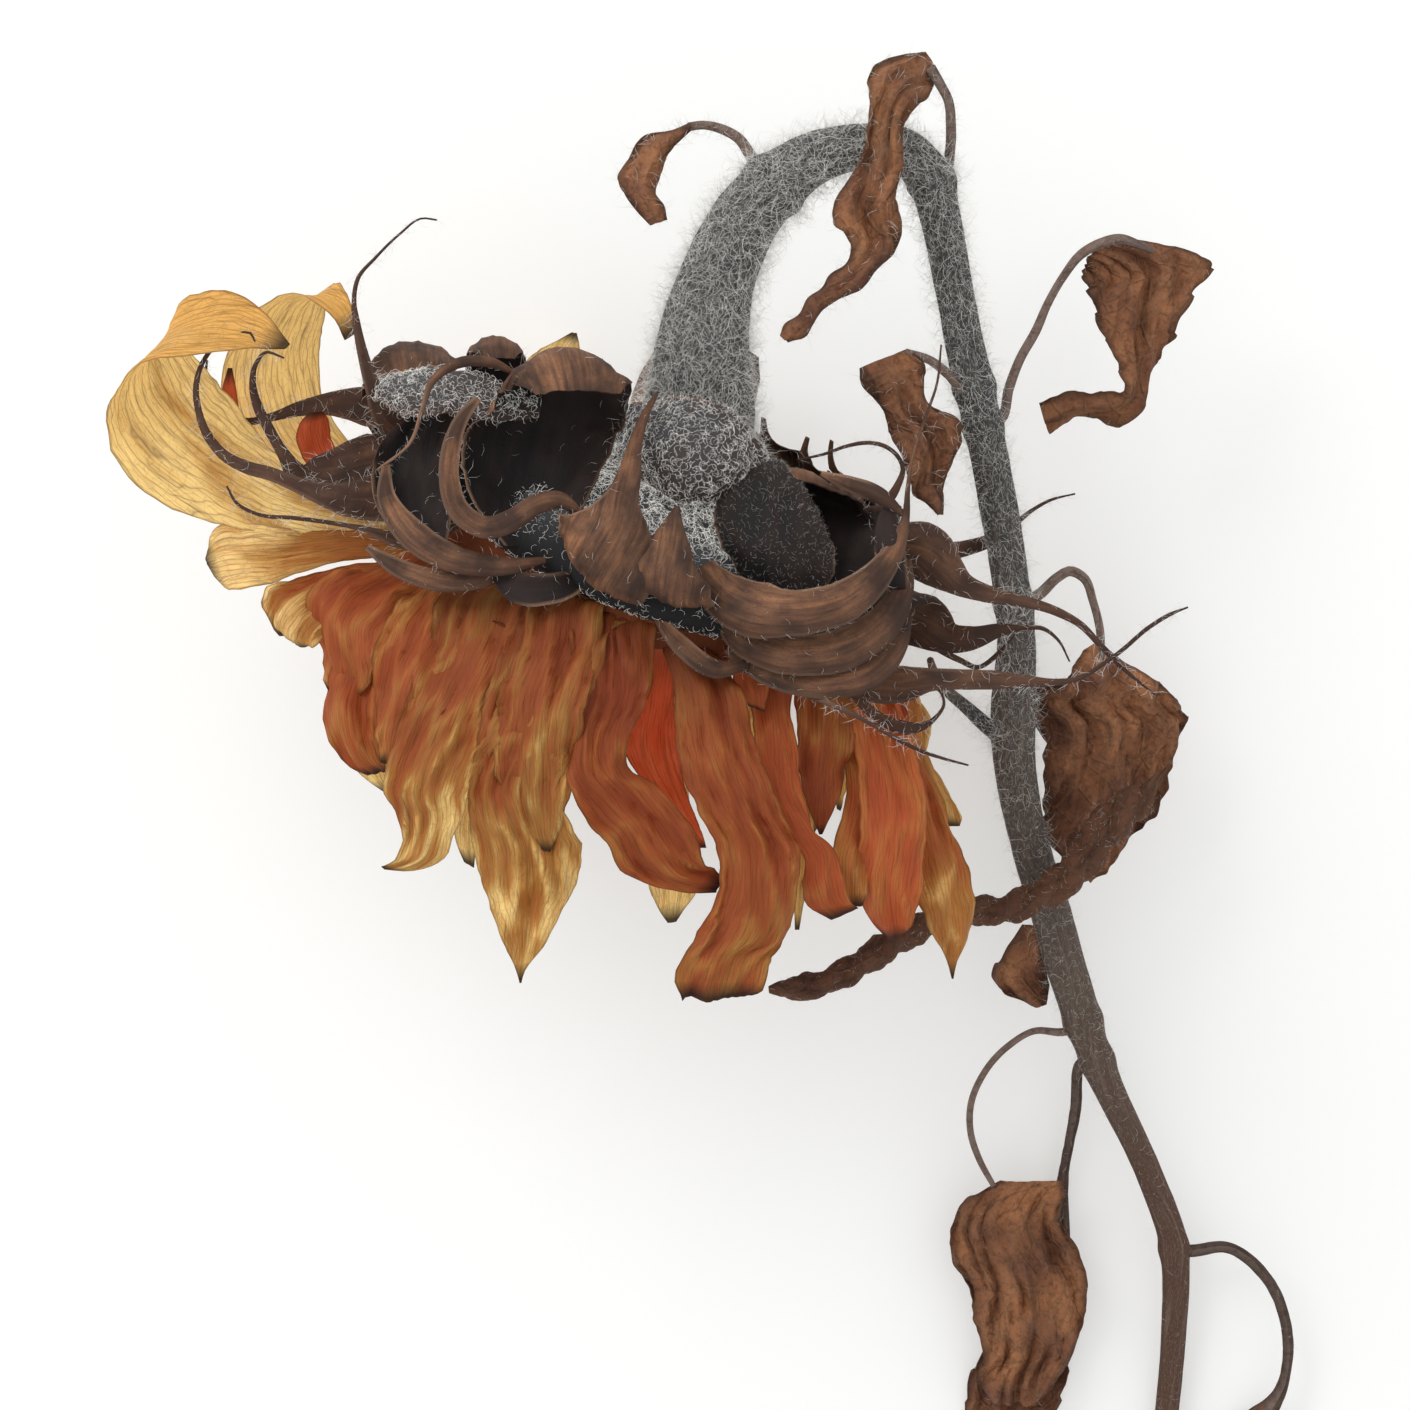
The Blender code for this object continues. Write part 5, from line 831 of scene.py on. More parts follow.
class DrySheets:
    """Collects thin blades and tubes into one mesh, with the values that the finishes read at each point."""

    NAMES = ("across", "along", "age", "across_mm", "along_mm", "rim_mm", "inner", "flush", "fur",
             "fur_length", "wool", "down")

    def __init__(self) -> None:
        """Start with nothing collected."""
        self.points: list[np.ndarray] = []
        self.faces: list[tuple[int, ...]] = []
        self.values: dict[str, list[np.ndarray]] = {name: [] for name in self.NAMES}
        self.count = 0

    def keep(self, points: np.ndarray, values: dict[str, np.ndarray]) -> int:
        """Take in points with their values.

        Args:
            points: The points, in any grid shape.
            values: The values at those points. A name that is missing is 0 there.

        Returns:
            The number of the first new point.
        """
        first = self.count
        flat = points.reshape(-1, 3)
        self.points.append(flat)
        for name in self.NAMES:
            given = np.asarray(values.get(name, 0.0), dtype=float)
            given = given.reshape(-1) if given.ndim else given
            self.values[name].append(np.broadcast_to(given, (len(flat),)))
        self.count += len(flat)
        return first

    def add_blade(self, blade: Blade, fur: float = 0.0, fur_length: float = 1.0, rim_fur: float = 0.0,
                  wool: float = 0.0) -> None:
        """Add a blade as a closed sheet.

        Args:
            blade: The blade.
            fur: How densely hairs stand on its faces, as a share of the coat's density.
            fur_length: The hairs' length there, as a share of the coat's.
            rim_fur: How densely hairs stand along its edges.
            wool: How densely curly wool covers its front.
        """
        front, back, values = blade.surfaces()
        rows, columns = front.shape[:2]
        near_rim = np.clip(1 - values["rim_mm"] / 0.6, 0.0, 1.0)
        coat = fur + (rim_fur - fur) * near_rim if rim_fur else fur + 0 * near_rim
        values = {**values, "fur": coat, "fur_length": fur_length + 0 * near_rim}
        start = self.keep(front, {**values, "inner": blade.dark.value[0], "wool": wool})
        behind = self.keep(back, {**values, "inner": blade.dark.value[1]})
        index = np.arange(rows * columns).reshape(rows, columns)
        corners = (index[:-1, :-1], index[:-1, 1:], index[1:, 1:], index[1:, :-1])
        a, b, c, d = (corner.ravel() for corner in corners)
        self.faces += (np.stack((a, b, c, d), axis=1) + start).tolist()
        self.faces += (np.stack((d, c, b, a), axis=1) + behind).tolist()
        rim = np.concatenate((index[0], index[1:, -1], index[-1, -2::-1], index[-2:0:-1, 0]))
        ahead = np.roll(rim, -1)
        self.faces += np.stack((start + ahead, start + rim, behind + rim, behind + ahead), axis=1).tolist()

    def add_tube(self, path: np.ndarray, sides: int, swell: np.ndarray | None = None,
                 first_way: np.ndarray | None = None, **values: float) -> None:
        """Add a closed round tube.

        Args:
            path: Rows of x, y, z and diameter.
            sides: Points round the tube.
            swell: Shares of the radius by row and side, for a surface that isn't round.
            first_way: The direction in which the tube starts.
            values: Values for the finishes that are the same all over the tube.
        """
        centres = path[:, :3]
        ways = unit(np.gradient(centres, axis=0))
        if first_way is not None:
            ways[0] = first_way
        side = unit(np.cross(ways[0], (0.31, 0.52, 0.79)))
        rings = np.zeros((len(path), sides, 3))
        turns = np.linspace(0, 2 * np.pi, sides, endpoint=False)
        for row, way in enumerate(ways):
            side = unit(side - way * np.dot(side, way))
            other = np.cross(way, side)
            ring = np.cos(turns)[:, None] * side + np.sin(turns)[:, None] * other
            stretch = 1.0 if swell is None else swell[row][:, None]
            rings[row] = centres[row] + ring * path[row, 3] / 2 * stretch
        rings[:, :, 2] = np.maximum(rings[:, :, 2], FLOOR_GAP)
        blank = np.zeros((len(path), sides))
        share = np.linspace(0, 1, len(path))[:, None]
        steps = np.linalg.norm(np.diff(centres, axis=0), axis=1)
        along = np.concatenate(([0.0], np.cumsum(steps)))[:, None]
        grown = {name: value + blank for name, value in values.items()}
        start = self.keep(rings, {
            "across": np.cos(turns)[None, :] + blank, "along": share + blank, "along_mm": along + blank,
            "across_mm": (turns * path[:, 3:4] / 2) + blank, "rim_mm": 3.0 + blank, **grown})
        index = np.arange(len(path) * sides).reshape(len(path), sides) + start
        self.faces += self.quads(index, False)
        self.faces += [tuple(index[0][::-1].tolist()), tuple(index[-1].tolist())]

    def add_turned(self, rings: np.ndarray, closed: bool, values: dict[str, np.ndarray]) -> None:
        """Add a form made of rings of points.

        Args:
            rings: The points by ring and place round it.
            closed: True where the last ring joins the first; otherwise both ends are closed by flat faces.
            values: Values for the finishes, by ring and place.
        """
        start = self.keep(rings, values)
        index = np.arange(rings.shape[0] * rings.shape[1]).reshape(rings.shape[:2]) + start
        if not closed:
            self.faces += [tuple(index[0][::-1].tolist()), tuple(index[-1].tolist())]
        self.faces += self.quads(index, closed)

    def quads(self, index: np.ndarray, closed: bool) -> list[list[int]]:
        """Join rings of points by faces.

        Args:
            index: The points' numbers by ring and place round it.
            closed: True where the last ring joins the first.

        Returns:
            The faces' corners.
        """
        beside = np.roll(index, -1, axis=1)
        last = len(index) if closed else -1
        ahead, far = (np.roll(part, -1, axis=0)[:last] for part in (beside, index))
        corners = (index[:last], beside[:last], ahead, far)
        return np.stack([corner.ravel() for corner in corners], axis=1).tolist()

    def build(self, name: str, material: Material) -> Piece:
        """Make the mesh object of all that was collected.

        Args:
            name: The piece's name.
            material: Its finish.

        Returns:
            The object, at the origin, with its place in its mesh.
        """
        mesh = bpy.data.meshes.new(name)
        mesh.from_pydata((np.concatenate(self.points) * MM).tolist(), [], self.faces)
        for key, parts in self.values.items():
            layer = mesh.attributes.new(key, "FLOAT", "POINT")
            layer.data.foreach_set("value", np.concatenate(parts).astype(np.float32))
        shape = bmesh.new()
        shape.from_mesh(mesh)
        bmesh.ops.recalc_face_normals(shape, faces=shape.faces)
        shape.to_mesh(mesh)
        shape.free()
        mesh.shade_smooth()
        mesh.set_sharp_from_angle(angle=SHEET_CREASE)
        mesh.materials.append(material)
        thing = bpy.data.objects.new(name, mesh)
        bpy.context.scene.collection.objects.link(thing)
        return thing


def dress(piece: Piece, slot: str, *nodes: str) -> Piece:
    """Tie a finished piece to the plant.

    Args:
        piece: The piece.
        slot: Not used.
        nodes: The solids that it stands for.

    Returns:
        The piece.
    """
    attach(piece, "root")
    if nodes:
        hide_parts(*nodes)
    piece.data.calc_loop_triangles()
    LOG.info("%s: %d triangles", piece.name, len(piece.data.loop_triangles))
    return piece


def sheet_place(add: Adder, across_scale: float, along_scale: float) -> Socket:
    """Give a pattern place that follows a blade or a tube: mm across and along it, scaled.

    Args:
        add: Adds a node to the finish's tree.
        across_scale: Pattern units in a mm across.
        along_scale: Pattern units in a mm along.

    Returns:
        The place's socket.
    """
    across, along = (add(MATHS, (add(READ, attribute_name=name, out="Fac"), scale), operation="MULTIPLY")
                     for name, scale in (("across_mm", across_scale), ("along_mm", along_scale)))
    sideways = add("ShaderNodeSeparateXYZ", (add(PLACE, out="Object"),))
    # One unit in 40 mm of the plant's width sets neighbouring blades apart.
    depth = add(MATHS, (sideways, 25.0), operation="MULTIPLY")
    return add("ShaderNodeCombineXYZ", (across, along, depth))


def start_finish(name: str) -> tuple[Material, Adder]:
    """Start a finish.

    Args:
        name: The finish's name.

    Returns:
        The empty material and what adds a node to it.
    """
    material = bpy.data.materials.new(name)
    material.use_nodes = True
    # A weak glow over a hundred thousand faces isn't worth sampling as lamps.
    material.cycles.emission_sampling = "NONE"
    material.node_tree.nodes.clear()
    return material, partial(add_node, material.node_tree)


@dataclass(frozen=True)
class PaperyPetal:
    """Dried ray floret: papery tissue that lets light through, rust where it is thick, ochre at its tips.

    Brown veins run its whole length, 13 to a petal, fainter on the rust than on the pale yellow, and a net
    of cross veins joins them towards the tip. The reverse of a pale petal is duller and more orange. Its
    pale and orange parts carry a painted glow that stands for light shining through them, and its root a
    painted shade from the bracts above it.
    """

    name: str = "papery_petal"
    young: str = "A64F2D"
    middle: str = "BC6836"
    old: str = "D2A052"
    pale: str = "F8E19A"
    # Bright red-orange, partly a painted glow of light shining through the petal.
    glowing_orange: str = "D8633A"
    reverse: str = "DBAE62"
    vein: str = "6A3818"
    burnt: str = "33201A"
    glow: float = 0.44
    veins: float = 6.5
    vein_depth: float = 0.00022

    def vein_lines(self, add: Adder) -> tuple[Socket, Socket]:
        """Draw the long veins and the net between them.

        Args:
            add: Adds a node to the finish's tree.

        Returns:
            How strongly the long veins and the net show at a place, each from 0 to 1.
        """
        across = add(READ, attribute_name="across", out="Fac")
        # The veins wander over 8 mm across and 20 mm along, and the net's meshes are 1 mm by 2 mm.
        warp = add(NOISE, {"Vector": sheet_place(add, 0.12, 0.05), "Scale": 1.0, "Detail": 3.0})
        shift = add(RANGE, (warp, 0.2, 0.8, -1.6, 1.6))
        bent = add(MATHS, (across, self.veins, shift), operation="MULTIPLY_ADD")
        wave = add(MATHS, (add(MATHS, (bent, math.pi), operation="MULTIPLY"),), operation="SINE")
        flat = add(MATHS, (1.0, add(MATHS, (wave,), operation="ABSOLUTE")), operation="SUBTRACT")
        cells = add("ShaderNodeTexVoronoi", {"Vector": sheet_place(add, 0.95, 0.5), "Scale": 1.0},
                    feature="DISTANCE_TO_EDGE", out="Distance")
        return add(MATHS, (flat, 4.0), operation="POWER"), add(RANGE, (cells, 0.0, 0.07, 1.0, 0.0))

    def material(self) -> Material:
        """Build the finish.

        Returns:
            The material.
        """
        material, add = start_finish(self.name)
        along, back, flush, age, rim = (add(READ, attribute_name=name, out="Fac")
                                        for name in ("along", "inner", "flush", "age", "rim_mm"))
        # Streaks 0.7 mm by 17 mm, blotches 9 mm by 14 mm and fibres 0.2 mm by 4.5 mm. The fibres are four
        # times as wide as real ones, so that the camera still sees them.
        streaks = add(NOISE, {"Vector": sheet_place(add, 1.5, 0.06), "Scale": 1.0, "Detail": 5.0,
                              "Roughness": 0.62})
        blotch = add(NOISE, {"Vector": sheet_place(add, 0.11, 0.07), "Scale": 1.0, "Detail": 3.0})
        fibre = add(NOISE, {"Vector": sheet_place(add, 5.0, 0.22), "Scale": 1.0, "Detail": 3.0})
        lines, net = self.vein_lines(add)
        age = add(MATHS, (age, add(RANGE, (streaks, 0.3, 0.7, -0.12, 0.12))), operation="ADD")
        older = add(RANGE, (blotch, 0.35, 0.65, -0.12, 0.12))
        age = add(MATHS, (age, older), operation="ADD", use_clamp=True)
        pale = add(RANGE, (age, 0.55, 0.9))
        duller = add(MATHS, (pale, back), operation="MULTIPLY")
        # Orange streaks, partly a painted glow of light shining through the tissue.
        warm = add(MATHS, (flush, add(RANGE, (streaks, 0.25, 0.6, 0.55, 1.0))), operation="MULTIPLY")
        shown = add(MATHS, (add(RANGE, (age, 0.3, 0.9, 0.1, 0.52)), lines), operation="MULTIPLY")
        netted = add(MATHS, (add(RANGE, (age, 0.45, 0.7, 0.0, 0.22)), net), operation="MULTIPLY")
        base = linear(self.young)
        for share, colour in (
            (add(RANGE, (age, 0.0, 0.34)), self.middle),
            (add(RANGE, (age, 0.3, 0.7)), self.old),
            (add(RANGE, (age, 0.6, 0.92)), self.pale),
            (duller, self.reverse),
            (warm, self.glowing_orange),
            (add(MATHS, (shown, netted), operation="MAXIMUM"), self.vein),
            (add(RANGE, (fibre, 0.5, 0.75, 0.0, 0.5)), self.vein),
            (add(RANGE, (streaks, 0.5, 0.72, 0.0, 0.45)), self.vein),
            (add(RANGE, (rim, 0.05, 0.4, 0.55, 0.0)), self.vein),
            (add(RANGE, (along, 0.95, 0.99, 0.0, 0.9)), self.burnt),
            # Painted shade: the root darkens where the bracts above shade it.
            (add(RANGE, (along, 0.04, 0.3, 0.6, 0.0)), self.vein),
        ):
            base = add(MIX, {0: share, 6: base, 7: linear(colour)}, out=2, data_type="RGBA")
        grain = add(MATHS, (lines, -0.35, streaks), operation="MULTIPLY_ADD")
        grain = add(MATHS, (fibre, 0.6, grain), operation="MULTIPLY_ADD")
        bump = add(BUMP, {"Height": grain, "Strength": 0.75, "Distance": self.vein_depth})
        # Painted glow: pale and orange tissue gives off a little light, standing in for light shining
        # through it.
        painted_glow = add(MATHS, (add(MATHS, (pale, 0.42), operation="MULTIPLY"),
                          add(MATHS, (flush, 0.3), operation="MULTIPLY")), operation="MAXIMUM")
        surface = add(SURFACE, {"Base Color": base, "Roughness": 0.6, "Specular IOR Level": 0.3,
                                "Emission Color": base, "Emission Strength": painted_glow, "Normal": bump})
        through = add(TRANSLUCENT, {"Color": base, "Normal": bump})
        add(OUTPUT, {"Surface": add(MIX_SHADER, (self.glow, surface, through))}, out=None)
        return material


@dataclass(frozen=True)
class LeatheryBract:
    """Dried bract: smooth leathery brown on one face, charcoal and rough on the other, its thin edge pale.

    Its tail dries darker, and fine lengthwise streaks follow its veins. The near black of its inner faces
    and of the receptacle is partly painted shade of the hollows, and each bract darkens across one half,
    towards one edge, as painted shade.
    """

    name: str = "leathery_bract"
    outer: str = "5F4132"
    warm: str = "A0704F"
    # Dark umber for random patches, and for the painted shade towards one edge.
    umber_and_shade: str = "2C201B"
    # Near black for inner faces and the receptacle: dark skin, darkened further as painted shade of the
    # hollows.
    dark_skin_and_shade: str = "151414"
    rim: str = "B08B72"
    tail: str = "3E2B24"
    felt: str = "4A4C4E"

    def material(self) -> Material:
        """Build the finish.

        Returns:
            The material.
        """
        material, add = start_finish(self.name)
        along, inner, wool, rim, across, age = (
            add(READ, attribute_name=name, out="Fac")
            for name in ("along", "inner", "wool", "rim_mm", "across", "age"))
        # Streaks 0.8 mm by 10 mm, patches 6 mm by 8 mm and grains of 0.4 mm, twice the size of real ones.
        streaks = add(NOISE, {"Vector": sheet_place(add, 1.3, 0.1), "Scale": 1.0, "Detail": 5.0,
                              "Roughness": 0.65})
        patches = add(NOISE, {"Vector": sheet_place(add, 0.16, 0.12), "Scale": 1.0, "Detail": 3.0})
        speckle = add(NOISE, {"Vector": sheet_place(add, 2.6, 2.6), "Scale": 1.0, "Detail": 2.0})
        blade_rim = add(MATHS, (add(RANGE, (rim, 0.2, 0.7, 0.55, 0.0)),
                                add(RANGE, (along, 0.5, 0.62, 1.0, 0.0))), operation="MULTIPLY")
        base = linear(self.outer)
        for share, colour in (
            (add(RANGE, (streaks, 0.35, 0.68)), self.warm),
            (add(RANGE, (patches, 0.4, 0.62, 0.0, 0.85)), self.umber_and_shade),
            (add(RANGE, (speckle, 0.5, 0.78, 0.0, 0.4)), self.tail),
            # Inner faces turn near black, partly painted shade of the hollows.
            (inner, self.dark_skin_and_shade),
            (add(RANGE, (wool, 0.1, 0.6)), self.felt),
            (blade_rim, self.rim),
            # Painted shade: each bract darkens across one half, towards one edge, like the shade under a
            # curled band.
            (add(RANGE, (across, 0.0, 1.0, 0.0, 0.6)), self.umber_and_shade),
            (age, self.tail),
        ):
            base = add(MIX, {0: share, 6: base, 7: linear(colour)}, out=2, data_type="RGBA")
        height = add(MATHS, (speckle, 0.5, streaks), operation="MULTIPLY_ADD")
        bump = add(BUMP, {"Height": height, "Strength": 0.7, "Distance": 0.0003})
        surface = add(SURFACE, {"Base Color": base, "Roughness": 0.7, "Specular IOR Level": 0.25,
                                "Normal": bump})
        add(OUTPUT, {"Surface": surface}, out=None)
        return material


@dataclass(frozen=True)
class HairyStalk:
    """Dried stem: a matt woody rind, charcoal under its hairs at the top, brown further down, with ribs."""

    name: str = "hairy_stalk"
    top: str = "3C3D3D"
    middle: str = "5A4D44"
    low: str = "553D31"
    pale: str = "8E8072"
    down: str = "B4B3AF"

    def material(self) -> Material:
        """Build the finish.

        Returns:
            The material.
        """
        material, add = start_finish(self.name)
        along = add(READ, attribute_name="along", out="Fac")
        # Streaks 0.7 mm by 17 mm, and flecks of down 0.2 mm by 0.7 mm, wider than the real down's hairs.
        streaks = add(NOISE, {"Vector": sheet_place(add, 1.4, 0.06), "Scale": 1.0, "Detail": 5.0,
                              "Roughness": 0.65})
        flecks = add(NOISE, {"Vector": sheet_place(add, 5.0, 1.4), "Scale": 1.0, "Detail": 3.0})
        downy = add(MATHS, (add(RANGE, (flecks, 0.5, 0.66, 0.0, 0.6)),
                            add(RANGE, (along, 0.3, 0.7, 1.0, 0.2))), operation="MULTIPLY")
        base = linear(self.top)
        for share, colour in (
            (add(RANGE, (along, 0.35, 0.7)), self.middle),
            (add(RANGE, (along, 0.7, 0.85)), self.low),
            (add(RANGE, (streaks, 0.5, 0.75, 0.0, 0.45)), self.pale),
            (downy, self.down),
        ):
            base = add(MIX, {0: share, 6: base, 7: linear(colour)}, out=2, data_type="RGBA")
        bump = add(BUMP, {"Height": streaks, "Strength": 0.8, "Distance": 0.0004})
        surface = add(SURFACE, {"Base Color": base, "Roughness": 0.85, "Specular IOR Level": 0.2,
                                "Normal": bump})
        add(OUTPUT, {"Surface": surface}, out=None)
        return material


@dataclass(frozen=True)
class PlantHair:
    """Plant hair: dry and glassy, white where light strikes it and greyer in patches of 2.5 mm, with a weak
    painted glow that stands for the light its glassy strands catch from all around.
    """

    name: str = "plant_hair"
    shade: str = "F1EFEA"
    dull: str = "B9B3AC"
    glow: float = 0.07

    def material(self) -> Material:
        """Build the finish.

        Returns:
            The material.
        """
        material, add = start_finish(self.name)
        patch = add(NOISE, {"Vector": add(PLACE, out="Object"), "Scale": 400.0, "Detail": 2.0})
        base = add(MIX, {0: add(RANGE, (patch, 0.35, 0.7, 0.0, 0.5)), 6: linear(self.shade),
                         7: linear(self.dull)}, out=2, data_type="RGBA")
        # The emission is a painted glow, for light that the glassy hairs catch from all around.
        surface = add(SURFACE, {"Base Color": base, "Roughness": 0.5, "Specular IOR Level": 0.4,
                                "Emission Color": base, "Emission Strength": self.glow})
        add(OUTPUT, {"Surface": surface}, out=None)
        return material


@dataclass(frozen=True)
class WitheredLeaf:
    """Withered leaf: brittle brown tissue with faint paler veins, warmer blotches and dark curled edges."""

    name: str = "withered_leaf"
    main: str = "7E5440"
    warm: str = "C08458"
    dark: str = "35251F"
    vein: str = "A07C60"
    stalk: str = "8C817A"
    glow: float = 0.15

    def material(self) -> Material:
        """Build the finish.

        Returns:
            The material.
        """
        material, add = start_finish(self.name)
        age, rim = (add(READ, attribute_name=name, out="Fac") for name in ("age", "rim_mm"))
        # Blotches of 11 mm, streaks 2 mm by 14 mm, veins 4 mm apart and grains of 1 mm, coarser than real.
        place = add(PLACE, out="Object")
        blotch = add(NOISE, {"Vector": place, "Scale": 90.0, "Detail": 4.0, "Roughness": 0.55})
        fine = add(NOISE, {"Vector": place, "Scale": 900.0, "Detail": 4.0, "Roughness": 0.65})
        streaks = add(NOISE, {"Vector": sheet_place(add, 0.5, 0.07), "Scale": 1.0, "Detail": 4.0,
                              "Roughness": 0.6})
        net = add("ShaderNodeTexVoronoi", {"Vector": sheet_place(add, 0.26, 0.22), "Scale": 1.0},
                  feature="DISTANCE_TO_EDGE", out="Distance")
        veins = add(RANGE, (net, 0.0, 0.07, 0.28, 0.0))
        base = linear(self.main)
        for share, colour in (
            (add(MATHS, (add(RANGE, (blotch, 0.36, 0.66, 0.0, 0.8)), age), operation="MULTIPLY"), self.warm),
            (add(RANGE, (age, 0.22, 0.32, 0.7, 0.0)), self.stalk),
            (add(RANGE, (fine, 0.48, 0.74, 0.0, 0.6)), self.dark),
            (add(RANGE, (streaks, 0.5, 0.7, 0.0, 0.65)), self.dark),
            (veins, self.vein),
            (add(RANGE, (rim, 0.2, 1.5, 0.65, 0.0)), self.dark),
        ):
            base = add(MIX, {0: share, 6: base, 7: linear(colour)}, out=2, data_type="RGBA")
        height = add(MATHS, (veins, 1.2, blotch), operation="MULTIPLY_ADD")
        height = add(MATHS, (fine, 0.9, height), operation="MULTIPLY_ADD")
        bump = add(BUMP, {"Height": height, "Strength": 1.0, "Distance": 0.0008})
        surface = add(SURFACE, {"Base Color": base, "Roughness": 0.75, "Specular IOR Level": 0.25,
                                "Normal": bump})
        through = add(TRANSLUCENT, {"Color": base})
        add(OUTPUT, {"Surface": add(MIX_SHADER, (self.glow, surface, through))}, out=None)
        return material


@dataclass(frozen=True)
class WitheredDisc:
    """Withered disc florets: dark brown husks with paler dusty tops, in spots of 1.4 mm."""

    name: str = "withered_disc"
    husk: str = "3A2A20"
    dust: str = "8C6A45"

    def material(self) -> Material:
        """Build the finish.

        Returns:
            The material.
        """
        material, add = start_finish(self.name)
        spots = add(NOISE, {"Vector": add(PLACE, out="Object"), "Scale": 700.0, "Detail": 3.0})
        base = add(MIX, {0: add(RANGE, (spots, 0.4, 0.7, 0.0, 0.75)), 6: linear(self.husk),
                         7: linear(self.dust)}, out=2, data_type="RGBA")
        bump = add(BUMP, {"Height": spots, "Strength": 0.7, "Distance": 0.0003})
        surface = add(SURFACE, {"Base Color": base, "Roughness": 0.85, "Specular IOR Level": 0.2,
                                "Normal": bump})
        add(OUTPUT, {"Surface": surface}, out=None)
        return material


@dataclass(frozen=True)
class PaleFloor:
    """Matt white studio sheet that a light table brightens from below, so that shadows on it stay faint."""

    name: str = "pale_floor"
    shade: str = "D2D3D2"
    light: str = "F4F4F2"
    light_strength: float = 0.4

    def material(self) -> Material:
        """Build the finish.

        Returns:
            The material.
        """
        material, add = start_finish(self.name)
        surface = add(SURFACE, {"Base Color": linear(self.shade), "Roughness": 1.0,
                                "Specular IOR Level": 0.0, "Emission Color": linear(self.light),
                                "Emission Strength": self.light_strength})
        add(OUTPUT, {"Surface": surface}, out=None)
        return material


def start_growth(name: str, sizes: dict[str, float]) -> tuple[bpy.types.NodeTree, Adder, Sockets]:
    """Start a tree of Geometry Nodes with one named input for each size.

    Args:
        name: The tree's name.
        sizes: The inputs' values by name, a whole number where the input takes one.

    Returns:
        The tree, what adds a node to it, and its inputs as sockets to join.
    """
    tree = bpy.data.node_groups.new(name, "GeometryNodeTree")
    tree.interface.new_socket("Geometry", in_out="INPUT", socket_type="NodeSocketGeometry")
    for key, value in sizes.items():
        kind = "NodeSocketInt" if isinstance(value, int) else "NodeSocketFloat"
        tree.interface.new_socket(key, in_out="INPUT", socket_type=kind).default_value = value
    tree.interface.new_socket("Geometry", in_out="OUTPUT", socket_type="NodeSocketGeometry")
    add = partial(add_node, tree)
    return tree, add, add("NodeGroupInput").node.outputs


def end_growth(add: Adder, repeated: Piece, material: Material, **feeds: Socket) -> None:
    """Set a thing on points, make the copies real and give them their finish.

    Args:
        add: Adds a node to the tree.
        repeated: The thing to set on the points.
        material: The copies' finish.
        feeds: The points with the turn and size of each copy, by input.
    """
    shape = add("GeometryNodeObjectInfo", {"Object": repeated}, out="Geometry")
    placed = add("GeometryNodeInstanceOnPoints", {"Instance": shape, **feeds})
    real = add("GeometryNodeRealizeInstances", (placed,))
    coated = add("GeometryNodeSetMaterial", {0: real, "Material": material})
    add("NodeGroupOutput", (coated,), out=None)


def run_growth(name: str, skin: bpy.types.Mesh, tree: bpy.types.NodeTree, sizes: dict[str, float],
               repeated: Piece) -> Piece:
    """Run a growing tree and keep what it grows as a plain mesh.

    Args:
        name: The grown piece's name.
        skin: What it grows on.
        tree: The tree.
        sizes: The values of its inputs by name.
        repeated: The thing that the tree repeats, which isn't needed afterwards.

    Returns:
        The grown piece.
    """
    grown = bpy.data.objects.new(name, skin)
    bpy.context.scene.collection.objects.link(grown)
    live = grown.modifiers.new("growth", "NODES")
    live.node_group = tree
    for item in tree.interface.items_tree:
        if item.in_out == "INPUT" and item.name in sizes:
            live[item.identifier] = sizes[item.name]
    mesh = bpy.data.meshes.new_from_object(grown.evaluated_get(bpy.context.evaluated_depsgraph_get()))
    grown.modifiers.clear()
    grown.data = mesh
    mesh.name = name
    mesh.shade_smooth()
    bpy.data.objects.remove(repeated)
    return grown


def ring_faces(rings: int, sides: int) -> list[tuple[int, ...]]:
    """Join rings of points, numbered one after another, by faces.

    Args:
        rings: The number of rings.
        sides: The points in each.

    Returns:
        The faces' corners.
    """
    return [(ring * sides + corner, ring * sides + (corner + 1) % sides,
             (ring + 1) * sides + (corner + 1) % sides, (ring + 1) * sides + corner)
            for ring in range(rings - 1) for corner in range(sides)]


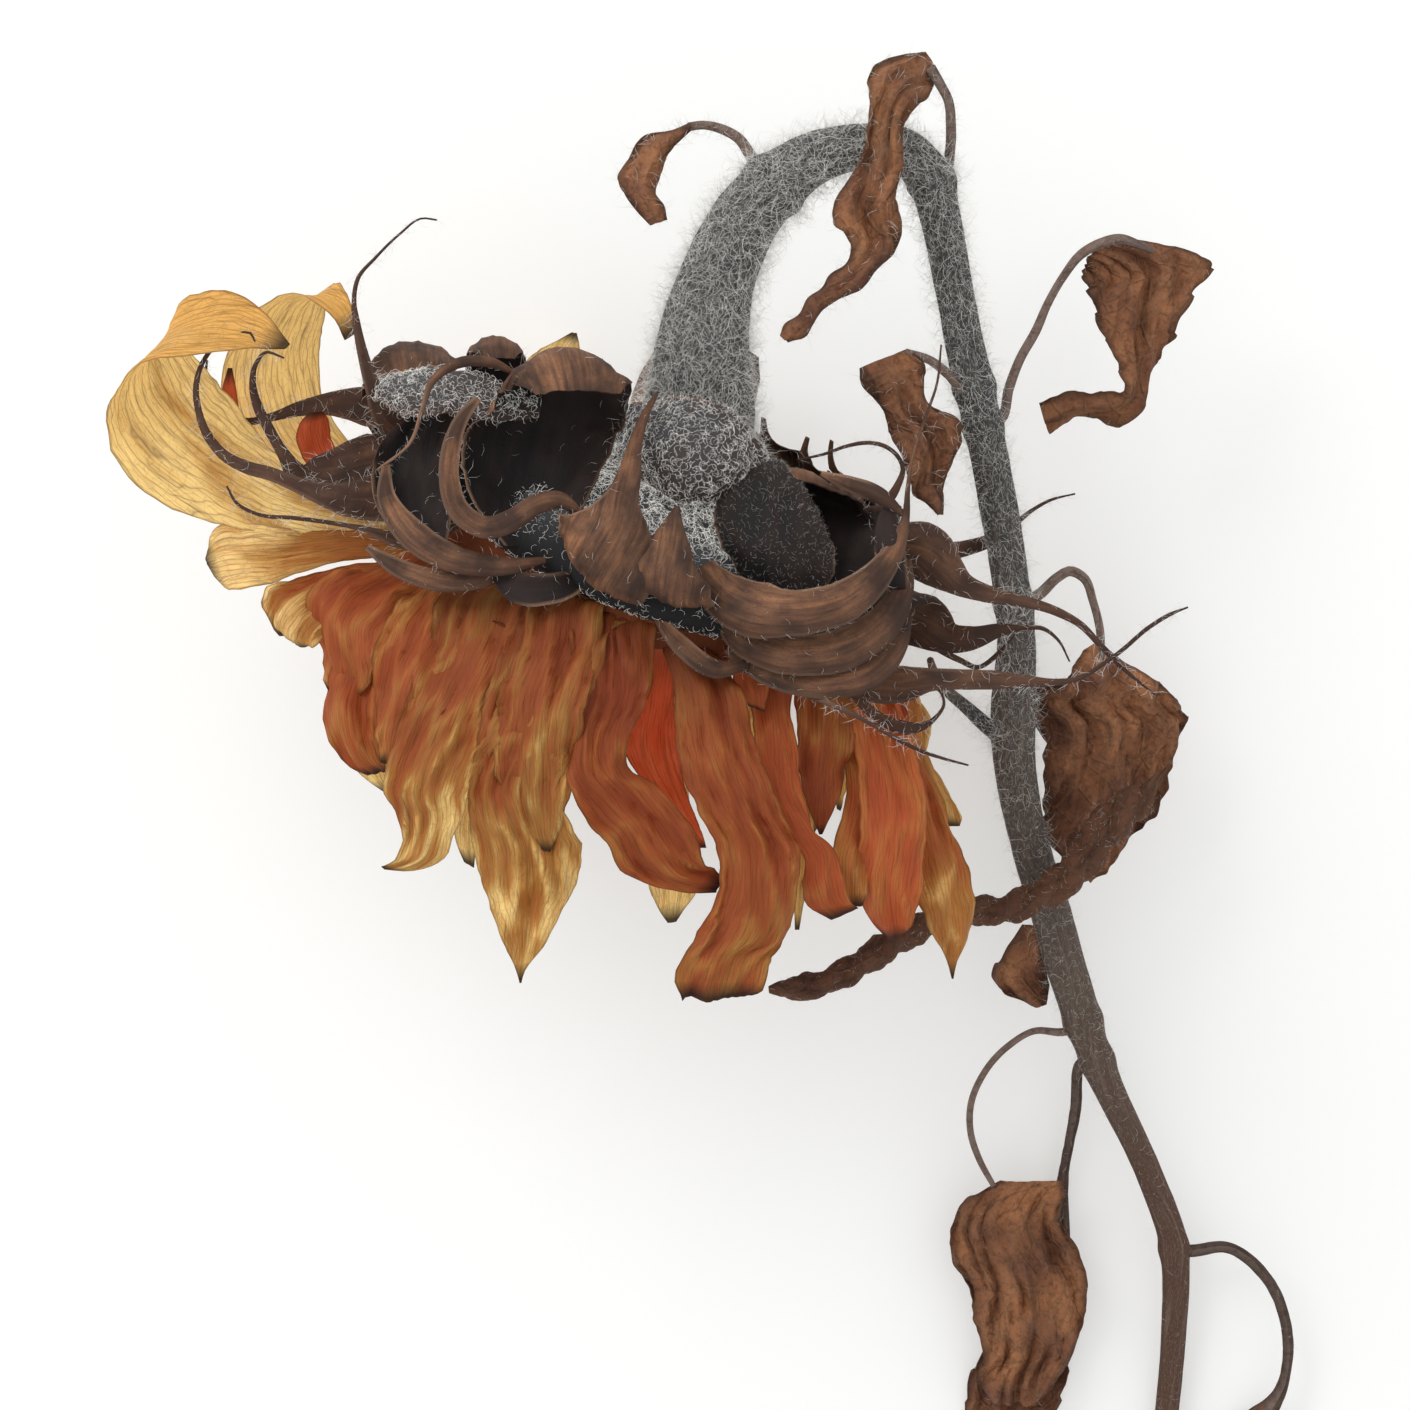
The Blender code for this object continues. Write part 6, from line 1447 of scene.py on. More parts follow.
@dataclass
class HairCoat:
    """A coat of hairs that Geometry Nodes grow on a skin, denser and longer where the skin's values say so.

    The hairs are about twice as thick as real ones, so that fewer of them cover the skin.
    """

    length: float
    width: float
    stretches: int
    bend: float
    lean: float
    per_square_mm: float
    seed: int
    mask: str = "fur"

    def hair(self) -> Piece:
        """Make one hair of length 1: a three-sided blade that bends in an arc and comes to a point.

        Returns:
            The hair.
        """
        thick = self.width / self.length / 2
        last = math.radians(self.bend)
        radius = 1 / last
        places = []
        for step in range(self.stretches):
            turned = last * step / self.stretches
            x, z = radius * (1 - math.cos(turned)), radius * math.sin(turned)
            size = thick * (1 - 0.35 * step / self.stretches)
            for turn in (0.0, math.tau / 3, math.tau * 2 / 3):
                places.append((x + size * math.cos(turn) * math.cos(turned), size * math.sin(turn),
                               z - size * math.cos(turn) * math.sin(turned)))
        tip = len(places)
        places.append((radius * (1 - math.cos(last)), 0.0, radius * math.sin(last)))
        faces = ring_faces(self.stretches, 3)
        faces += [(tip - 3 + corner, tip - 3 + (corner + 1) % 3, tip) for corner in range(3)]
        mesh = bpy.data.meshes.new("one_hair")
        mesh.from_pydata(places, [], faces + [(2, 1, 0)])
        return bpy.data.objects.new("one_hair", mesh)

    def grow(self, skin: Piece, name: str, material: Material) -> Piece:
        """Grow the coat on a skin, as a plain mesh.

        Args:
            skin: The piece that the hairs stand on.
            name: The coat's name.
            material: The hairs' finish.

        Returns:
            The coat.
        """
        hair = self.hair()
        sizes = {"Density": self.per_square_mm / MM**2, "Length": self.length * MM,
                 "Lean": math.radians(self.lean), "Seed": self.seed}
        tree, add, given = start_growth("hair_coat", sizes)
        fur, reach = (add("GeometryNodeInputNamedAttribute", {"Name": mask}, data_type="FLOAT")
                      for mask in (self.mask, "fur_length"))
        density = add(MATHS, (fur, given["Density"]), operation="MULTIPLY")
        points = add("GeometryNodeDistributePointsOnFaces", {"Mesh": given["Geometry"], "Density": density,
                     "Seed": given["Seed"]}, distribute_method="RANDOM")
        spin = add(RANDOM, {"Min": (0.0, 0.0, 0.0), "Max": (0.0, 0.0, math.tau)}, data_type="FLOAT_VECTOR")
        least = add(MATHS, (given["Lean"], 0.3), operation="MULTIPLY")
        lean = add(RANDOM, {2: least, 3: given["Lean"], "Seed": 3}, out=1, data_type="FLOAT")
        facing = points.node.outputs["Rotation"]
        for turn in (spin, add("ShaderNodeCombineXYZ", (lean,))):
            facing = add("FunctionNodeRotateRotation", (facing, add("FunctionNodeEulerToRotation", (turn,))),
                         rotation_space="LOCAL")
        vary = add(RANDOM, {2: 0.45, 3: 1.15, "Seed": 5}, out=1, data_type="FLOAT")
        size = add(MATHS, (vary, given["Length"]), operation="MULTIPLY")
        size = add(MATHS, (size, reach), operation="MULTIPLY")
        end_growth(add, hair, material, Points=points, Rotation=facing, Scale=size)
        coat = run_growth(name, skin.data, tree, sizes, hair)
        places = np.zeros(len(coat.data.vertices) * 3, np.float32)
        coat.data.vertices.foreach_get("co", places)
        places[2::3] = np.maximum(places[2::3], FLOOR_GAP * MM)
        coat.data.vertices.foreach_set("co", places)
        return coat


# The long coat of the neck and the stem.
NECK_COAT = HairCoat(length=5.4, width=0.065, stretches=3, bend=80, lean=62, per_square_mm=1.45, seed=3)


def facing_across(centres: np.ndarray, rolls: np.ndarray) -> np.ndarray:
    """Give the across directions of a blade that faces up.

    Args:
        centres: The places along the blade's line.
        rolls: Degrees that each row turns about the line.

    Returns:
        One direction for each row.
    """
    ways = unit(np.gradient(centres, axis=0))
    level = unit(np.cross(ways, (0.0, 0.0, 1.0)))
    other = np.cross(ways, level)
    turns = np.radians(rolls)[:, None]
    return level * np.cos(turns) + other * np.sin(turns)


def shown_line(rows: list[Row], count: int) -> tuple[np.ndarray, np.ndarray]:
    """Smooth a blade that faces up.

    Args:
        rows: Rows of x, y, z, width, turn about the line and cup, the last two left out where they are 0.
        count: The number of steps.

    Returns:
        Rows of x, y, z, width and cup, and the across direction of each.
    """
    line = smooth([row + (0,) * (6 - len(row)) for row in rows], count)
    return line[:, (0, 1, 2, 3, 5)], facing_across(line[:, :3], line[:, 4])


def edged_line(rows: list[Row], count: int, root: np.ndarray | None = None) -> tuple[np.ndarray, np.ndarray]:
    """Smooth a blade that is given by its two edges.

    Args:
        rows: Rows of one edge's x, y, z, the other edge's x, y, z and the cup.
        count: The number of steps.
        root: A first row of x, y, z of the middle, x, y, z across and the cup.

    Returns:
        Rows of x, y, z, width and cup, and the across direction of each.
    """
    table = np.array(rows, dtype=float)
    first, second = table[:, :3], table[:, 3:6]
    knots = np.column_stack(((first + second) / 2, second - first, table[:, 6]))
    line = smooth(knots if root is None else np.vstack((root, knots)), count)
    spans = np.linalg.norm(line[:, 3:6], axis=1)
    return np.column_stack((line[:, :3], spans, line[:, 6])), line[:, 3:6]


def head_line(knots: list[Row], count: int) -> tuple[np.ndarray, np.ndarray]:
    """Smooth a blade whose line is given round the head.

    Args:
        knots: Rows of angle, radius, level, width and cup.
        count: The number of steps.

    Returns:
        Rows of x, y, z, width and cup, and the across direction of each.
    """
    places = [tuple(head_point(angle, radius, level)) + (width, cup, angle)
              for angle, radius, level, width, cup in knots]
    line = smooth(places, count)
    return line[:, :5], head_across(line[:, 5])


def nearest_row(path: np.ndarray, row: Row) -> int:
    """Find which row of a line lies nearest to the place that another row starts with.

    Args:
        path: The line.
        row: The other row.

    Returns:
        The number of the nearest row.
    """
    return int(np.argmin(np.linalg.norm(path[:, :3] - np.array(row[:3]), axis=1)))


@dataclass
class Stem:
    """The stem: one tapering hooked stalk with fine ribs and a coat of white hairs.

    coat gives how densely hairs stand and how long they are, as values at shares of the stem's length.
    """

    rings: int = 420
    sides: int = 44
    stub_rows: int = 40
    stub_sides: int = 14
    ribs: int = 9
    rib_height: float = 0.028
    lump_height: float = 0.05
    node_height: float = 0.16
    node_length: float = 0.006
    coat: dict[str, tuple[Row, Row]] = field(default_factory=lambda: {
        "fur": ((0, 0.18, 0.3, 0.45, 0.74, 0.8, 1), (1.0, 1.0, 0.8, 0.5, 0.38, 0.1, 0.05)),
        "fur_length": ((0, 0.2, 0.5, 0.75, 1), (1.0, 1.0, 0.75, 0.5, 0.3))})

    def path(self) -> np.ndarray:
        """Give the stem's line as rows of x, y, z and diameter."""
        return smooth(STEM, self.rings - 1)

    def node_places(self, path: np.ndarray) -> list[float]:
        """Find where the leaf stalks leave the stem, as shares of its length.

        Args:
            path: The stem's line.

        Returns:
            One share for each leaf stalk.
        """
        roots = [stalk[0] for _, _, stalk, _ in LEAVES.values() if stalk]
        roots += [rows[0] for rows in LOW_LEAVES.values()]
        return [nearest_row(path, root) / len(path) for root in roots]

    def build(self) -> Piece:
        """Make the stalk.

        Returns:
            The stalk, which carries the values that its coats read.
        """
        path = self.path()
        turns = np.linspace(0, 2 * np.pi, self.sides, endpoint=False)[None, :]
        share = np.linspace(0, 1, self.rings)[:, None]
        around = round_places(turns, share, 40)
        swell = 1 + self.rib_height * np.cos(self.ribs * turns + 3 * np.sin(5 * share))
        swell = swell + self.lump_height * unevenness(around, 1.1, 2.0) + 0.02 * unevenness(around, 0.3, 4.0)
        for place in self.node_places(path):
            swell = swell + self.node_height * np.exp(-((share - place) / self.node_length) ** 2)
        swell = swell * np.interp(share, (0.3, 0.42, 0.62, 0.74, 0.85, 0.95),
                                  (1.0, 1.14, 1.14, 1.0, 0.84, 0.95))
        sheets = DrySheets()
        sheets.add_tube(path, self.sides, swell, HEAD_AXIS)
        sheets.add_tube(smooth(BROKEN_STALK, self.stub_rows), self.stub_sides)
        stalk = sheets.build("stem_stalk", HairyStalk().material())
        layers = stalk.data.attributes
        along = np.zeros(len(stalk.data.vertices), np.float32)
        layers["along"].data.foreach_get("value", along)
        for name, (places, values) in self.coat.items():
            layers[name].data.foreach_set("value", np.interp(along, places, values).astype(np.float32))
        return dress(stalk, "stem", "stem")

    def grow_hairs(self, stalk: Piece, material: Material) -> None:
        """Grow the long thick coat and the short under-coat on the stalk.

        Args:
            stalk: The stalk.
            material: The hairs' finish.
        """
        dress(NECK_COAT.grow(stalk, "stem_long_hairs", material), "stem")
        short = HairCoat(length=3.0, width=0.065, stretches=2, bend=90, lean=85, per_square_mm=1.4, seed=8)
        dress(short.grow(stalk, "stem_short_hairs", material), "stem")


@dataclass
class Involucre:
    """The back of the head: the domed hairy receptacle with its rows of curled bracts.

    Each mesh holds a blade's steps along and cells across.
    """

    profile: list[tuple[float, float]] = field(default_factory=lambda: [
        (RECEPTACLE_RADIUS - 2.5, SEAT_LEVEL), (RECEPTACLE_RADIUS, -1.2), (RECEPTACLE_RADIUS - 0.6, 2.0),
        (34.5, 5.6), (29.0, 8.8), (22.5, 11.4), (16.0, 13.6), (12.0, 15.4), (NECK_RADIUS, NECK_HEIGHT)])
    sides: int = 112
    steps: int = 44
    thickness: float = 0.35
    firm: Relief = Relief(ruffle=0.5, frill=0.35, folds=0.55, fold_width=2.6, fold_length=12.0, pleats=1.0,
                          pleat_height=0.2, crumple=0.9, crumple_size=6.0, fray=0.06)
    soft: Relief = Relief(ruffle=0.5, frill=0.3, folds=0.35, fold_width=1.8, fold_length=12.0, pleats=1.0,
                          pleat_height=0.15, crumple=0.6, crumple_size=6.0, fray=0.07)
    slim: Relief = Relief(ruffle=0.35, frill=0.25, folds=0.3, fold_width=1.8, fold_length=10.0, pleats=1.0,
                          pleat_height=0.15, crumple=0.4, crumple_size=5.0, fray=0.06)
    carrying_angles: tuple[tuple[int, int], ...] = ((260, 6), (273, -8))
    rear_angles: tuple[int, ...] = (200, 213, 227, 241, 266, 291, 305, 319, 333)
    blade_outline: tuple[float, ...] = (0.75, 0.92, 1.0, 1.0, 0.88, 0.68, 0.42)
    tail_outline: tuple[float, ...] = (0.2, 0.1, 0.06)
    tail_relax: float = 70
    rear_mesh: tuple[int, int] = (36, 8)
    hooded_mesh: tuple[int, int] = (52, 18)
    banded_mesh: tuple[int, int] = (64, 10)
    tailed_mesh: tuple[int, int] = (66, 8)
    seed: int = 4

    def bract_knots(self, bract: Row) -> list[Row]:
        """Curl a bract from the rim outwards and back towards the stem, then let its tail straighten.

        Args:
            bract: Angle, radius, level, length, width, first heading, curl, tail length and tail sway.

        Returns:
            Rows of angle, radius, level, width and cup.
        """
        angle, radius, level, length, width, heading, curl, tail, sway = bract
        blade_steps, tail_steps = len(self.blade_outline) - 1, len(self.tail_outline)
        way = math.radians(heading)
        knots = [(angle, radius, level, width * self.blade_outline[0], 6)]
        for step in range(1, blade_steps + tail_steps + 1):
            in_blade = step <= blade_steps
            stride = length / blade_steps if in_blade else tail / tail_steps
            share = (step - blade_steps) / tail_steps
            way += math.radians(curl / blade_steps if in_blade else -self.tail_relax / tail_steps)
            radius += math.cos(way) * stride
            level += math.sin(way) * stride
            full = self.blade_outline[step] if in_blade else self.tail_outline[step - blade_steps - 1]
            turned = angle + (0 if in_blade else sway * share)
            knots.append((turned, radius, level, max(width * full, 0.9), 14 if in_blade else 0))
        return knots

    def rear_bracts(self) -> list[Row]:
        """List the curled bracts that a rule draws behind the head.

        Returns:
            Rows for bract_knots.
        """
        draw = random.Random(self.seed)
        rear = [(angle, 33, 0.0, draw.uniform(31, 33), 11, -6, draw.uniform(146, 152), 4, sway)
                for angle, sway in self.carrying_angles]
        for angle in self.rear_angles:
            rear.append((angle + draw.uniform(-2, 2), 33, 0.0, draw.uniform(18, 20), draw.uniform(14, 17),
                         draw.uniform(-32, -24), draw.uniform(185, 208), draw.uniform(5, 8),
                         draw.uniform(-10, 10)))
        return rear

    def receptacle(self, sheets: DrySheets) -> None:
        """Add the lumpy dome that the bracts and the neck grow from.

        Args:
            sheets: The mesh that takes it.
        """
        line = smooth([(radius, level, 0.0) for radius, level in self.profile], self.steps)
        rings, turns = head_rings(line[:, :2], self.sides)
        lumps = unevenness(rings, 6.0, 1.0) * 0.9 + unevenness(rings, 2.0, 3.0) * 0.3
        lumps = lumps * np.linspace(0.2, 1.0, len(line))[:, None]
        rings = rings + unit(rings - HEAD_CENTRE) * lumps[:, :, None]
        radii = line[:, 0][:, None] + 0 * turns
        front = np.interp(np.sin(np.radians(turns)), (-0.2, 0.5), (0.1, 1.0))
        # The whole dome takes the near-black inner colour, partly painted shade between the bracts.
        sheets.add_turned(rings, False, {
            "inner": 1.0 + 0 * radii, "rim_mm": 9 + 0 * radii, "across_mm": np.radians(turns) * radii,
            "along_mm": radii, "fur_length": np.interp(radii, (10, 27, 34), (1.15, 1.0, 0.6)),
            "down": np.interp(radii, (12, 17, 22), (1.0, 0.7, 0.0)),
            "wool": np.interp(radii, (10, 27, 33, 39), (1.0, 1.0, 0.5, 0.1)) * front})

    def build(self) -> Piece:
        """Make the receptacle and the bracts as one mesh.

        Returns:
            The piece, which carries the values that its coats read.
        """
        draw = random.Random(self.seed + 20)
        sheets = DrySheets()
        self.receptacle(sheets)
        steps, cells = self.rear_mesh
        for bract in self.rear_bracts():
            line, across = head_line(self.bract_knots(bract), steps)
            sheets.add_blade(Blade(line, across, cells, self.thickness, self.slim, draw.uniform(0, 6.3),
                                   stalk=0.6, dark=DarkFace.NEITHER), fur=0.05, fur_length=0.5, rim_fur=0.6)
        steps, cells = self.hooded_mesh
        for dark, rows in HOODED_BRACTS.values():
            line = smooth(rows, steps)
            turns = np.radians(line[:, 4])
            across = np.stack((np.cos(turns), np.sin(turns), 0 * turns), axis=1)
            furred = dark is DarkFace.BOTH
            sheets.add_blade(Blade(line[:, (0, 1, 2, 3, 5)], across, cells, self.thickness, self.firm,
                                   draw.uniform(0, 6.3), (0.0, 0.15, 0.0), 1.0, dark),
                             fur=1.8 if furred else 0.03, rim_fur=1.0, fur_length=0.35 if furred else 0.8)
        steps, cells = self.banded_mesh
        for name, (dark, rows) in BANDED_BRACTS.items():
            line, across = shown_line(rows, steps)
            sheets.add_blade(Blade(line, across, cells, self.thickness, self.soft, draw.uniform(0, 6.3),
                                   (0.05, 0.55, 0.0), 0.8, dark), fur=0.04, fur_length=0.6, rim_fur=0.9,
                             wool=1.0 if name.startswith("wool") else 0.0)
        steps, cells = self.tailed_mesh
        for angle, roll, rows in TAILED_BRACTS.values():
            root = tuple(head_point(angle, 32.0, 1.5)) + (rows[0][3] * 0.8, roll, 5)
            line, across = shown_line([root] + rows, steps)
            sheets.add_blade(Blade(line, across, cells, self.thickness, self.slim, draw.uniform(0, 6.3),
                                   (0.3, 1.0, 0.0), 0.7, DarkFace.NEITHER), fur=0.2, fur_length=0.9,
                             rim_fur=2.4)
        return dress(sheets.build("involucre_bracts", LeatheryBract().material()), "bract", "involucre")

    def grow_hairs(self, involucre: Piece, hair: Material, curly: Material) -> None:
        """Grow the receptacle's wool, its down round the neck and the fringe along the bracts' edges.

        Args:
            involucre: The receptacle with its bracts.
            hair: The straight hairs' finish.
            curly: The curly hairs' finish.
        """
        wool = HairCoat(length=4.4, width=0.09, stretches=4, bend=205, lean=75, per_square_mm=2.1, seed=12,
                        mask="wool")
        down = replace(NECK_COAT, mask="down", per_square_mm=2.4)
        fringe = HairCoat(length=3.2, width=0.07, stretches=2, bend=60, lean=70, per_square_mm=0.9, seed=14)
        for coat, name, finish in ((wool, "wool", curly), (down, "down", hair), (fringe, "fringe", hair)):
            dress(coat.grow(involucre, f"involucre_{name}", finish), "bract")


@dataclass
class RayPetals:
    """The ray florets: long papery petals that hang from a narrow collar round the disc.

    Each mesh holds a petal's steps along and cells across.
    """

    collar_inner: float = 29.4
    collar_outer: float = 35.4
    collar_top: float = -3.6
    collar_bottom: float = -8.0
    collar_sides: int = 180
    thickness: float = 0.24
    rows: int = 66
    cells_per_mm: float = 1.2
    relief: Relief = Relief()
    calm: Relief = Relief(ruffle=0.7, frill=0.3, folds=0.3, fold_width=5.0, fold_length=26.0, pleats=1.0,
                          pleat_height=0.2, crumple=0.5, crumple_size=12.0, fray=0.04)
    hidden: int = 10
    hidden_from: float = 212
    hidden_to: float = 348
    hidden_length: float = 52.0
    hidden_width: float = 12.5
    hidden_outline: Row = (0.5, 0.8, 1.0, 0.95, 0.65, 0.08)
    hidden_mesh: tuple[int, int] = (56, 16)
    raised_mesh: tuple[int, int] = (60, 18)
    seed: int = 11

    def hidden_knots(self, angle: float, draw: random.Random) -> list[Row]:
        """Let a petal hang from the collar behind the head.

        Args:
            angle: The root's angle round the head.
            draw: The seeded random draws.

        Returns:
            Rows of angle, radius, level, width and cup.
        """
        length = self.hidden_length * draw.uniform(0.88, 1.12)
        width = self.hidden_width * draw.uniform(0.85, 1.15)
        sway = draw.uniform(-9, 9)
        heading = math.radians(draw.uniform(-52, -40))
        turn = math.radians(draw.uniform(-38, -18))
        radius, level = PETAL_ROOT_RADIUS, PETAL_ROOT_LEVEL
        knots = []
        for share, full in zip((0.0, 0.2, 0.4, 0.6, 0.8, 1.0), self.hidden_outline):
            if share:
                radius += math.cos(heading + turn * share) * length / 5
                level += math.sin(heading + turn * share) * length / 5
            knots.append((angle + sway * share, radius, level, width * full, 16 * math.sin(math.pi * share)))
        return knots

    def collar(self, sheets: DrySheets) -> None:
        """Add the ring that the petals grow from.

        Args:
            sheets: The mesh that takes it.
        """
        corners = [(self.collar_inner, self.collar_top), (self.collar_outer, self.collar_top),
                   (self.collar_outer, self.collar_bottom), (self.collar_inner, self.collar_bottom)]
        rings, turns = head_rings(corners, self.collar_sides)
        rings = rings + HEAD_AXIS * (unevenness(rings, 2.5, 9.0) * 0.5)[:, :, None]
        blank = np.zeros(rings.shape[:2])
        sheets.add_turned(rings, True, {"along": blank + 0.02, "age": blank + 0.1, "rim_mm": blank + 3,
                                        "across_mm": blank + turns * 0.6})

    def build(self) -> None:
        """Make the collar with the petals that show, and the petals behind the head."""
        draw = random.Random(self.seed)
        finish = PaperyPetal().material()
        shown, rear = DrySheets(), DrySheets()
        self.collar(shown)
        for name, (angle, tints, rows) in SHOWN_PETALS.items():
            root = np.concatenate((head_point(angle, PETAL_ROOT_RADIUS, PETAL_ROOT_LEVEL),
                                   head_across(np.array([angle]))[0] * PETAL_ROOT_WIDTH, (5.0,)))
            line, across = edged_line(rows, self.rows, root)
            cells = int(np.clip(line[:, 3].max() * self.cells_per_mm, 8, 30))
            relief = self.calm if name.startswith("curl") else self.relief
            shown.add_blade(Blade(line, across, cells, self.thickness, relief, draw.uniform(0, 6.3), tints))
        steps, cells = self.raised_mesh
        line, across = head_line(RAISED_PETAL, steps)
        rear.add_blade(Blade(line, across, cells, self.thickness, self.relief, 2.0, (0.8, 0.95, 0.0)))
        steps, cells = self.hidden_mesh
        for index in range(self.hidden):
            angle = self.hidden_from + (self.hidden_to - self.hidden_from) * index / (self.hidden - 1)
            line, across = head_line(self.hidden_knots(angle, draw), steps)
            tints = (draw.uniform(0.1, 0.3), draw.uniform(0.4, 0.8), 0.0)
            seed = draw.uniform(0, 6.3)
            rear.add_blade(Blade(line, across, cells, self.thickness, self.relief, seed, tints))
        dress(shown.build("papery_petals", finish), "petal", "ray_petals")
        dress(rear.build("rear_petals", finish), "petal")


@dataclass
class SeedDisc:
    """The disc: withered florets that Geometry Nodes set in the sunflower's spiral on a low dome."""

    radius: float = 29.0
    crown: float = 5.0
    edge: float = 1.6
    gap: float = 0.35
    sides: int = 96
    florets: int = 640
    floret_height: float = 1.9
    floret_width: float = 1.5
    floret_rings: tuple[tuple[float, float], ...] = ((0.32, -0.3), (0.36, 0.35), (0.5, 0.9), (0.22, 0.72))

    def dome(self) -> DrySheets:
        """Make the low dome that carries the florets.

        Returns:
            The dome, ready to build.
        """
        back = SEAT_LEVEL - self.gap
        outline = [(self.radius * 0.02, back), (self.radius, back)]
        outline += [(self.radius * share, back - self.edge - self.crown * (1 - share**2))
                    for share in np.linspace(1, 0.02, 20)]
        sheets = DrySheets()
        sheets.add_turned(head_rings(outline, self.sides)[0], False, {})
        return sheets

    def floret(self) -> Piece:
        """Make one withered floret of size 1: a five-sided tube that flares and falls in on itself.

        Returns:
            The floret.
        """
        places = [(size * math.cos(math.tau * corner / 5), size * math.sin(math.tau * corner / 5), height)
                  for size, height in self.floret_rings for corner in range(5)]
        faces = ring_faces(len(self.floret_rings), 5) + [(4, 3, 2, 1, 0), (15, 16, 17, 18, 19)]
        mesh = bpy.data.meshes.new("one_floret")
        mesh.from_pydata(places, [], faces)
        return bpy.data.objects.new("one_floret", mesh)

    def spiral(self, material: Material) -> Piece:
        """Set florets in a spiral on a dome, in the head's own frame.

        Args:
            material: The florets' finish.

        Returns:
            The florets as a plain mesh.
        """
        floret = self.floret()
        sizes = {"Count": self.florets, "Radius": (self.radius - 0.9) * MM, "Crown": self.crown * MM,
                 "Height": self.floret_height * MM, "Width": self.floret_width * MM}
        tree, add, given = start_growth("floret_spiral", sizes)
        number = add("GeometryNodeInputIndex")
        middle = add(MATHS, (number, 0.5), operation="ADD")
        square = add(MATHS, (middle, given["Count"]), operation="DIVIDE")
        share = add(MATHS, (square,), operation="SQRT")
        turn = add(MATHS, (number, GOLDEN_ANGLE), operation="MULTIPLY")
        away = add(MATHS, (share, given["Radius"]), operation="MULTIPLY")
        x, y = (add(MATHS, (away, add(MATHS, (turn,), operation=wave)), operation="MULTIPLY")
                for wave in ("COSINE", "SINE"))
        fall = add(MATHS, (square, given["Crown"]), operation="MULTIPLY")
        z = add(MATHS, (given["Crown"], fall), operation="SUBTRACT")
        cloud = add("GeometryNodePoints", {"Count": given["Count"],
                                           "Position": add("ShaderNodeCombineXYZ", (x, y, z))})
        wobble = add(RANDOM, {"Min": (-0.35, -0.35, 0.0), "Max": (0.35, 0.35, math.tau), "Seed": 4},
                     data_type="FLOAT_VECTOR")
        tall = add(RANDOM, {2: 0.6, 3: 1.2, "Seed": 9}, out=1, data_type="FLOAT")
        height = add(MATHS, (tall, given["Height"]), operation="MULTIPLY")
        size = add("ShaderNodeCombineXYZ", (given["Width"], given["Width"], height))
        end_growth(add, floret, material, Points=cloud, Rotation=wobble, Scale=size)
        return run_growth("disc_florets", bpy.data.meshes.new("bare"), tree, sizes, floret)

    def build(self) -> None:
        """Make the dome and its florets."""
        material = WitheredDisc().material()
        dress(self.dome().build("disc_dome", material), "disc", "seed_disc")
        florets = self.spiral(material)
        down = -HEAD_AXIS
        ways = np.stack((HEAD_SIDE, np.cross(down, HEAD_SIDE), down), axis=1)
        base = head_point(0, 0, SEAT_LEVEL - self.gap - self.edge) * MM
        florets.data.transform(Matrix(np.column_stack((ways, base)).tolist() + [(0, 0, 0, 1)]))
        florets.data.set_sharp_from_angle(angle=FLORET_CREASE)
        dress(florets, "disc")


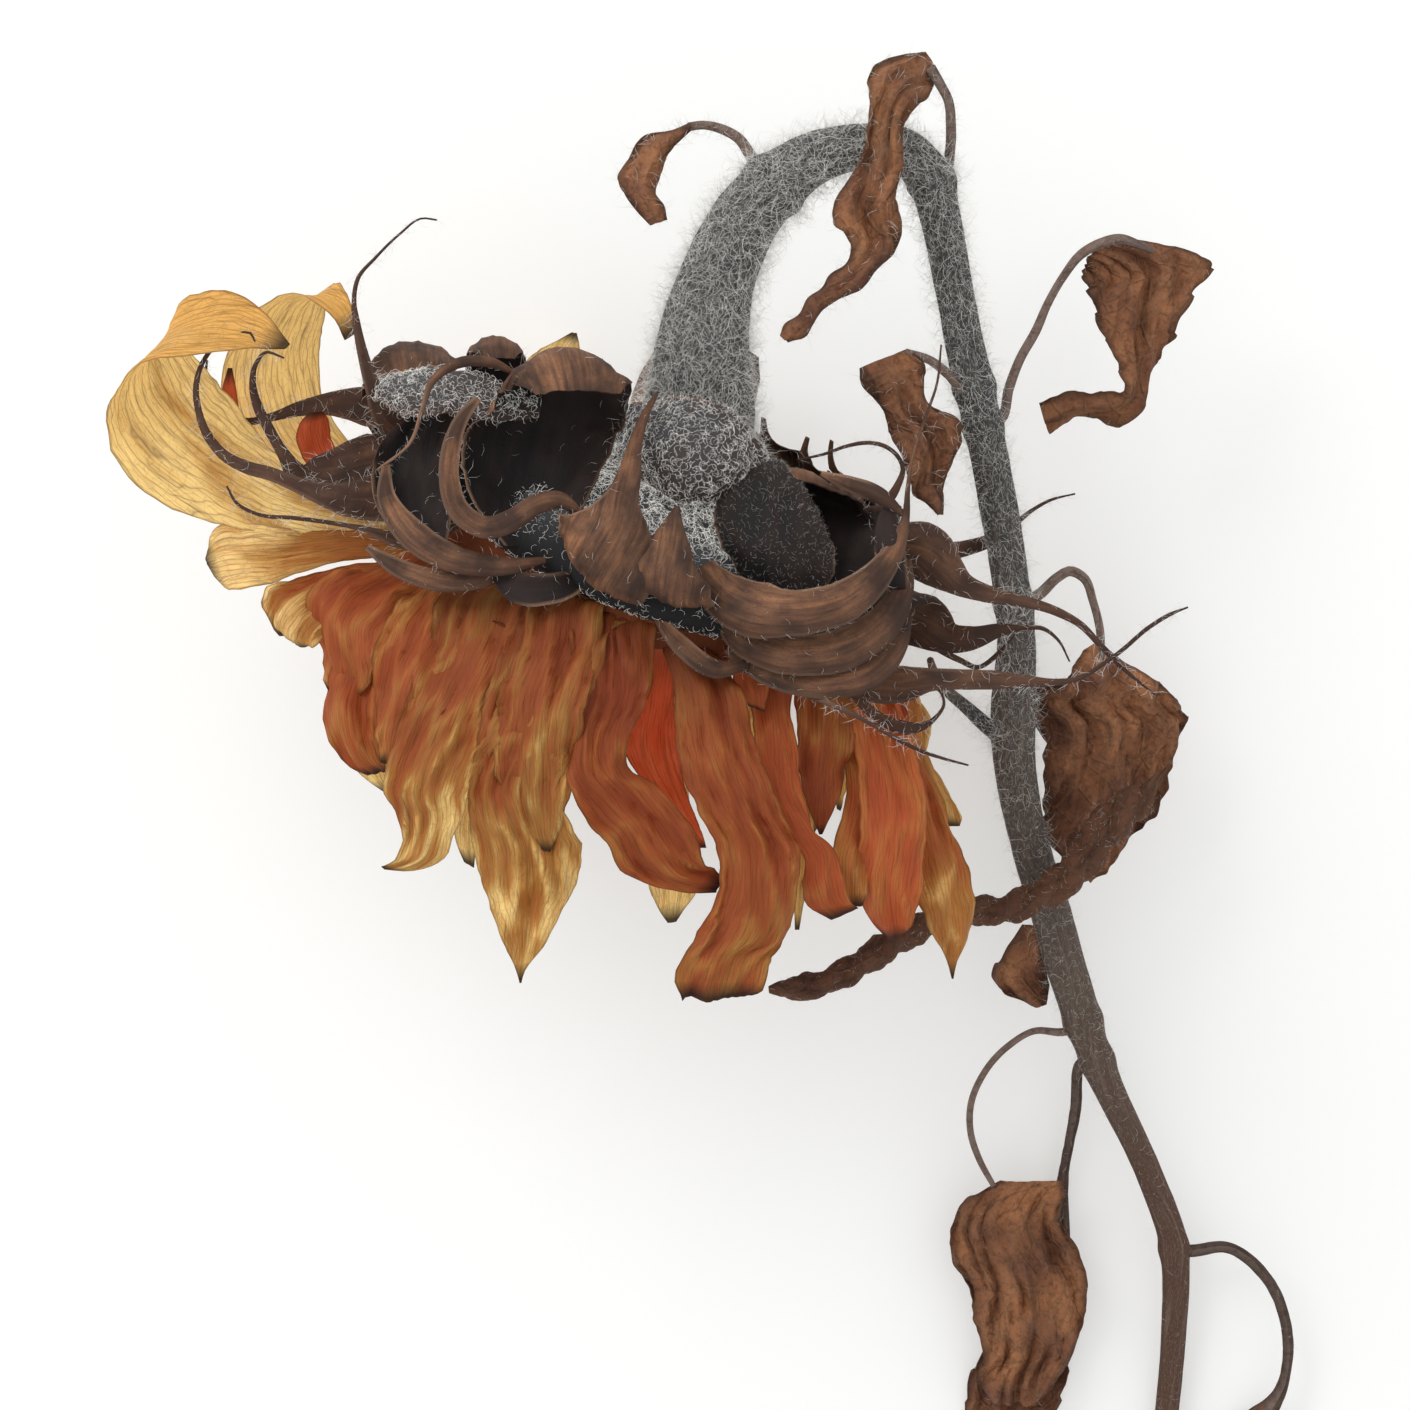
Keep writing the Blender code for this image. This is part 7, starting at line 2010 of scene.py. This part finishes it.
@dataclass
class WitheredLeaves:
    """The withered leaves, each on its own stalk."""

    thickness: float = 0.4
    stalk: float = 1.7
    rows: int = 112
    cells_per_mm: float = 1.8
    low_root_age: float = -1.0
    stalk_rows: int = 60
    stalk_sides: int = 10
    rope_rows: int = 230
    rope_sides: int = 20
    rope_turns: int = 6
    crumpled: Relief = Relief(ruffle=0.6, frill=0.9, frill_size=2.2, folds=2.1, fold_width=3.4,
                              fold_length=22.0, pleats=1.5, pleat_height=0.6, crumple=0.55, crumple_size=4.5,
                              fray=0.05, midrib=0.3, side_veins=0.25)

    def blade(self, sheets: DrySheets, line: np.ndarray, across: np.ndarray, seed: float, teeth: float,
              hairy: bool, root_age: float = 1.0) -> None:
        """Add one crumpled leaf blade.

        Args:
            sheets: The mesh that takes it.
            line: Rows of x, y, z, width and cup.
            across: The across direction of each row.
            seed: What sets this leaf's creases apart.
            teeth: How deep its teeth are, as a share of its half-width.
            hairy: Whether it has a thick coat of hairs.
            root_age: The colour that its line starts with: below 0.2 it is as grey as a stalk.
        """
        relief = replace(self.crumpled, teeth=teeth)
        cells = int(np.clip(line[:, 3].max() * self.cells_per_mm, 18, 36))
        blade = Blade(line, across, cells, self.thickness, relief, seed, (root_age, 0.8, 0.0), self.stalk,
                      DarkFace.NEITHER)
        sheets.add_blade(blade, fur=0.03 if hairy else 0.0, fur_length=1.0 if hairy else 0.6,
                         rim_fur=1.0 if hairy else 0.15)

    def rope(self, sheets: DrySheets) -> None:
        """Add the broad leaf's rolled and twisted tip.

        Args:
            sheets: The mesh that takes it.
        """
        path = smooth(ROLLED_TIP, self.rope_rows)
        share = np.linspace(0, 1, len(path))[:, None]
        turns = np.linspace(0, 2 * np.pi, self.rope_sides, endpoint=False)[None, :]
        lumps = round_places(turns, share, 30)
        swell = 0.78 + 0.42 * np.abs(np.cos(turns + 2 * np.pi * self.rope_turns * share))
        swell = swell + 0.22 * unevenness(lumps, 0.9, 6.0) + 0.08 * unevenness(lumps, 0.3, 2.0)
        swell = swell * np.clip(np.minimum(share / 0.08, (1.02 - share) / 0.06), 0.15, 1)
        sheets.add_tube(path, self.rope_sides, swell, fur=0.25, fur_length=0.5, age=0.35, rim_mm=0.5)

    def build(self, stem_path: np.ndarray) -> list[Piece]:
        """Make every leaf.

        Args:
            stem_path: The stem's line, which the stalks start on.

        Returns:
            The leaves, which carry the values that their coat reads.
        """
        finish = WitheredLeaf().material()
        grown = {}
        for seed, (name, (teeth, hairy, stalk, rows)) in enumerate(LEAVES.items()):
            sheets = grown[name] = DrySheets()
            if stalk:
                axis = stem_path[nearest_row(stem_path, stalk[0])]
                path = smooth([tuple(axis[:3]) + (stalk[0][3],)] + stalk, self.stalk_rows)
                sheets.add_tube(path, self.stalk_sides, fur=0.8 if hairy else 0.3,
                                fur_length=0.8 if hairy else 0.4, age=0.2)
            line, across = edged_line(rows, self.rows)
            self.blade(sheets, line, across, seed, teeth, hairy)
            if name == "leaf_broad":
                self.rope(sheets)
        for seed, (name, rows) in enumerate(LOW_LEAVES.items()):
            axis = stem_path[nearest_row(stem_path, rows[0])]
            line = smooth([tuple(axis[:3]) + (rows[0][3], 0)] + rows, self.rows)
            across = facing_across(line[:, :3], np.zeros(len(line)))
            sheets = grown[name] = DrySheets()
            self.blade(sheets, line, across, seed + 20, 0.08, False, self.low_root_age)
        return [dress(sheets.build(name.replace("leaf", "withered"), finish), "leaf", name)
                for name, sheets in grown.items()]

    def grow_hairs(self, leaves: list[Piece], material: Material) -> None:
        """Grow the hairs of the leaves near the hook.

        Args:
            leaves: The leaves.
            material: The hairs' finish.
        """
        coat = HairCoat(length=3.2, width=0.06, stretches=2, bend=60, lean=60, per_square_mm=2.0, seed=30)
        for leaf in leaves:
            dress(coat.grow(leaf, leaf.name + "_hairs", material), "leaf")


@dataclass
class Studio:
    """The pale floor, the soft light and the camera that looks straight down."""

    eye: tuple[float, float, float] = (-2.0, 14.0, 1280.0)
    scale_level: float = 80.0
    picture: float = 1410.0
    pixels_per_mm: float = 6.0
    sensor: float = 36.0
    sky: str = "FFFFFF"
    sky_strength: float = 0.86
    key_power: float = 4.6
    key_size: float = 0.7
    key_place: tuple[float, float, float] = (-0.55, 0.6, 0.75)
    key_target: tuple[float, float, float] = (0.0, 0.02, 0.05)

    def floor(self) -> None:
        """Lay the floor."""
        bpy.ops.mesh.primitive_plane_add(size=6.0, location=(0.0, 0.0, -0.0002))
        floor = bpy.context.object
        floor.name = "floor"
        floor.data.materials.append(PaleFloor().material())

    def light(self) -> None:
        """Set a bright even sky and one large soft lamp from the upper left."""
        world = bpy.data.worlds.new("studio_sky")
        bpy.context.scene.world = world
        world.use_nodes = True
        background = world.node_tree.nodes["Background"]
        background.inputs["Color"].default_value = linear(self.sky)
        background.inputs["Strength"].default_value = self.sky_strength
        lamp = bpy.data.lights.new("soft_lamp", "AREA")
        lamp.shape = "DISK"
        lamp.size = self.key_size
        lamp.energy = self.key_power
        key = bpy.data.objects.new("soft_lamp", lamp)
        key.location = self.key_place
        key.rotation_euler = (Vector(self.key_target) - key.location).to_track_quat("-Z", "Y").to_euler()
        bpy.context.scene.collection.objects.link(key)

    def camera(self) -> None:
        """Place the camera so that scale_level, a little above the head's middle, has the photo's scale."""
        lens = bpy.data.cameras.new("camera")
        reach = self.eye[2] - self.scale_level
        lens.sensor_width = self.sensor
        lens.lens = self.sensor * reach * self.pixels_per_mm / self.picture
        lens.clip_start = 0.01
        lens.clip_end = 20.0
        camera = bpy.data.objects.new("camera", lens)
        camera.location = Vector(self.eye) * MM
        bpy.context.scene.collection.objects.link(camera)
        bpy.context.scene.camera = camera

    def build(self) -> None:
        """Set up the studio."""
        self.floor()
        self.light()
        self.camera()
        bpy.context.scene.view_settings.view_transform = "Standard"


def write_sizes() -> None:
    """Bring the view layer up to date."""
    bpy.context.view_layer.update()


def main() -> None:
    """Build the plant, its hairs and the studio."""
    logging.basicConfig(level=logging.INFO, format="%(name)s: %(message)s")
    hair = PlantHair().material()
    # The wool's stronger emission is a painted glow that keeps it white.
    curly = PlantHair(name="curly_wool", dull="E2DCD4", glow=0.4).material()
    stem = Stem()
    stalk = stem.build()
    involucre = Involucre()
    bracts = involucre.build()
    RayPetals().build()
    SeedDisc().build()
    leaves = WitheredLeaves()
    grown = leaves.build(stem.path())
    stem.grow_hairs(stalk, hair)
    involucre.grow_hairs(bracts, hair, curly)
    leaves.grow_hairs(grown, hair)
    Studio().build()
    write_sizes()


if __name__ == "__main__":
    main()
